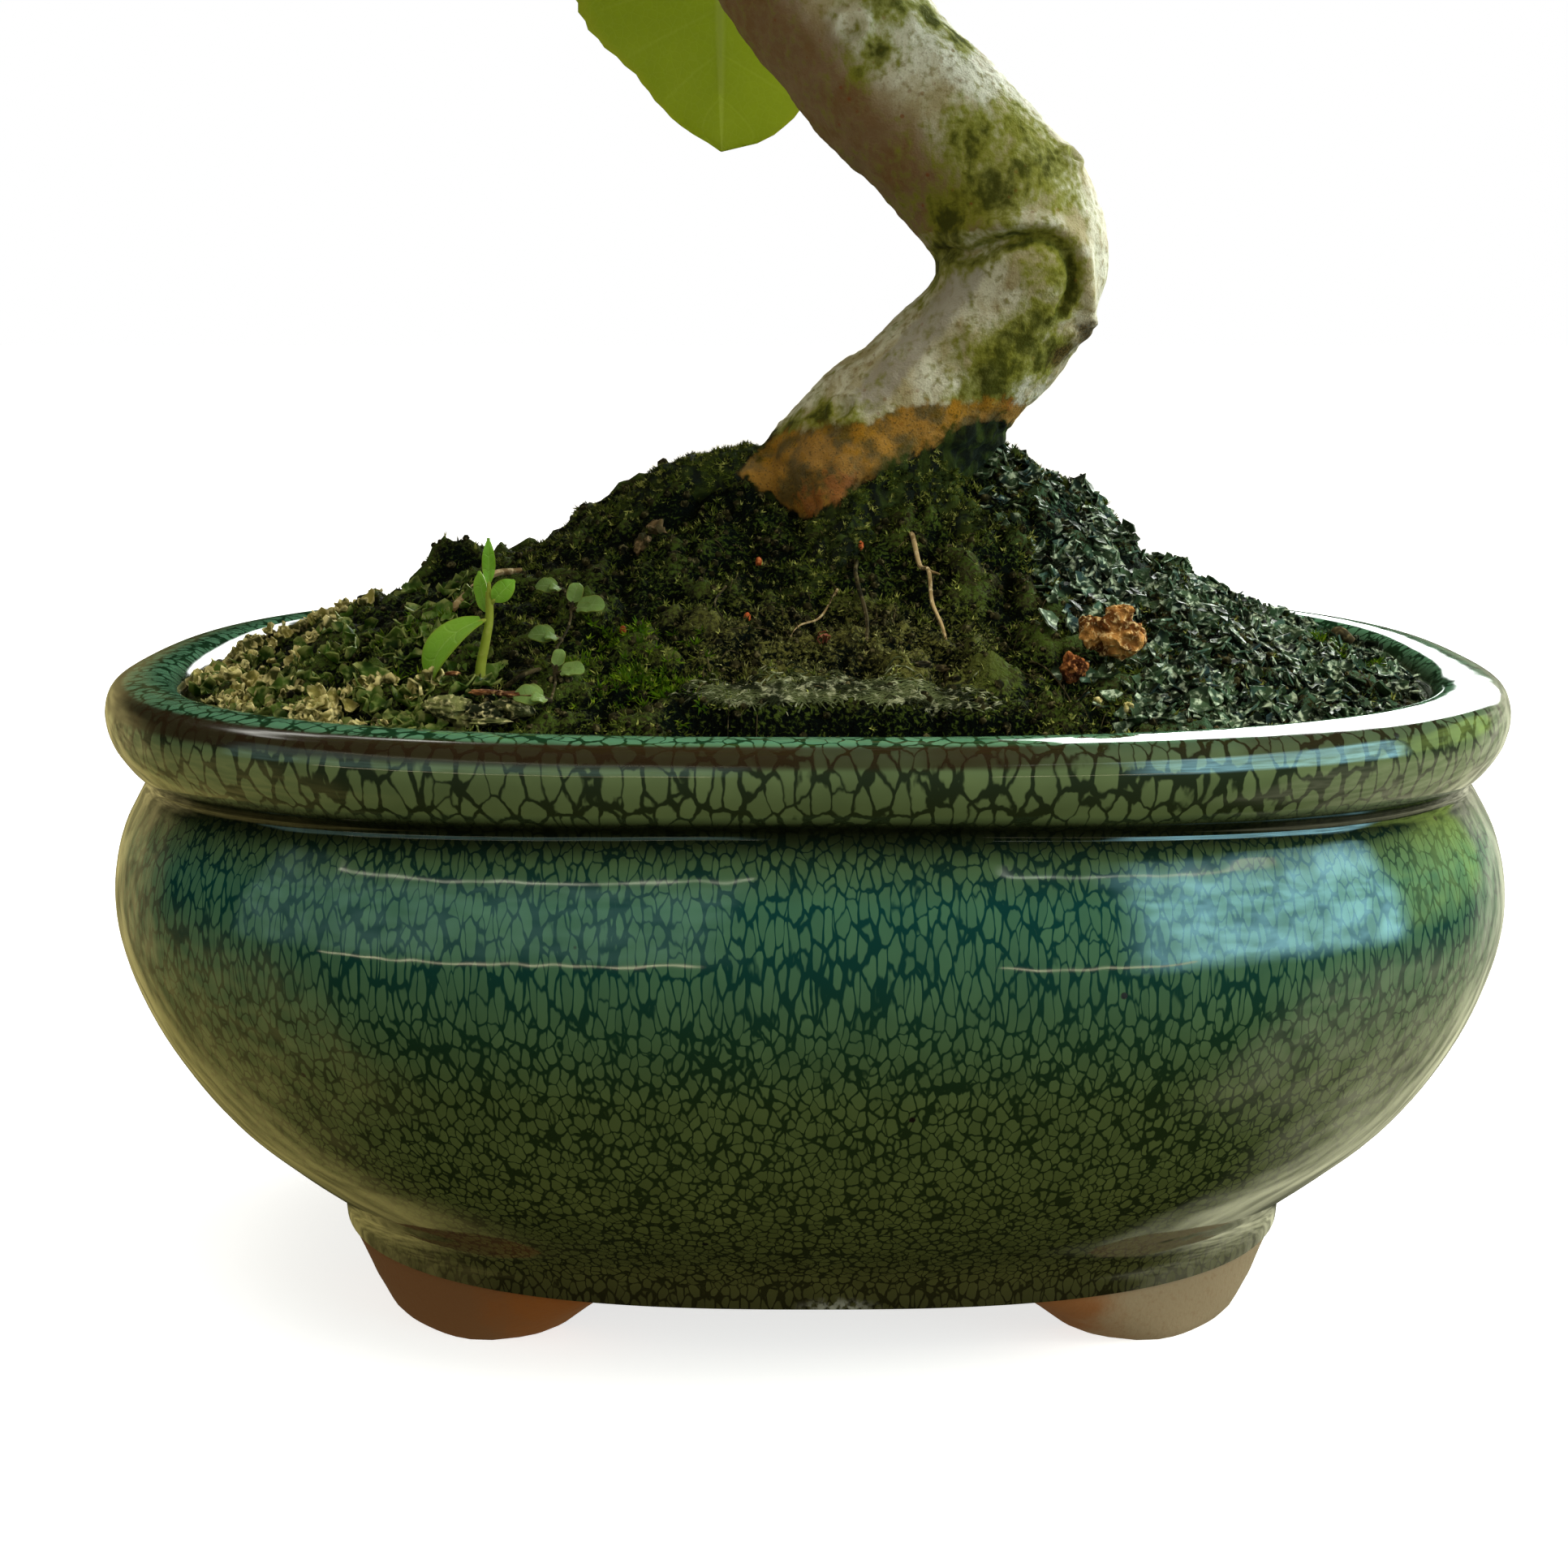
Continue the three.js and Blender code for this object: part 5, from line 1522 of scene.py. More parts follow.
@dataclass
class Trunk:
    """The S-bent trunk with its roots and branches, fused and then carved."""

    setting: Setting
    mound: Mound
    line: tuple = (
        (4, 4, 128), (9, 4, 142), (16.3, 2, 155.6), (21.4, 1, 161.6), (28.4, 0, 168.9),
        (34.9, -1, 176.1), (38, -2, 183.3), (38.4, -3, 190.5), (34.4, -3, 197.7), (28.3, -2, 204.7),
        (21.2, -1, 211.7), (13.9, 1, 218.6), (8.4, 2, 225.6), (2.2, 3, 232.4), (-5, 4, 243),
        (-11, 5, 255), (-13, 6, 266), (-9, 5, 280), (2, 2, 293), (13, -1, 305), (19.5, -3, 318),
        (19, -3, 332), (13.5, -1, 346), (7, 1, 359), (4, 2, 373),
    )
    radii: tuple = (
        (128, 12), (140, 18), (148, 20), (153, 18.6), (160, 15.6), (168, 14.3), (178, 14.4),
        (190, 15.4), (200, 15), (222, 14.8), (232, 14.2), (250, 14.4), (280, 12), (306, 9.4),
        (332, 6.4), (358, 3.8), (373, 2.2),
    )
    swellings: tuple = (
        (46, -5, 204, 7, 1), (51, -6, 186, 8, 0.8), (8, -14, 163, 5, 0.8), (14, -13, 231, 5, 0.9),
    )
    roots: tuple = (
        (((8, 2, 146), (-8, 0, 148), (-22, -2, 147), (-34, -5, 140), (-46, -10, 130)), (9, 6.6, 5, 3.6, 2.4)),
        (((10, -4, 146), (6, -18, 137), (0, -31, 129.5), (-6, -42, 121)), (9, 6, 3.8, 2.2)),
        (((14, -2, 146), (28, -13, 138), (38, -23, 130), (46, -34, 121)), (9, 6, 3.6, 2.2)),
        (((14, 4, 147), (34, 8, 150), (50, 10, 139), (62, 12, 127)), (9, 5.5, 3.8, 2.4)),
    )
    ridge: tuple = (
        (26.5, -13.5, 191.4), (28.5, -15.4, 192.6), (33.7, -17.6, 193.3), (39.5, -18.1, 193.5),
        (44.2, -16.2, 192.2), (47.8, -14.2, 188.6), (48.8, -12.8, 183.2), (49.2, -8.8, 177.6),
    )
    crease: tuple = (
        (21.5, -5, 187.6), (24.4, -10.3, 188.2), (27.6, -14.4, 187.6), (32.4, -17.2, 189.6),
        (38.6, -17.9, 191.2), (42.6, -17.1, 190.4), (45.4, -15.6, 187.6), (46.2, -14.2, 183.1),
        (44.9, -13.7, 178.7),
    )
    lilac: tuple = ((28.4, -12.6, 185.2), (19.6, -10.1, 174), (11.6, -11.5, 163.4))
    algae: tuple = (
        (36.7, -13.9, 209, 7, 0.75), (31.6, -17.3, 198.3, 7, 0.95), (25, -13.4, 193, 6, 1.0),
        (28.6, -16.7, 206.2, 7, 0.75), (41.5, -14.5, 203.6, 7, 0.8), (34.3, -17.6, 195, 4, 0.6),
        (44, -14, 197, 5, 0.6), (22.5, -9, 199, 5, 0.6), (36, -17, 202, 6, 0.7), (21.5, -5, 186, 4, 1.0),
        (18.5, -5, 182, 3, 0.9), (24.5, -10, 188.2, 4, 1.2), (37.4, -14.9, 173.3, 5, 1.0),
        (34.5, -14.3, 169.4, 5.5, 1.0), (32.7, -13.2, 165.4, 5, 0.95), (41.3, -14.7, 177.2, 4.5, 0.8),
        (42.7, -11.3, 170.5, 5, 0.9), (26.6, -14, 170.5, 5, 0.35), (38.9, -16.9, 185.4, 3.4, 0.55),
        (44, -15, 184.5, 3.4, 0.8), (-7, -2, 154.5, 4, 1.0), (2.5, -9.6, 160.4, 4, 0.9),
        (8.6, -12.4, 158.6, 3.6, 0.8), (-3, -4, 157, 4.4, 0.9), (12.4, -12.6, 162.4, 3.4, 0.7),
        (28, -13.6, 162.4, 4, 0.6),
        (14, -10.4, 230.4, 5, 0.8), (21.1, -6.8, 228.6, 4.4, 0.95), (26.3, -6.5, 224.7, 4, 0.85),
        (13.5, -11.1, 228.5, 3.4, 0.7), (12.5, -13, 222.2, 3.4, 0.75), (9.1, -12.8, 218.5, 2.6, 0.65),
        (8, -12, 240, 8, 0.6), (30, 12, 200, 10, 0.5), (-14, -6, 262, 10, 0.45), (6, 14, 215, 10, 0.4),
        (2, -2, 288, 9, 0.4),
    )
    soil_line: tuple = (
        (3, 142), (7.7, 147.4), (14.7, 151.8), (22.8, 155), (28.3, 159.2), (35.7, 159.6), (38, 157),
        (42, 151),
    )
    root_line: tuple = ((139, -3), (143, -8.5), (150, -12.5), (154, -8), (158, -5), (162, -5))
    ochre_line: tuple = (
        (-9, 155), (-5, 156), (-2, 157), (3, 158.2), (11, 158.5), (17, 161.5), (36, 162.8), (42, 160),
    )
    knots: tuple = ((6.7, -10.7, 161.2, 2.6), (7.6, -12.1, 226.0, 2.8), (46.5, -9.5, 205, 1.9))
    scar: tuple = (49.2, -7.5, 175.2, 4.6)
    torn: tuple = ((49, -7.5, 175.5, 4.6, 1.0), (45.5, -8.6, 171, 3.6, 0.9))
    rust: tuple = (
        (0, -14, 144, 5, 1), (6, -16, 147.5, 4.5, 1), (-6, -9, 143, 4, 0.7), (36, -9, 163, 4, 0.6),
    )
    bend_foot: float = 192.0
    voxel: float = 1.34
    finer_below: float = 242.0
    skin: tuple[Array, Array] | None = None

    def column(self) -> Shell:
        """The trunk itself, from its base to the tip."""
        points = spline(self.line, 190)
        return swept(points, between(self.radii, points[:, 2]), 56)

    def limbs(self, branches: Sequence["Branch"]) -> list[Shell]:
        """The roots and the branches.

        Args:
            branches: The branches of the crown.

        Returns:
            A tube for each.
        """
        shells = []
        for line, radii in self.roots:
            table = np.stack([np.linspace(0, 1, len(radii)), radii], axis=1)
            shells.append(swept(spline(line, 30), between(table, np.linspace(0, 1, 30)), 20))
        for branch in branches:
            shares = np.linspace(0, 1, 36)
            collar = 1 + 0.35 * bell(shares, 0.16)
            radii = (branch.radii[0] + (branch.radii[1] - branch.radii[0]) * shares) * collar
            shells.append(swept(spline(branch.line, 36), radii, 20))
        return shells

    def carve(self, points: Array) -> Array:
        """How far the fused surface is raised or sunk.

        Args:
            points: The surface's points.

        Returns:
            Heights along the normals in millimetres.
        """
        grain = Grain(21)
        lift = 0.3 * np.sin(0.19 * points[:, 2] + 0.31 * points[:, 0]) * np.sin(0.23 * points[:, 1] + 1.1)
        for x, y, z, reach, height in self.swellings:
            away = np.linalg.norm(points - [x, y, z], axis=1) / reach
            lift += height * np.exp(-2 * away * away)
        lift += 1.5 * bell(beside(points, spline(self.ridge, 40)), 1.7)
        lift -= 2.6 * bell(beside(points, spline(self.crease, 40)), 1.1)
        for x, y, z, size in self.knots:
            away = np.linalg.norm(points - [x, y, z], axis=1)
            lift += bell(away - size, 0.9) - bell(away, size * 0.6)
        *place, reach = self.scar
        scar = bell(np.linalg.norm(points - place, axis=1), reach)
        lift += (0.7 + 1.1 * grain.layers(points, 2.4, 2)) * scar
        base = rises(-points[:, 2], -163, -146) * rises(points[:, 0], -14, -4)
        folds = base * 0.8 * np.abs(grain.at(points + 9, 3.2))
        lift += grain.layers(points, 7, 3) * (0.3 + 0.9 * base) + folds
        lift += self.grown(points) * 1.6 * (np.abs(grain.layers(points + 30, 3.4, 2)) - 0.35)
        return lift + 0.18 * grain.layers(points + 60, 1.9, 2)

    def grown(self, points: Array, soft: float = 0.8) -> Array:
        """Where moss has grown over the foot and the left root.

        Args:
            points: Points of the trunk.
            soft: How far it thins out beyond its edge, in millimetres.

        Returns:
            Shares from 0 to 1.
        """
        x, _, z = points.T
        foot = rises(between(self.soil_line, x) - z, -soft, 1.6) * rises(x, 2, 7)
        root = rises(between(self.root_line, z) - x, -soft, 1.6) * rises(-z, -160, -156)
        return np.maximum.reduce([foot, root, rises(-z, -143.4, -141)])

    def paint(self, piece: bpy.types.Object, points: Array, normals: Array) -> None:
        """Paints the marks that the bark's finish reads.

        Args:
            piece: The trunk.
            points: Its points in the plant's frame.
            normals: The way it faces there.
        """
        x, _, z = points.T

        def spots(rows: Sequence[Sequence[float]]) -> Array:
            """The strongest of some round spots at each point."""
            return np.max([strength * bell(np.linalg.norm(points - place, axis=1), reach)
                           for *place, reach, strength in rows], axis=0)

        crease = beside(points, spline(self.crease, 40))
        ridge = bell(beside(points, spline(self.ridge, 40)), 1.5)
        flat = bell(beside(points, np.array(self.lilac)), 4.2)
        # The crease also takes dark algae along it, partly as painted shade in the crease.
        algae = np.maximum(spots(self.algae) * (1 - 0.8 * flat), 1.1 * bell(crease, 2.2))
        ochre = rises(between(self.ochre_line, x) - z, -3.0, 2.4)
        buried = rises(self.mound.surface(x, points[:, 1]) - z, -3.6, 0.4)
        worn = self.grown(points, 5.5) * 0.65
        # Painted shade: sides facing down, and in the upper trunk also to the left, are marked to be painted
        # brown.
        down = -normals[:, 2] * 0.6 - normals[:, 0] * 0.8
        under = 0.8 * rises(-normals[:, 2], 0.15, 0.8)
        shade = np.where(z > self.bend_foot, rises(down, -0.25, 0.65), under)
        marks = {
            "algae": algae * (1 - 0.75 * ridge),
            "flat": flat,
            "ochre": ochre,
            "rust": spots(self.rust),
            "shade": shade * rises(z, 160, 172),
            "scar": spots(self.torn),
            # Soil and moss on the foot and root, and painted shade along the crease.
            "dirt_and_crease_shade": np.maximum.reduce([self.grown(points), worn, 0.8 * bell(crease, 0.8), buried]),
        }
        for name, values in marks.items():
            paint_mark(piece.data, name, values)

    def build(self, branches: Sequence["Branch"]) -> None:
        """Fuses trunk, roots and branches, carves the surface and dresses it.

        Args:
            branches: The branches of the crown.
        """
        piece = self.setting.mesh_of("trunk_and_branches", [self.column(), *self.limbs(branches)])
        apply_modifier(piece, "REMESH", mode="VOXEL", voxel_size=self.voxel * MM)
        begin_edit()
        select_where(lambda place: place.z < self.finer_below * MM)
        bpy.ops.mesh.subdivide(number_cuts=1)
        bpy.ops.object.mode_set(mode="OBJECT")
        apply_modifier(piece, "SMOOTH", factor=0.5, iterations=14)
        mesh = piece.data
        points, normals = self.setting.local(mesh), points_of(mesh, "normal")
        points = points + normals * self.carve(points)[:, None]
        self.setting.move(mesh, points)
        mesh.update()
        self.skin = (points, normals)
        self.paint(piece, points, normals)
        self.setting.complete(piece, [Bark()], "bark", ["trunk"], 75)


# Crown: branches, sprays of leaves and apples

@dataclass(frozen=True)
class Branch:
    """One branch: its centre line, radius at each end, and where its spurs stand."""

    name: str
    line: tuple
    radii: tuple[float, float]
    spurs: tuple[float, ...] = ()

    def thickness(self, share: float) -> float:
        """The radius at one place along it."""
        return self.radii[0] + share * (self.radii[1] - self.radii[0])


OUTLINE: tuple = (
    (0, 0.1), (0.05, 0.48), (0.15, 0.78), (0.3, 0.95), (0.45, 1), (0.6, 0.97), (0.7, 0.88), (0.8, 0.68),
    (0.88, 0.5), (0.95, 0.28), (1, 0),
)
LOW_LEFT: tuple = (
    (0, 0.1), (0.05, 0.45), (0.15, 0.76), (0.3, 0.95), (0.45, 1), (0.59, 0.985), (0.63, 0.947),
    (0.676, 0.897), (0.72, 0.81), (0.7635, 0.687), (0.808, 0.56), (0.853, 0.473), (0.896, 0.377),
    (0.94, 0.25), (0.985, 0.06), (1, 0),
)
LOW_RIGHT: tuple = (
    (0, 0.1), (0.05, 0.45), (0.15, 0.76), (0.3, 0.95), (0.45, 1), (0.59, 0.985), (0.676, 0.93), (0.72, 0.88),
    (0.7635, 0.81), (0.808, 0.74), (0.853, 0.64), (0.896, 0.527), (0.94, 0.407), (0.985, 0.18), (1, 0),
)
LANCE: tuple = (
    (0, 0.3), (0.12, 0.66), (0.3, 0.95), (0.45, 1), (0.65, 0.86), (0.82, 0.56), (0.94, 0.24), (1, 0),
)
ROUND: tuple = (
    (0, 0.16), (0.08, 0.6), (0.22, 0.9), (0.45, 1), (0.68, 0.92), (0.85, 0.68), (0.95, 0.4), (1, 0),
)


@dataclass
class Leaf:
    """One leaf: where its blade starts, how it is turned and how it bends."""

    root: Array
    base: Array
    forward: Array
    side: Array
    normal: Array
    length: float
    width: float
    droop: float
    fold: float
    wave: float
    phase: float
    arch: float = 0.0
    thickness: float = 0.7
    petiole: float = 0.85
    teeth: int = 24
    outlines: tuple = (OUTLINE, OUTLINE)
    tooth_depth: float = 0.045
    veins: int = 9

    def at(self, along: Array, across: Array, half: Array | None = None) -> tuple[Array, Array]:
        """Points of the blade's middle sheet.

        Args:
            along: Shares of its length.
            across: Shares of its half width, from -1 to 1.
            half: Half widths there, or none for the plain outline.

        Returns:
            The points and the way the blade faces.
        """
        if half is None:
            half = self.width / 2 * between(OUTLINE, along)
        bend = self.droop * along
        reach = self.length * np.sin(bend) / self.droop
        sink = self.length * (1 - np.cos(bend)) / self.droop
        ripple = np.sin(9 * along + self.phase + np.where(across > 0, 1.7, 0.0))
        lift = np.abs(across) * half * math.sin(self.fold) + self.wave * across * across * ripple
        normal = np.outer(np.cos(bend), self.normal) + np.outer(np.sin(bend), self.forward)
        points = self.base + np.outer(reach, self.forward) - np.outer(sink, self.normal)
        points = points + np.outer(across * half * math.cos(self.fold), self.side) + normal * lift[:, None]
        return points, normal

    def blade(self, finish: int, columns: int = 8, rows: int = 46) -> Shell:
        """The dressed blade, with its toothed edge and the quilting between its veins.

        Args:
            finish: The finish it takes.
            columns: How finely it is split across.
            rows: How finely it is split along its length.

        Returns:
            The blade.
        """
        blank = blade_blank(columns, rows)
        across, along = blank.points[:, 0], blank.points[:, 1] * 0.5 + 0.5
        shape = [smooth_between(table, along) for table in self.outlines]
        half = np.where(across > 0, shape[1], shape[0]) * self.width / 2
        edge = (np.abs(across) > 0.9) * rises(-along, -0.97, -0.9)
        notch = 1 - self.tooth_depth * (1 - (along * self.teeth) % 1) * edge
        half = np.maximum(half * notch, 0.25)
        points, normal = self.at(along, across, half)
        slant = along * self.veins - np.abs(across) * 1.7
        quilt = np.abs(np.sin(math.pi * (slant + 0.5 * across**2 + 0.25)))
        puff = 0.35 * self.width / 46 * quilt * np.abs(across) ** 0.5 * (1 - np.abs(across) ** 3)
        thin = self.thickness * (1 - 0.45 * np.abs(across))
        points = points + normal * (puff + blank.points[:, 2] * thin)[:, None]
        return Shell(points, blank, finish, np.stack([across * 0.5 + 0.5, along], axis=1))

    def stalk(self, finish: int, sides: int = 7) -> Shell:
        """The petiole, which runs on under the blade as its midrib.

        Args:
            finish: The finish it takes.
            sides: Points on a ring.

        Returns:
            The petiole.
        """
        rib, normal = self.at(np.array([0.12, 0.35, 0.6, 0.85]), np.zeros(4))
        rib = rib - normal * self.thickness * 0.5
        middle = self.root * 0.45 + self.base * 0.55 + np.array([0, 0, self.arch])
        line = spline(np.vstack([self.root, middle, self.base, rib]), 15)
        shares = np.linspace(0, 1, 15)
        radii = self.petiole * between(((0, 1.15), (0.12, 0.85), (0.33, 0.9), (0.5, 0.62), (1, 0.2)), shares)
        return swept(line, radii, sides, finish)


@dataclass
class Spray:
    """One leafy twig: where it starts, which way it grows, and its leaves."""

    name: str
    start: Array
    forward: Array
    twig: float
    leaves: int
    blades: list[Leaf] = field(default_factory=list)

    def line(self) -> Array:
        """Start, middle and tip of the twig."""
        bent = unit(self.forward + np.array([0, 0, 0.35]))
        middle = self.start + self.forward * self.twig * 0.45
        return np.array([self.start, middle, middle + bent * self.twig * 0.55])


@dataclass
class Apple:
    """One small apple on its stalk."""

    name: str
    branch: int
    share: float
    radius: float
    stalk: float


@dataclass
class Crown:
    """The crown: branches, the rule that places its leaves, and the apples."""

    setting: Setting
    branches: tuple = (
        Branch("left", ((-11, 5, 259), (-34, 2, 268), (-62, -4, 281), (-92, -10, 291)),
               (6.2, 2.6), (0.42, 0.72)),
        Branch("back_left", ((-11, 8, 268), (-20, 30, 284), (-36, 52, 300), (-52, 72, 309)),
               (5.4, 2.4), (0.6,)),
        Branch("front_left", ((-8, 2, 281), (-20, -22, 293), (-32, -44, 302), (-36, -66, 309)),
               (5, 2.4), (0.6,)),
        Branch("right", ((14, -2, 304), (38, -4, 311), (66, -2, 315), (94, 4, 322)),
               (5, 2.4), (0.42, 0.72)),
        Branch("front_right", ((17, -5, 313), (30, -28, 322), (46, -46, 329), (58, -62, 334)),
               (4.2, 2.2), (0.42,)),
        Branch("back_right", ((19, 0, 321), (34, 24, 330), (48, 44, 339), (60, 60, 345)),
               (4, 2.2), (0.42,)),
        Branch("upper_left", ((15, -2, 342), (-8, -5, 351), (-28, -8, 362), (-44, -10, 370)), (3.2, 2)),
        Branch("upper_right", ((11, -1, 350), (24, -10, 359), (38, -16, 368), (48, -20, 374)), (2.8, 1.9)),
    )
    apples: tuple = (
        Apple("apple_left", 0, 0.58, 13.5, 15),
        Apple("apple_front_left", 2, 0.78, 14.5, 17),
        Apple("apple_right", 3, 0.58, 14, 18),
        Apple("apple_front_right", 4, 0.78, 13, 16),
        Apple("apple_back", 5, 0.78, 14, 16),
    )
    leaf_length: float = 66.0
    leaf_width: float = 46.0
    petiole_length: float = 19.0
    leaf_up: tuple = (0.1, -0.15, 1.0)
    tries: tuple = (20, 20, 25)
    shrink: tuple = (1, 0.8, 0.62)
    underside: tuple = (237.0, 0.1414)
    low_tip: tuple = (-16.5, 40.0, 209.6)
    low_spur: tuple = (1, 0.62, (0.9, 0.55, 0.15), 8.0)
    end_twig: tuple = (20, 6)
    spur_twig: tuple = (15, 5)
    top_twig: tuple = (18, 7)
    seeds: tuple = (7001, 613)
    wood_room: tuple = (3.5, 2)
    blade_room: tuple = (5.2, 6.6)
    stalk_room: tuple = (6, 6.5)
    stalk_top: float = 0.7
    stalk_bend: float = 1.2
    fruit_width: tuple = (
        (0, 0), (0.06, 0.2), (0.14, 0.44), (0.3, 0.84), (0.5, 1), (0.68, 0.9), (0.84, 0.55),
        (0.93, 0.26), (1, 0),
    )
    fruit_height: tuple = (
        (0, 0.52), (0.06, 0.66), (0.14, 0.86), (0.3, 0.72), (0.5, 0.1), (0.68, -0.46), (0.84, -0.84),
        (0.93, -0.86), (1, -0.62),
    )
    fruit_stalk: tuple = ((0, 0.95), (0.3, 0.7), (0.8, 0.85), (1, 1.1))
    sepal: tuple = (0.6, 0.75, 0.7, 0.55, 0.35, 0.12)

    def starts(self, trunk: Trunk) -> list[Spray]:
        """Where each leafy spray starts and which way it grows.

        Args:
            trunk: The trunk, whose tip bears the top spray.

        Returns:
            The sprays, still without leaves.
        """
        sprays = []
        for index, branch in enumerate(self.branches):
            points = spline(branch.line, 7)
            forward = frames_along(points)[0][-1]
            start = points[-1] + forward * GAP
            sprays.append(Spray(f"spray_{branch.name}_end", start, forward, *self.end_twig))
            for count, share in enumerate(branch.spurs):
                point = spline_point(branch.line, share)
                ahead = spline_slope(branch.line, share)
                sideways = unit(np.array([-ahead[1], ahead[0], 0]))
                turn = 1 if (index + count) % 2 == 0 else -1
                away = sideways * 0.55 * turn + np.array([0, 0, 0.75])
                away = unit(away - ahead * (away @ ahead))
                start = point + away * (branch.thickness(share) + GAP)
                place = "inner" if count == 0 else "outer"
                sprays.append(Spray(f"spray_{branch.name}_{place}", start, away, *self.spur_twig))
        number, share, away, twig = self.low_spur
        branch = self.branches[number]
        forward = unit(np.array(away))
        start = spline_point(branch.line, share) + forward * (branch.thickness(share) + GAP)
        sprays.append(Spray("spray_low_leaf", start, forward, twig, 0))
        points = spline(trunk.line, 40)
        forward = frames_along(points)[0][-1]
        sprays.append(Spray("spray_top", points[-1] + forward * GAP, forward, *self.top_twig))
        return sprays

    def apple_place(self, apple: Apple) -> tuple[Array, Array]:
        """Where an apple hangs.

        Args:
            apple: The apple.

        Returns:
            The stalk's top and the apple's middle.
        """
        branch = self.branches[apple.branch]
        top = spline_point(branch.line, apple.share)
        slope = spline_slope(branch.line, apple.share)
        level = math.hypot(slope[0], slope[1])
        top[2] -= branch.thickness(apple.share) / level + self.stalk_top * abs(slope[2]) / level + GAP
        return top, top - [0, 0, apple.stalk + apple.radius * 0.6]

    def stems(self, trunk: Trunk, sprays: Sequence[Spray]) -> tuple[Array, Array, Array]:
        """Points along all the wood and fruit that leaves keep clear of.

        Args:
            trunk: The trunk.
            sprays: The sprays, for their twigs.

        Returns:
            Points, radii and owners' names.
        """
        points, radii, owners = [], [], []

        def add(name: str, line: Array, thick: Array | float) -> None:
            """Adds a run of points.

            Args:
                name: Who owns them.
                line: The points.
                thick: Their radius.
            """
            points.extend(line)
            radii.extend(np.broadcast_to(thick, len(line)))
            owners.extend([name] * len(line))

        line = spline(trunk.line, 40)
        add("trunk", line, between(trunk.radii, line[:, 2]))
        for branch in self.branches:
            add("trunk", spline(branch.line, 24), np.linspace(*branch.radii, 24))
        for apple in self.apples:
            top, middle = self.apple_place(apple)
            add(apple.name, [middle], apple.radius + 1)
            add(apple.name, [top + (middle - top) * 0.3], 2)
        for spray in sprays:
            add(spray.name, spline(spray.line(), 6), 1.6)
        return np.array(points), np.array(radii), np.array(owners)

    def low_leaf(self, root: Array) -> Leaf:
        """The leaf that hangs low behind the trunk.

        Args:
            root: Where its petiole leaves the twig.

        Returns:
            The leaf.
        """
        forward, normal = np.array([0.0, 0, -1]), np.array([0.0, -1, 0])
        leaf = Leaf(root, np.zeros(3), forward, np.cross(forward, normal), normal, length=74, width=60,
                    droop=0.12, fold=0.12, wave=1.4, phase=0.6, arch=2, outlines=(LOW_RIGHT, LOW_LEFT))
        leaf.base = np.array(self.low_tip) - leaf.at(np.array([1.0]), np.zeros(1))[0][0]
        return leaf

    def new_leaf(self, root: Array, outward: Array, random: Chance, size: float) -> Leaf:
        """Draws one leaf by the seeded rule.

        Args:
            root: Where its petiole leaves the twig.
            outward: The way the petiole grows.
            random: The row of numbers.
            size: Its share of a full leaf.

        Returns:
            The leaf.
        """
        length = self.leaf_length * size
        width = self.leaf_width * size * (0.92 + 0.16 * random())
        petiole = self.petiole_length * (0.75 + 0.5 * random())
        arch = 1 + 2 * random()
        base = root + outward * petiole
        sag = 0.25 + 0.5 * random()
        forward = unit(outward + np.array([0, 0, -sag]))
        side = unit(np.cross(forward, self.leaf_up))
        roll = (random() - 0.5) * 0.9
        normal = unit(np.cross(side, forward))
        side = unit(side * math.cos(roll) + normal * math.sin(roll))
        normal = unit(np.cross(side, forward))
        droop = 0.3 + 0.5 * random()
        fold = 0.12 + 0.3 * random()
        wave = 0.8 + 1.4 * random()
        phase = 6.28 * random()
        return Leaf(root, base, forward, side, normal, length, width, droop, fold, wave, phase, arch)

    def place_leaves(self, trunk: Trunk) -> list[Spray]:
        """Places the leaves of every spray by the rule of the part's source.

        Args:
            trunk: The trunk.

        Returns:
            The sprays with their leaves.
        """
        sprays = self.starts(trunk)
        stem_points, stem_radii, stem_owners = self.stems(trunk, sprays)
        along = np.repeat([0.06, 0.2, 0.34, 0.48, 0.62, 0.76, 0.9, 1], 6)
        across = np.tile([-1, -0.6, -0.2, 0.2, 0.6, 1], 8)
        placed: list[dict] = []

        def measured(leaf: Leaf, owner: str) -> dict:
            """The points of a leaf that are tested.

            Args:
                leaf: The leaf.
                owner: Its spray's name.

            Returns:
                The leaf with its points.
            """
            middle = leaf.root * 0.45 + leaf.base * 0.55 + np.array([0, 0, leaf.arch])
            petiole = np.array([(leaf.root + middle) / 2, middle, (middle + leaf.base) / 2, leaf.base])
            samples = leaf.at(along, across)[0]
            return {"leaf": leaf, "owner": owner, "blade": samples, "middle": samples[27],
                    "petiole": petiole}

        def near(first: Array, second: Array, limit: float) -> bool:
            """True if any two points are closer than the limit."""
            return bool((np.sum((first[:, None] - second[None]) ** 2, axis=2) < limit * limit).any())

        def clear(new: dict) -> bool:
            """True if a leaf keeps clear of wood, fruit and other leaves.

            Args:
                new: The leaf with its points.

            Returns:
                Whether it can stay.
            """
            blade, petiole = new["blade"], new["petiole"]
            if (blade[:, 2] < self.underside[0] + self.underside[1] * blade[:, 1]).any():
                return False
            others = stem_owners != new["owner"]
            for points, room in zip((blade, petiole), self.wood_room):
                away = np.linalg.norm(points[:, None] - stem_points[others][None], axis=2)
                if (away < stem_radii[others] + room).any():
                    return False
            for old in placed:
                reach = (old["leaf"].length + new["leaf"].length) * 0.85
                if np.linalg.norm(old["middle"] - new["middle"]) >= reach:
                    continue
                same = old["owner"] == new["owner"]
                if near(blade, old["blade"], self.blade_room[0] if same else self.blade_room[1]):
                    return False
                room, more = self.stalk_room
                if not same and (near(blade, old["petiole"], room) or near(petiole, old["blade"], room)
                                 or near(petiole, old["petiole"], more)):
                    return False
            return True

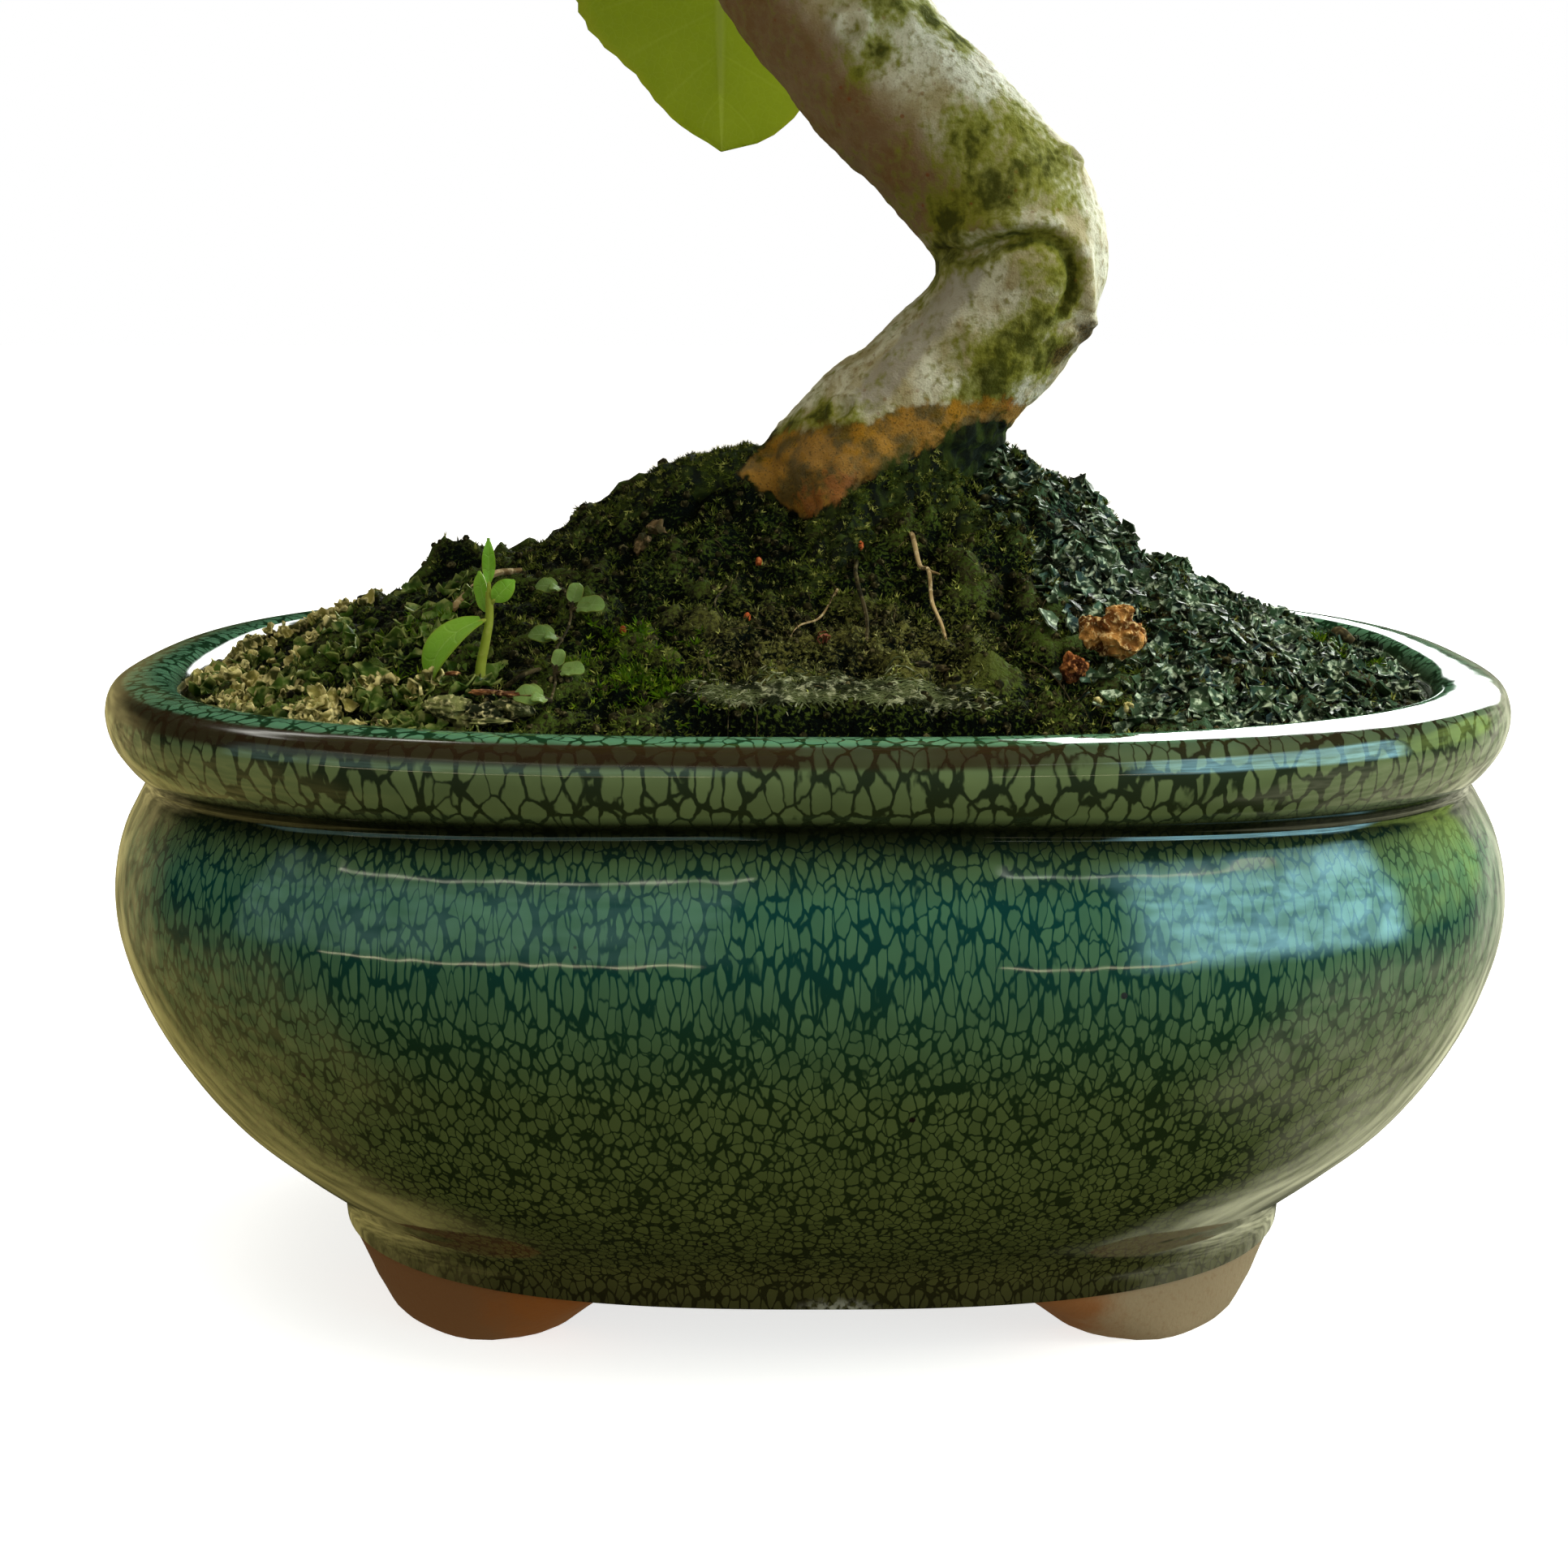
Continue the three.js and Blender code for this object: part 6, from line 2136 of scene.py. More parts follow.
        low = next(spray for spray in sprays if spray.name == "spray_low_leaf")
        hanging = measured(self.low_leaf(low.line()[2]), low.name)
        hanging["middle"] = hanging["leaf"].at(np.array([0.5]), np.zeros(1))[0][0]
        placed.append(hanging)
        for number, spray in enumerate(sprays):
            random = Chance(self.seeds[0] + self.seeds[1] * number)
            line = spray.line()
            axis = unit(line[2] - line[0])
            sideways = unit(np.cross(axis, [0.2, 0.1, 1]))
            over = np.cross(sideways, axis)
            for i in range(spray.leaves):
                share = 0.3 + 0.7 * i / (spray.leaves - 1)
                if share < 0.45:
                    root = line[0] + (line[1] - line[0]) * share / 0.45
                else:
                    root = line[1] + (line[2] - line[1]) * (share - 0.45) / 0.56
                size = 0.72 + 0.36 * random()
                for attempt in range(sum(self.tries)):
                    stage = int(attempt >= self.tries[0]) + int(attempt >= self.tries[0] + self.tries[1])
                    loose = 0.5 + min(attempt, self.tries[0] + self.tries[1]) * 0.12
                    turn = i * GOLDEN_ANGLE + (random() - 0.5) * loose * 2
                    lean = 1.25 - 0.75 * share + (random() - 0.5) * loose
                    outward = axis * math.cos(lean) + sideways * math.sin(lean) * math.cos(turn)
                    outward = outward + over * math.sin(lean) * math.sin(turn)
                    outward[2] = max(outward[2], -0.1) + 0.2
                    leaf = self.new_leaf(root, unit(outward), random, size * self.shrink[stage])
                    new = measured(leaf, spray.name)
                    if clear(new):
                        placed.append(new)
                        break
        for spray in sprays:
            spray.blades = [old["leaf"] for old in placed if old["owner"] == spray.name]
        return sprays

    def bud(self, tip: Array, forward: Array) -> Shell:
        """A small pointed bud at the end of a twig.

        Args:
            tip: The twig's end.
            forward: The way it grows.

        Returns:
            The bud.
        """
        shares = np.linspace(0, 1, 8)
        line = tip + np.outer((shares - 0.15) * 5.4, forward)
        return swept(line, 1.5 * np.sin(np.pi * (0.16 + 0.82 * shares)) ** 0.8, 8, 1)

    def build_spray(self, spray: Spray) -> None:
        """Makes one spray: twig, buds, petioles and blades.

        Args:
            spray: The spray with its leaves.
        """
        line = spline(spray.line(), 12)
        line[0] = line[0] - spray.forward * 1.6
        rings = 1 + 0.16 * np.sin(np.linspace(0, 16, 12)) ** 2
        radii = between(((0, 1.9), (0.3, 1.6), (0.7, 1.45), (1, 1.1)), np.linspace(0, 1, 12)) * rings
        shells = [swept(line, radii, 9, 1), self.bud(line[-1], unit(line[-1] - line[-2]))]
        for leaf in spray.blades:
            shells += [leaf.blade(0), leaf.stalk(2)]
        look = Foliage.LOW if spray.name == "spray_low_leaf" else Foliage.CROWN
        name = spray.name.replace("spray", "leaves", 1)
        self.setting.make(name, shells, [look, Natural.TWIG, Natural.STALK], "leaf", [spray.name], 60)

    def build_apple(self, apple: Apple) -> None:
        """Makes one apple with its stalk and the dry sepals under it.

        Args:
            apple: The apple.
        """
        top, middle = self.apple_place(apple)
        deselect()
        bpy.ops.mesh.primitive_uv_sphere_add(segments=48, ring_count=32, radius=1)
        blank = taken(bpy.context.object)
        turn = np.arctan2(blank.points[:, 1], blank.points[:, 0])
        fall = np.arccos(np.clip(blank.points[:, 2], -1, 1)) / math.pi
        wide = smooth_between(self.fruit_width, fall)
        high = smooth_between(self.fruit_height, fall)
        lobes = 1 + 0.03 * np.cos(5 * turn) * rises(fall, 0.3, 0.9)
        points = np.stack([wide * np.cos(turn) * lobes, wide * np.sin(turn) * lobes, high * lobes], axis=1)
        surface = np.stack([turn / math.tau + 0.5, fall], axis=1)
        shells = [Shell(middle + points * apple.radius, blank, 0, surface)]
        low = middle + [0, 0, apple.radius * 0.5]
        bend = (top + low) / 2 + [self.stalk_bend, 0, 0]
        stalk = spline(np.array([top + [0, 0, 1.4], bend, low]), 12)
        shells.append(swept(stalk, between(self.fruit_stalk, np.linspace(0, 1, 12)), 8, 1))
        for i in range(5):
            angle = math.tau * i / 5
            away = np.array([math.cos(angle), math.sin(angle), 0])
            start = middle + away * 0.8 - [0, 0, apple.radius * 0.66]
            knee, tip = start + away * 1.4 - [0, 0, 2.4], start + away * 3.2 - [0, 0, 3.0]
            line = spline(np.array([start, knee, tip]), len(self.sepal))
            shells.append(swept(line, np.array(self.sepal), 6, 1))
        looks = [AppleSkin(), Natural.TWIG]
        self.setting.make(apple.name + "_fruit", shells, looks, "fruit", [apple.name], 60)


# Small plants and everything strewn on the soil

@dataclass
class SmallPlants:
    """The seedling and the creeping weed."""

    setting: Setting
    mound: Mound
    seedling_stem: tuple = (
        (-53.3, -57, -6), (-53.3, -57, 0), (-52.4, -57, 4.5), (-51.6, -57, 8.5), (-51.5, -57, 13),
    )
    seedling_leaves: tuple = (
        (6, (-0.75, -0.4, -0.16), (-0.3, -0.6, 0.7), 17, 6.8, 1.9),
        (8, (0.02, -0.05, 1), (0.1, -1, 0), 7.2, 2.3, 0.1),
        (6, (-0.3, 0.4, 1), (-0.5, -1, 0.2), 7, 3.0, 0.2),
        (7, (0.7, -0.3, 0.75), (0.2, -0.9, 0.4), 4.6, 3.6, 0.7),
    )
    weed_line: tuple = ((-41.5, -36), (-39.8, -43), (-39.6, -50), (-41.4, -57), (-40.4, -64), (-40.6, -70))
    weed_lift: float = 1.3

    def small_leaf(self, root: Array, forward: Sequence[float], up: Sequence[float], length: float,
                   width: float, droop: float, outline: tuple) -> list[Shell]:
        """A small leaf with its stalk.

        Args:
            root: Where it leaves the stem.
            forward: The way it grows.
            up: The way its upper face looks.
            length: Its length.
            width: Its width.
            droop: How far it bends down.
            outline: Its outline.

        Returns:
            The blade and the stalk.
        """
        ahead = unit(np.array(forward, float))
        side = unit(np.cross(ahead, up))
        normal = unit(np.cross(side, ahead))
        leaf = Leaf(root, root + ahead * 1.4, ahead, side, normal, length, width, droop, 0.25, 0.2, 1.0)
        leaf.thickness, leaf.petiole, leaf.teeth, leaf.outlines = 0.45, 0.42, 1, (outline, outline)
        return [leaf.blade(0, 8, 18), leaf.stalk(1, 6)]

    def ground(self, x: float, y: float) -> float:
        """The soil's height at one place, as the part's source has it."""
        return float(self.mound.height(np.array([x]), np.array([y]))[0])

    def build_seedling(self) -> None:
        """Makes the seedling."""
        ground = self.ground(self.seedling_stem[1][0], self.seedling_stem[1][1])
        stem = np.array(self.seedling_stem, float) + [0, 0, ground]
        joints = spline(stem, 9)
        shells = [swept(spline(stem, 25), np.linspace(0.95, 0.6, 25), 10, 1)]
        for at, forward, up, length, width, droop in self.seedling_leaves:
            shells += self.small_leaf(joints[at], forward, up, length, width, droop, LANCE)
        looks = [Foliage.SEEDLING, Natural.PALE_STEM]
        self.setting.make("seedling_plant", shells, looks, "weed", ["seedling"], 60)

    def build_weed(self) -> None:
        """Makes the creeping weed."""
        plan = [(x, y, self.ground(x, y) + self.weed_lift) for x, y in self.weed_line]
        x, y = self.weed_line[0]
        ground = self.ground(x, y)
        line = [(x - 1.5, y + 3, ground - 5), (x - 1, y + 2, ground + 0.6), *plan]
        joints = spline(line, 12)
        shells = [swept(spline(line, 40), np.full(40, 0.22), 8, 1)]
        for i in range(3, 12, 2):
            angle = 0.3 if i % 4 == 1 else 2.9
            size = 0.8 + 0.1 * (i % 3)
            for twist, scale in ((0.0, 1.0), (1.2, 0.75), (-0.9, 0.6)):
                forward = (math.cos(angle + twist), -0.35 + 0.3 * twist, 0.15 + 0.2 * scale)
                long, wide = 4.6 * size * scale, 3.9 * size * scale
                shells += self.small_leaf(joints[i], forward, (0, -0.75, 0.8), long, wide, 0.7, ROUND)
        looks = [Foliage.WEED, Natural.DARK_ROOT]
        self.setting.make("creeping_weed_plant", shells, looks, "weed", ["creeping_weed"], 60)


@dataclass
class Strewn:
    """What grows and lies on the soil, set down by a seeded rule."""

    setting: Setting
    mound: Mound
    trunk: Trunk
    flake: Blank | None = None
    seeds: tuple = ((7.4, -20.6), (9.3, -24), (8.0, -22.6), (-8.5, -28.5), (-30.6, -50), (-10.2, -46))
    chips: tuple = (
        (-57, -68, 1.8, (4.2, 2.6, 2.2), 4, 41, 0), (-51.5, -69, 1.9, (4.4, 2.6, 2.3), 4, 42, 0),
        (-46.5, -69.5, 1.5, (3.2, 2.2, 1.9), 4, 47, 0), (-50.5, -68.2, 4.3, (3.0, 1.4, 0.5), 3, 43, 1),
        (-45.4, -69.8, 3.6, (3.3, 1.3, 0.5), 3, 44, 1), (-50, -72, 1.8, (3.4, 1.0, 0.7), 3, 53, 0),
        (-57, -61, 1.2, (1.5, 0.9, 0.4), 3, 54, 1), (21, -57.5, 0.3, (1.6, 1.1, 0.7), 3, 49, 4),
        (18, -60.5, 0.3, (1.8, 0.9, 0.6), 3, 50, 4), (45.5, -66, 0.8, (0.9, 0.8, 0.7), 3, 51, 2),
        (50, -68.5, 0.7, (0.8, 0.7, 0.9), 3, 52, 2), (-27, -14.5, 0.4, (2.0, 3.4, 2.2), 4, 61, 3),
        (-29.2, -18, -0.6, (1.8, 3.6, 2.0), 4, 62, 3),
    )
    roots: tuple = (
        (((18.2, -21, -1), (18.4, -24, 1.6), (19.4, -30, 1.8), (20.6, -35, 2.2), (20.8, -41, 1.8),
          (22, -48, 1.2), (22.6, -51, -0.5)), (0.48, 0.27), 0),
        (((20.7, -35, 2.2), (22.4, -36.5, 3.0)), (0.3, 0.15), 0),
        (((9, -24, -1), (8.2, -32, 1.4), (8.4, -40, 1.2), (9.6, -48, 1.2), (9.2, -54, -0.4)),
         (0.42, 0.34), 1),
        (((5, -38, 0.8), (2, -43, 1.4), (-1.5, -48, 1.1), (-3, -51, 0.1)), (0.24, 0.14), 0),
        (((-14, -37, 0.4), (-15.5, -41, 1.4), (-15.5, -45, 1.0), (-14, -48, 0.2)), (0.22, 0.14), 1),
        (((34, -52, -0.4), (38, -58, 1.4), (41, -66, 0.8), (40, -71, -0.6)), (0.17, 0.1), 1),
        (((-62, -30, 0.4), (-56, -24, 1.6), (-51, -19, 0.6)), (0.8, 0.6), 0),
        (((-49, -60, 1.0), (-46.5, -62, 2.8), (-44.5, -61, 2.4), (-43.6, -58, 0.4)), (0.42, 0.34), 1),
    )
    stubs: tuple = (
        (((-25.5, 7, -2), (-26, 7, 2.4), (-27.4, 7, 5.2)), (2.0, 0.8), 0.2, 12, 10),
        (((97, -8, -2), (98, -8.5, 1.5), (100.5, -9, 3)), (1.5, 0.9), 0.0, 10, 9),
    )
    strewn_field: tuple = (110, 84)
    trunk_room: tuple = (11, 3, 17)
    tufts: int = 8
    tuft_place: tuple = (2.5, -54)
    hairs: int = 150
    hair_field: tuple = ((-24, 62), (-78, -20))
    fibres: int = 1500
    mat_ends: tuple = (-22, 0, 31)

    def __post_init__(self) -> None:
        """Makes the leaflet of the scale moss."""
        self.flake = self.lobe_blank(0.3, 0.3, 0.2, 2)

    def spots(self, count: int, seed: int, chance: Callable[[Array, Array], Array]) -> tuple[Array, Array]:
        """Places on the soil.

        Args:
            count: How many are tried.
            seed: The seed.
            chance: The share that stays at each place.

        Returns:
            The places and the way the soil faces there.
        """
        random = np.random.default_rng(seed)
        x, y = (random.uniform(-half, half, count) for half in self.strewn_field)
        half = self.mound.pot.inner[1][2]
        edge = self.mound.pot.reach(half, self.mound.pot.half_depth(half), np.arctan2(y, x))
        keep = (np.hypot(x, y) < edge - 2.2) & (random.uniform(0, 1, count) < chance(x, y))
        at_x, at_y, room = self.trunk_room
        keep &= np.hypot(x - at_x, y - at_y) > room
        x, y = x[keep], y[keep]
        places = np.stack([x, y, self.mound.surface(x, y)], axis=1)
        return places, self.mound.normals(x, y)

    def on_root(self, count: int, seed: int) -> tuple[Array, Array]:
        """Places on the mossy root at the left and on the foot of the trunk.

        Args:
            count: How many there are.
            seed: The seed.

        Returns:
            The places and the way the wood faces there.
        """
        points, normals = self.trunk.skin
        covered = (self.trunk.grown(points) > 0.6) & (normals[:, 2] > -0.2)
        above = points[:, 2] > self.mound.surface(points[:, 0], points[:, 1]) - 0.5
        chosen = np.random.default_rng(seed).choice(np.flatnonzero(covered & above), count)
        return points[chosen], normals[chosen]

    def bases(self, normals: Array, sizes: Array, seed: int, tilt: float) -> Array:
        """Turns for copies that stand on the soil.

        Args:
            normals: The way the soil faces.
            sizes: The copies' sizes along X, Y and Z.
            seed: The seed.
            tilt: How far they lean, as a share.

        Returns:
            Three rows for each copy.
        """
        random = np.random.default_rng(seed)
        up = unit(normals + random.normal(0, tilt, normals.shape))
        turn = random.uniform(0, math.tau, len(up))
        flat = np.stack([np.cos(turn), np.sin(turn), np.zeros(len(up))], axis=1)
        ahead = unit(flat - up * np.sum(flat * up, axis=1, keepdims=True))
        rows = np.stack([ahead, np.cross(up, ahead), up], axis=1)
        return rows * sizes[:, :, None]

    def star_blank(self, leaves: int, lift: float, thin: float) -> Blank:
        """A moss shoot: thin leaves that spread from one point.

        Args:
            leaves: How many it has.
            lift: How steeply they rise.
            thin: Their width as a share of their length.

        Returns:
            The shoot, about one unit wide.
        """
        thorn = thorn_blank()
        turns = np.arange(leaves) * GOLDEN_ANGLE
        rise = lift * (0.6 + 0.8 * (np.arange(leaves) % 3) / 2)
        ahead = unit(np.stack([np.cos(turns), np.sin(turns), np.tan(np.minimum(rise, 1.45))], axis=1))
        side = unit(np.cross(ahead, [0, 0, 1.0]))
        rows = np.stack([side * thin, np.cross(ahead, side) * thin * 0.35, ahead], axis=1)
        shell = strewn(thorn, np.zeros((leaves, 3)), rows)
        return Blank(shell.points, *shell.shape())

    def lobe_blank(self, cup: float, ripple: float, thick: float = 0.13, cells: int = 4) -> Blank:
        """A round cupped lobe with a wavy edge.

        Args:
            cup: How far its edge rises.
            ripple: How strong the waves are.
            thick: Its thickness as a share of its radius.
            cells: How finely it is split.

        Returns:
            The lobe, about one unit in radius.
        """
        blank = blade_blank(cells, cells)
        x, y = blank.points[:, 0], blank.points[:, 1]
        out = np.maximum(np.abs(x), np.abs(y))
        long = np.maximum(np.hypot(x, y), 1e-9)
        x, y = x * out / long, y * out / long
        turn = np.arctan2(y, x)
        edge = 1 + ripple * np.sin(3 * turn + 0.7) * out
        z = cup * out**2 + ripple * np.sin(4 * turn) * out**2 + blank.points[:, 2] * thick
        return Blank(np.stack([x * edge, y * edge, z], axis=1), blank.loops, blank.sizes)

    def carpet(self, name: str, look: Natural, blank: Blank, spots: tuple[Array, Array],
               size: tuple[float, float], seed: int, tilt: float, sink: float = 0.2) -> None:
        """Makes one piece of many small copies.

        Args:
            name: The piece's name.
            look: Its finish.
            blank: What is copied.
            spots: Where the copies stand, and the way the soil faces there.
            size: The smallest and the largest size.
            seed: The seed.
            tilt: How far they lean.
            sink: How far they are sunk, as a share of their size.
        """
        places, normals = spots
        random = np.random.default_rng(seed + 1)
        scale = random.uniform(size[0], size[1], len(places))
        stretch = random.uniform(0.8, 1.25, (len(places), 3))
        bases = self.bases(normals, scale[:, None] * stretch, seed, tilt)
        shell = strewn(blank, places - normals * (scale * sink)[:, None], bases)
        self.setting.make(name, [shell], [look], "soil", (), 50)

    def build_carpets(self) -> None:
        """Makes the mosses, lobes and crumbs."""
        patch = Grain(17)

        def clumps(x: Array, y: Array, size: float) -> Array:
            """Patches of growth from 0 to 1."""
            return rises(patch.layers(np.stack([x, y, x * 0], axis=1), size, 2), -0.3, 0.3)

        def spot(x: Array, y: Array, at: tuple[float, float], reach: tuple[float, float]) -> Array:
            """An oval spot that fades out."""
            return rises(-np.hypot((x - at[0]) / reach[0], (y - at[1]) / reach[1]), -1, -0.6)

        def left(x: Array, y: Array) -> Array:
            """The flat end on the left."""
            return rises(-x - 0.3 * y, 64, 74)

        def right(x: Array, y: Array) -> Array:
            """The wet slope on the right."""
            return rises(x + 0.25 * y, 24, 44)

        def seen(y: Array) -> Array:
            """More of everything on the side that is looked at."""
            return rises(-y, -24, 4) * 0.8 + 0.2

        shoot, fan = self.star_blank(5, 0.95, 0.2), self.star_blank(8, 0.6, 0.2)
        crumbs = self.spots(7000, 101, lambda x, y: (0.6 - 0.35 * left(x, y)) * seen(y))
        self.carpet("soil_crumbs", Natural.CRUMB, pebble_blank(1), crumbs, (0.3, 1.0), 7, 0.4, 0.1)
        dark = self.spots(44000, 103, lambda x, y: (0.3 + 0.7 * clumps(x, y, 9)) * seen(y)
                          * (0.55 - 0.4 * right(x, y)) * (1 - 0.7 * left(x, y))
                          * (1 - spot(x, y, (4, -54), (26, 11))))
        self.carpet("dark_moss_shoots", Natural.DARK_MOSS, shoot, dark, (0.8, 1.7), 11, 0.4)
        wood = self.on_root(1900, 12)
        self.carpet("root_moss_shoots", Natural.DARK_MOSS, shoot, wood, (0.6, 1.2), 12, 0.4, 0.1)
        olive = self.spots(42000, 104, lambda x, y: spot(x, y, (3, -53), (32, 13)) * 0.7)
        self.carpet("olive_moss_shoots", Natural.OLIVE_MOSS, shoot, olive, (0.7, 1.4), 14, 0.5)
        bright = self.spots(60000, 105, lambda x, y: (
            spot(x, y, (-29, -57), (14, 16)) * (0.15 + 0.6 * clumps(x, y, 5))
            + spot(x, y, (98, -18), (8, 7)) * 0.5 + spot(x, y, (-66, -36), (12, 9)) * 0.2))
        self.carpet("bright_moss_shoots", Natural.BRIGHT_MOSS, shoot, bright, (0.9, 1.9), 13, 0.25)
        stars = self.spots(9000, 107, lambda x, y: spot(x, y, (-25, -67), (10, 4)) * 0.5
                           + spot(x, y, (-28, -53), (4, 4)) * 0.4 + spot(x, y, (-70, -44), (12, 9)) * 0.1)
        self.carpet("star_moss", Natural.BRIGHT_MOSS, fan, stars, (1.8, 2.9), 15, 0.15)
        scales = self.spots(22000, 109, lambda x, y: right(x, y) * (0.2 + 0.7 * clumps(x, y, 7)) * seen(y))
        self.carpet("scale_moss_lobes", Natural.SCALE_MOSS, self.flake, scales, (0.8, 1.8), 17, 0.5, -0.1)
        green = self.spots(12000, 111, lambda x, y: left(x, y) * (0.2 + 0.8 * clumps(x, y, 11))
                           * rises(-y, -2, 14) * 0.45)
        lobe = self.lobe_blank(0.4, 0.3, 0.14, 4)
        self.carpet("green_lobes", Natural.LIVERWORT, lobe, green, (0.9, 2.5), 19, 0.6, 0.0)
        pale = self.spots(14000, 113, lambda x, y: left(x, y) * rises(0.66 - clumps(x, y, 7), 0.0, 0.3)
                          * np.maximum(rises(-x, 80, 92) * 0.9, spot(x, y, (-74, -62), (16, 10)) * 0.8))
        pale = (pale[0] + pale[1] * 0.8, pale[1])
        lobe = self.lobe_blank(0.5, 0.26, 0.36, 4)
        self.carpet("lichen_lobes", Natural.LOBE, lobe, pale, (0.6, 1.6), 23, 0.7, 0.0)

    def roughened(self, middle: Sequence[float], radii: Sequence[float], finer: int, rough: float, seed: int,
                  finish: int = 0) -> Shell:
        """A rough lump.

        Args:
            middle: Its middle.
            radii: Its half sizes.
            finer: How finely it is split.
            rough: How rough it is, as a share.
            seed: The seed.
            finish: The finish it takes.

        Returns:
            The lump.
        """
        blank = pebble_blank(finer)
        grain = Grain(seed)
        wide = blank.points * 10
        bumps = grain.layers(wide, 9, 3) - 1.3 * np.abs(grain.layers(wide + 40, 5, 2))
        points = np.array(middle) + blank.points * np.array(radii) * (1 + rough * bumps)[:, None]
        return Shell(points, blank, finish)

    def on_soil(self, x: float, y: float, lift: float = 0.0) -> Array:
        """A point on the dressed soil."""
        return np.array([x, y, float(self.mound.surface(np.array([x]), np.array([y]))[0]) + lift])

    def build_lumps(self) -> None:
        """Makes the two lumps of clay grit."""
        ground = self.mound.height(np.array([49.2, 42.6]), np.array([-56.4, -61.8]))
        x, y, z = 49.2, -56.4, ground[0] + 5.9
        large = [
            self.roughened((x + 0.8, y, z - 0.4), (4.5, 4.2, 4.2), 5, 0.3, 31),
            self.roughened((x - 3.8, y - 0.6, z + 0.2), (2.1, 2.4, 3.0), 4, 0.3, 33),
            self.roughened((x + 1.4, y - 1.0, z + 3.4), (1.6, 1.5, 1.2), 4, 0.3, 35),
        ]
        self.setting.make("clay_lump_large_grit", large, [Natural.GRIT], "clay", ["clay_lump_large"], 60)
        small = [self.roughened((42.2, -61.8, ground[1] + 2.3), (2.1, 1.9, 2.3), 4, 0.35, 57)]
        self.setting.make("clay_lump_small_grit", small, [Natural.RED_GRIT], "clay", ["clay_lump_small"], 60)

    def laid(self, plan: Sequence[tuple[float, float, float]], radii: tuple[float, float], finish: int,
             rings: int = 5, sides: int = 6) -> Shell:
        """A root or stem laid over the soil, through places on it and heights above them."""
        line = spline([self.on_soil(*row) for row in plan], rings * (len(plan) - 1) + 1)
        return swept(line, np.linspace(*radii, len(line)), sides, finish)

    def build_debris(self) -> None:
        """Makes the loose roots, the mat on the ledge, the bark chips, the seeds and the dead stubs."""
        roots = [self.laid(plan, radii, finish) for plan, radii, finish in self.roots]
        random = np.random.default_rng(71)
        for _ in range(self.tufts):
            x, y = self.tuft_place[0] + random.normal(0, 0.5), self.tuft_place[1] + random.normal(0, 1.0)
            tuft = ((x, y + 1, 0.6), (x + random.normal(0, 0.5), y, 2.0),
                    (x + random.normal(0, 0.8), y - 2, 3.0))
            roots.append(self.laid(tuft, (0.16, 0.08), 2, 3, 5))
        for _ in range(self.hairs):
            x, y = (random.uniform(*ends) for ends in self.hair_field)
            turn, long = random.uniform(0, math.tau), random.uniform(1.5, 4)
            dx, dy = math.cos(turn) * long, math.sin(turn) * long
            hair = ((x, y, 0.2), (x + dx / 2, y + dy / 2, random.uniform(0.5, 1.2)), (x + dx, y + dy, 0.1))
            roots.append(self.laid(hair, (0.1, 0.06), 1, 3, 4))
        looks = [Natural.DRY_ROOT, Natural.DARK_ROOT, Natural.RED_ROOT]
        self.setting.make("loose_roots", roots, looks, "soil", (), 60)
        mat = []
        for _ in range(self.fibres):
            x = random.triangular(*self.mat_ends)
            y = float(between(self.mound.ledge, x))
            y += 0.6 + abs(random.normal(0, 2.6))
            turn, long = random.normal(0, 0.35), random.uniform(1.2, 3.6)
            dx, dy = math.cos(turn) * long / 2, math.sin(turn) * long / 2
            fibre = ((x - dx, y - dy, 0.1), (x, y, random.uniform(0.25, 0.6)), (x + dx, y + dy, 0.1))
            mat.append(self.laid(fibre, (0.16, 0.1), 0, 2, 4))
        self.setting.make("ledge_mat", mat, [Natural.MAT], "soil", (), 60)
        chips = [self.roughened(self.on_soil(x, y, lift), radii, finer, 0.34, seed, finish)
                 for x, y, lift, radii, finer, seed, finish in self.chips]
        looks = [Natural.CHIP, Natural.RUST_CHIP, Natural.LOBE, Natural.BUMP, Natural.DARK_ROOT]
        self.setting.make("bark_chips", chips, looks, "soil", (), 60)
        seeds = [self.roughened(self.on_soil(x, y, 0.9), (0.6, 0.6, 0.9), 3, 0.1, 61 + i)
                 for i, (x, y) in enumerate(self.seeds)]
        self.setting.make("orange_seeds", seeds, [Natural.SEED], "soil", (), 60)
        shells = []
        for plan, radii, ripple, rings, sides in self.stubs:
            line = spline([self.on_soil(*row) for row in plan], rings)
            waves = 1 + ripple * np.sin(np.arange(rings) * 2.1)
            shells.append(swept(line, np.linspace(*radii, rings) * waves, sides))
        self.setting.make("dead_stubs", shells, [Natural.DARK_ROOT], "soil", (), 60)


# Studio

@dataclass(frozen=True)
class Panel:
    """One soft light, hung round the plant and turned to it."""

    name: str
    azimuth: float
    elevation: float
    distance: float
    size: tuple[float, float]
    radiance: float
    colour: Colour = (255, 255, 255)

    def hang(self, target: Vector) -> None:
        """Hangs the light.

        Args:
            target: What it looks at, in metres.
        """
        light = bpy.data.lights.new(self.name, "AREA")
        light.shape = "RECTANGLE"
        light.size, light.size_y = self.size
        light.energy = self.radiance * math.pi * self.size[0] * self.size[1]
        light.color = linear(self.colour)[:3]
        turn, lift = math.radians(self.azimuth), math.radians(self.elevation)
        away = Vector((math.sin(turn) * math.cos(lift), -math.cos(turn) * math.cos(lift), math.sin(lift)))
        lamp = bpy.data.objects.new(self.name, light)
        lamp.location = target + away * self.distance
        lamp.rotation_euler = away.to_track_quat("Z", "Y").to_euler()
        lamp.visible_camera = False
        lamp.visible_glossy = False
        bpy.context.scene.collection.objects.link(lamp)


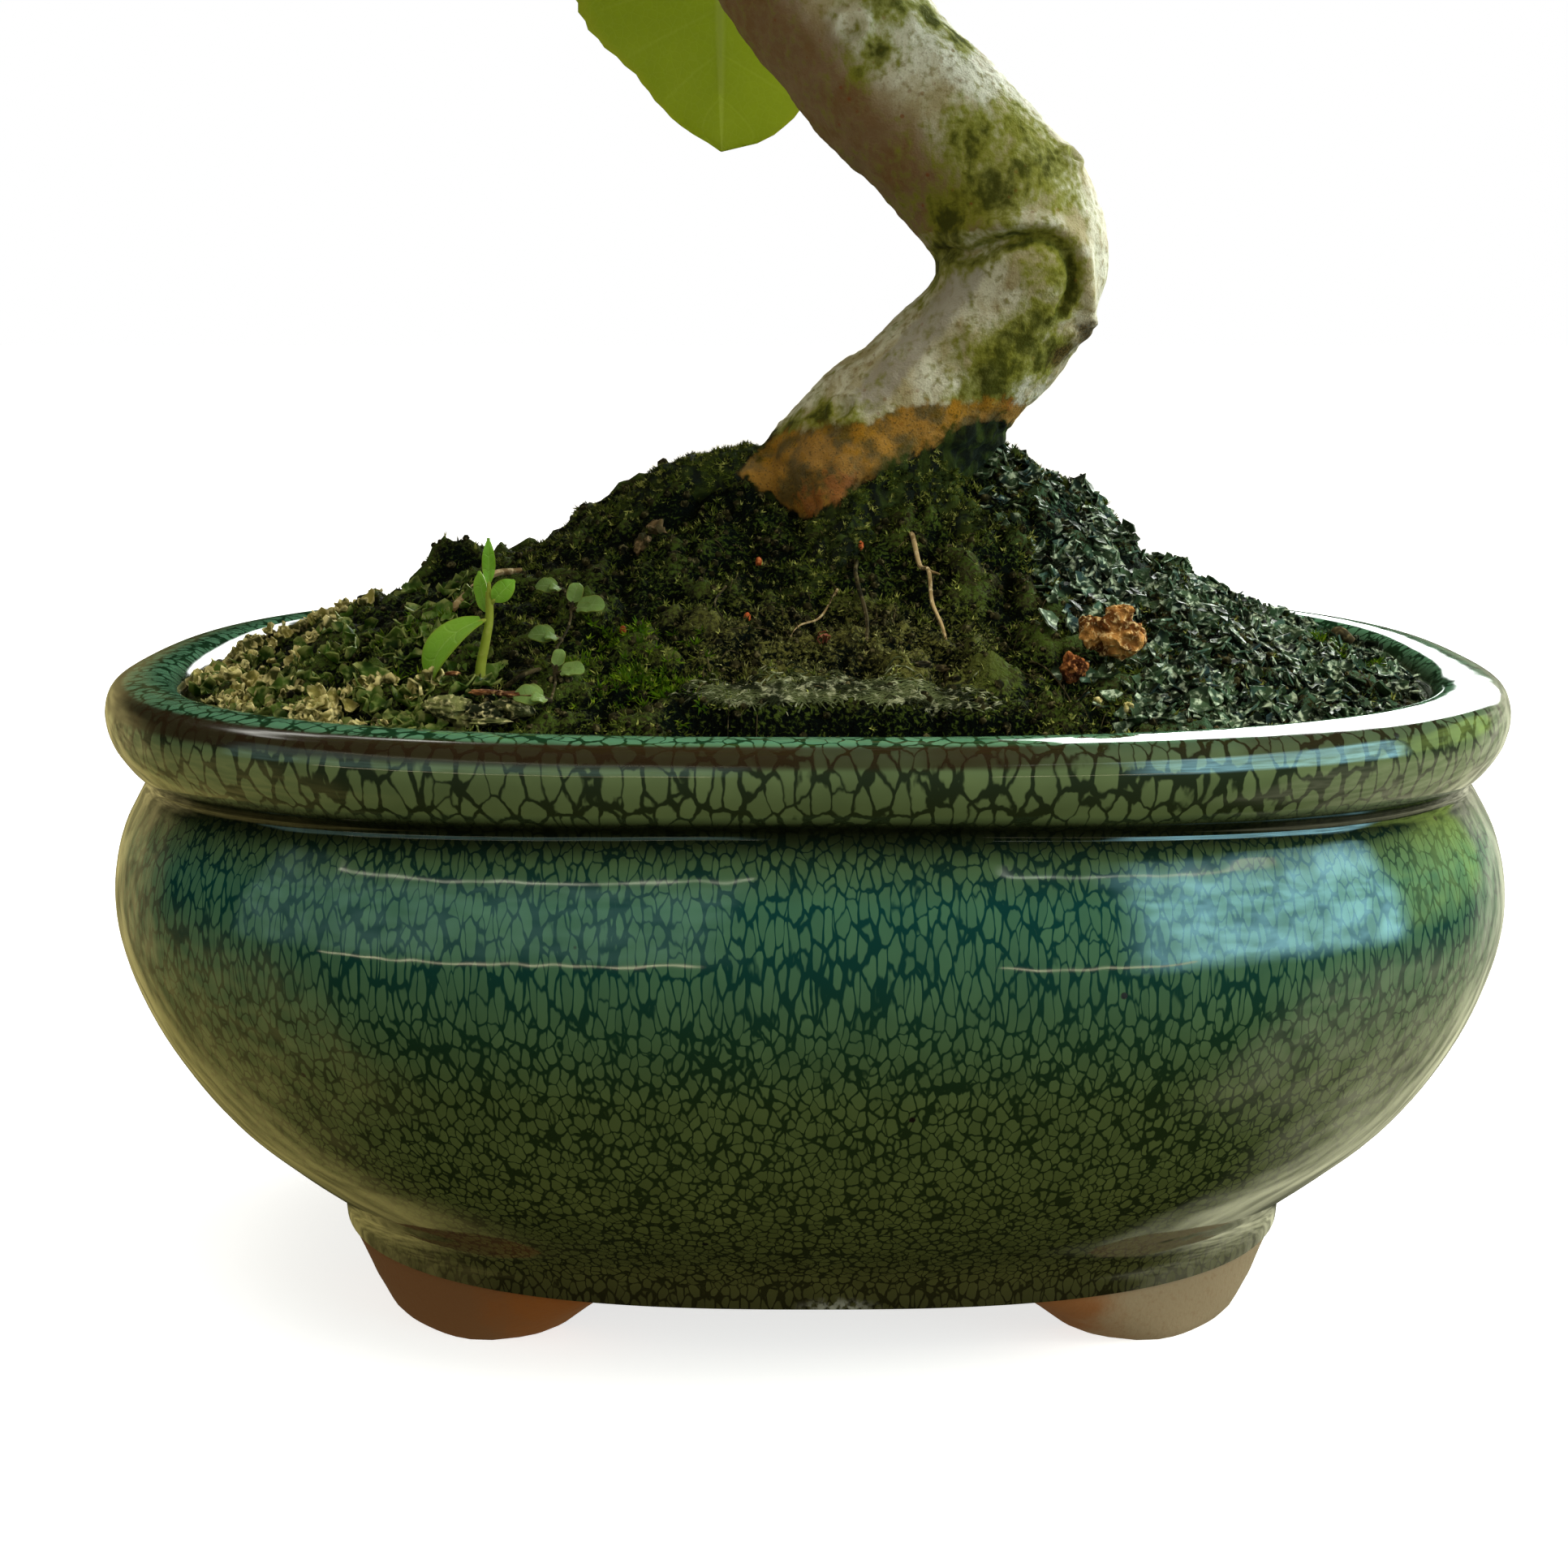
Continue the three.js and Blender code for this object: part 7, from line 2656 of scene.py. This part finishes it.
@dataclass
class Studio:
    """Pale floor, soft light and the camera of the photograph."""

    setting: Setting
    camera_place: tuple = (-4.1, -400.0, 175.8)
    pitch: float = 12.06
    focal_pixels: float = 2638.0
    image_pixels: float = 1932.0
    sensor: float = 36.0
    panels: tuple = (
        Panel("key", 58, 56, 1.5, (0.9, 0.9), 8.4, (255, 248, 230)),
        Panel("top", -30, 74, 1.6, (1.0, 0.8), 3.6, (246, 248, 255)),
        Panel("right_window", 74, 10, 1.4, (1.3, 0.7), 4.4, (206, 224, 236)),
        Panel("back_right", 128, 30, 1.2, (0.9, 0.5), 10.0, (248, 252, 255)),
    )
    panes: tuple = (
        (-180, 180, -90, 90, 1, (20, 26, 14)),
        (60, 158, -52, -13, 9, (244, 244, 200)),
        (118, 158, -20, 12, 9, (248, 248, 214)),
        (-158, -62, -52, -9, 12, (180, 167, 98)),
        (-158, -112, -20, 12, 9, (206, 191, 126)),
        (-78, -4, -3, 27, 3, (178, 226, 214)),
        (84, 126, -3, 22, 4, (240, 280, 140)),
        (30, 84, -5, 29, 4, (410, 555, 585)),
        (-62, -3, 27.9, 28.4, 0.25, (560, 560, 500)),
        (-56, -6, -4.8, -4.2, 0.25, (600, 570, 480)),
        (16, 62, 28.8, 29.3, 0.25, (560, 580, 540)),
        (12, 38, -4.4, -3.8, 0.25, (600, 570, 480)),
        (142, 172, 9, 38, 3, (840, 850, 840)),
        (-172, -96, 45, 49, 1.2, (560, 560, 540)),
    )
    target: tuple = (0.0, 0.0, 0.1)
    floor_size: float = 40.0
    floor_glow: float = 0.72
    dim_sky: tuple = ((232, 226, 204), 0.6)
    sway: float = 3.0

    def floor(self) -> None:
        """Lays the pale floor."""
        deselect()
        bpy.ops.mesh.primitive_plane_add(size=self.floor_size, location=(0, 0, 0))
        floor = bpy.context.object
        floor.name = "floor"
        begin_edit()
        bpy.ops.mesh.subdivide(number_cuts=4)
        bpy.ops.object.mode_set(mode="OBJECT")
        sheet = Sheet("pale_floor", self.setting.shift)
        white = {"Base Color": (0.8, 0.8, 0.8, 1), "Roughness": 1.0, "Specular IOR Level": 0.0,
                 "Emission Color": (1, 1, 1, 1), "Emission Strength": self.floor_glow}
        shader = sheet.node("ShaderNodeBsdfPrincipled", None, white).outputs[0]
        sheet.node("ShaderNodeOutputMaterial", None, {"Surface": shader})
        floor.data.materials.append(sheet.material)
        floor.visible_glossy = False
        floor.visible_diffuse = False

    def world(self) -> None:
        """Gives the plain surroundings: white to the camera, dimmer in light, with windows in reflections."""
        world = bpy.data.worlds.new("studio")
        sheet = Sheet.of_world(world)
        x, y, z = (sheet.part(sheet.place, axis) for axis in range(3))
        wobble = (sheet.noise(0.3, 2) - 0.5) * self.sway
        degrees = math.degrees(1.0)
        angle = sheet.node("ShaderNodeMath", {"operation": "ARCTAN2"}, {0: x, 1: y * -1.0}).outputs[0]
        turn = Value(sheet, angle) * degrees + wobble * 2.0
        angle = sheet.node("ShaderNodeMath", {"operation": "ARCSINE"}, {0: z}).outputs[0]
        lift = Value(sheet, angle) * degrees
        seen = (0, 0, 0)
        for start, end, low, high, soft, colour in self.panes:
            rise = lift + wobble * min(1.0, soft / 6)
            pane = turn.rises(start - soft, start + soft) * turn.rises(end + soft, end - soft)
            pane = pane * rise.rises(low - soft, low + soft) * rise.rises(high + soft, high - soft)
            seen = sheet.mix(pane, seen, colour)
        mottled = sheet.noise(0.09, 4).rises(0.3, 0.7) * 0.9 + 0.55
        seen = sheet.node("ShaderNodeVectorMath", {"operation": "SCALE"}, {0: seen, 3: mottled}).outputs[0]
        ray = sheet.node("ShaderNodeLightPath")
        colour, strength = self.dim_sky
        last = sheet.node("ShaderNodeBackground", None, {0: linear(colour), 1: strength}).outputs[0]
        mirrored = sheet.node("ShaderNodeBackground", None, {0: seen, 1: 1.0}).outputs[0]
        white = sheet.node("ShaderNodeBackground", None, {0: (1, 1, 1, 1), 1: 1.0}).outputs[0]
        for kind, sky in (("Is Glossy Ray", mirrored), ("Is Camera Ray", white)):
            last = sheet.node("ShaderNodeMixShader", None, {0: ray.outputs[kind], 1: last, 2: sky}).outputs[0]
        sheet.node("ShaderNodeOutputWorld", None, {0: last})
        bpy.context.scene.world = world

    def camera(self) -> None:
        """Sets up the camera at the photograph's angle."""
        data = bpy.data.cameras.new("camera")
        data.sensor_width = self.sensor
        data.lens = self.focal_pixels * self.sensor / self.image_pixels
        data.clip_start = 0.01
        camera = bpy.data.objects.new("camera", data)
        camera.location = self.setting.placed(np.array(self.camera_place))
        camera.rotation_euler = (math.radians(90 - self.pitch), 0, 0)
        bpy.context.scene.collection.objects.link(camera)
        bpy.context.scene.camera = camera

    def build(self) -> None:
        """Builds floor, lights, surroundings and camera."""
        self.floor()
        self.world()
        for panel in self.panels:
            panel.hang(Vector(self.target))
        bpy.context.scene.view_settings.view_transform = "Standard"
        self.camera()


def plant_shift() -> tuple[float, float]:
    """How far the plant's own frame is moved in the row's frame, read from the left drain screen."""
    low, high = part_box("drain_screen_left")
    middle = (low + high) / 2 / MM
    return middle.x + Pot.drain[0], middle.y


def main() -> None:
    """Builds the bonsai piece by piece and reports each."""
    logging.basicConfig(level=logging.INFO, format="%(name)s: %(message)s")
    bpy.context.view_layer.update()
    setting = Setting(plant_shift())
    log.info("plant frame moved by %.3f, %.3f mm", *setting.shift)
    pot = Pot(setting)
    pot.build()
    mound = Mound(setting, pot)
    mound.build()
    trunk = Trunk(setting, mound)
    crown = Crown(setting)
    trunk.build(crown.branches)
    sprays = crown.place_leaves(trunk)
    for spray in sprays:
        crown.build_spray(spray)
    for apple in crown.apples:
        crown.build_apple(apple)
    plants = SmallPlants(setting, mound)
    plants.build_seedling()
    plants.build_weed()
    strewn_things = Strewn(setting, mound, trunk)
    strewn_things.build_carpets()
    strewn_things.build_lumps()
    strewn_things.build_debris()
    Studio(setting).build()


if __name__ == "__main__":
    main()
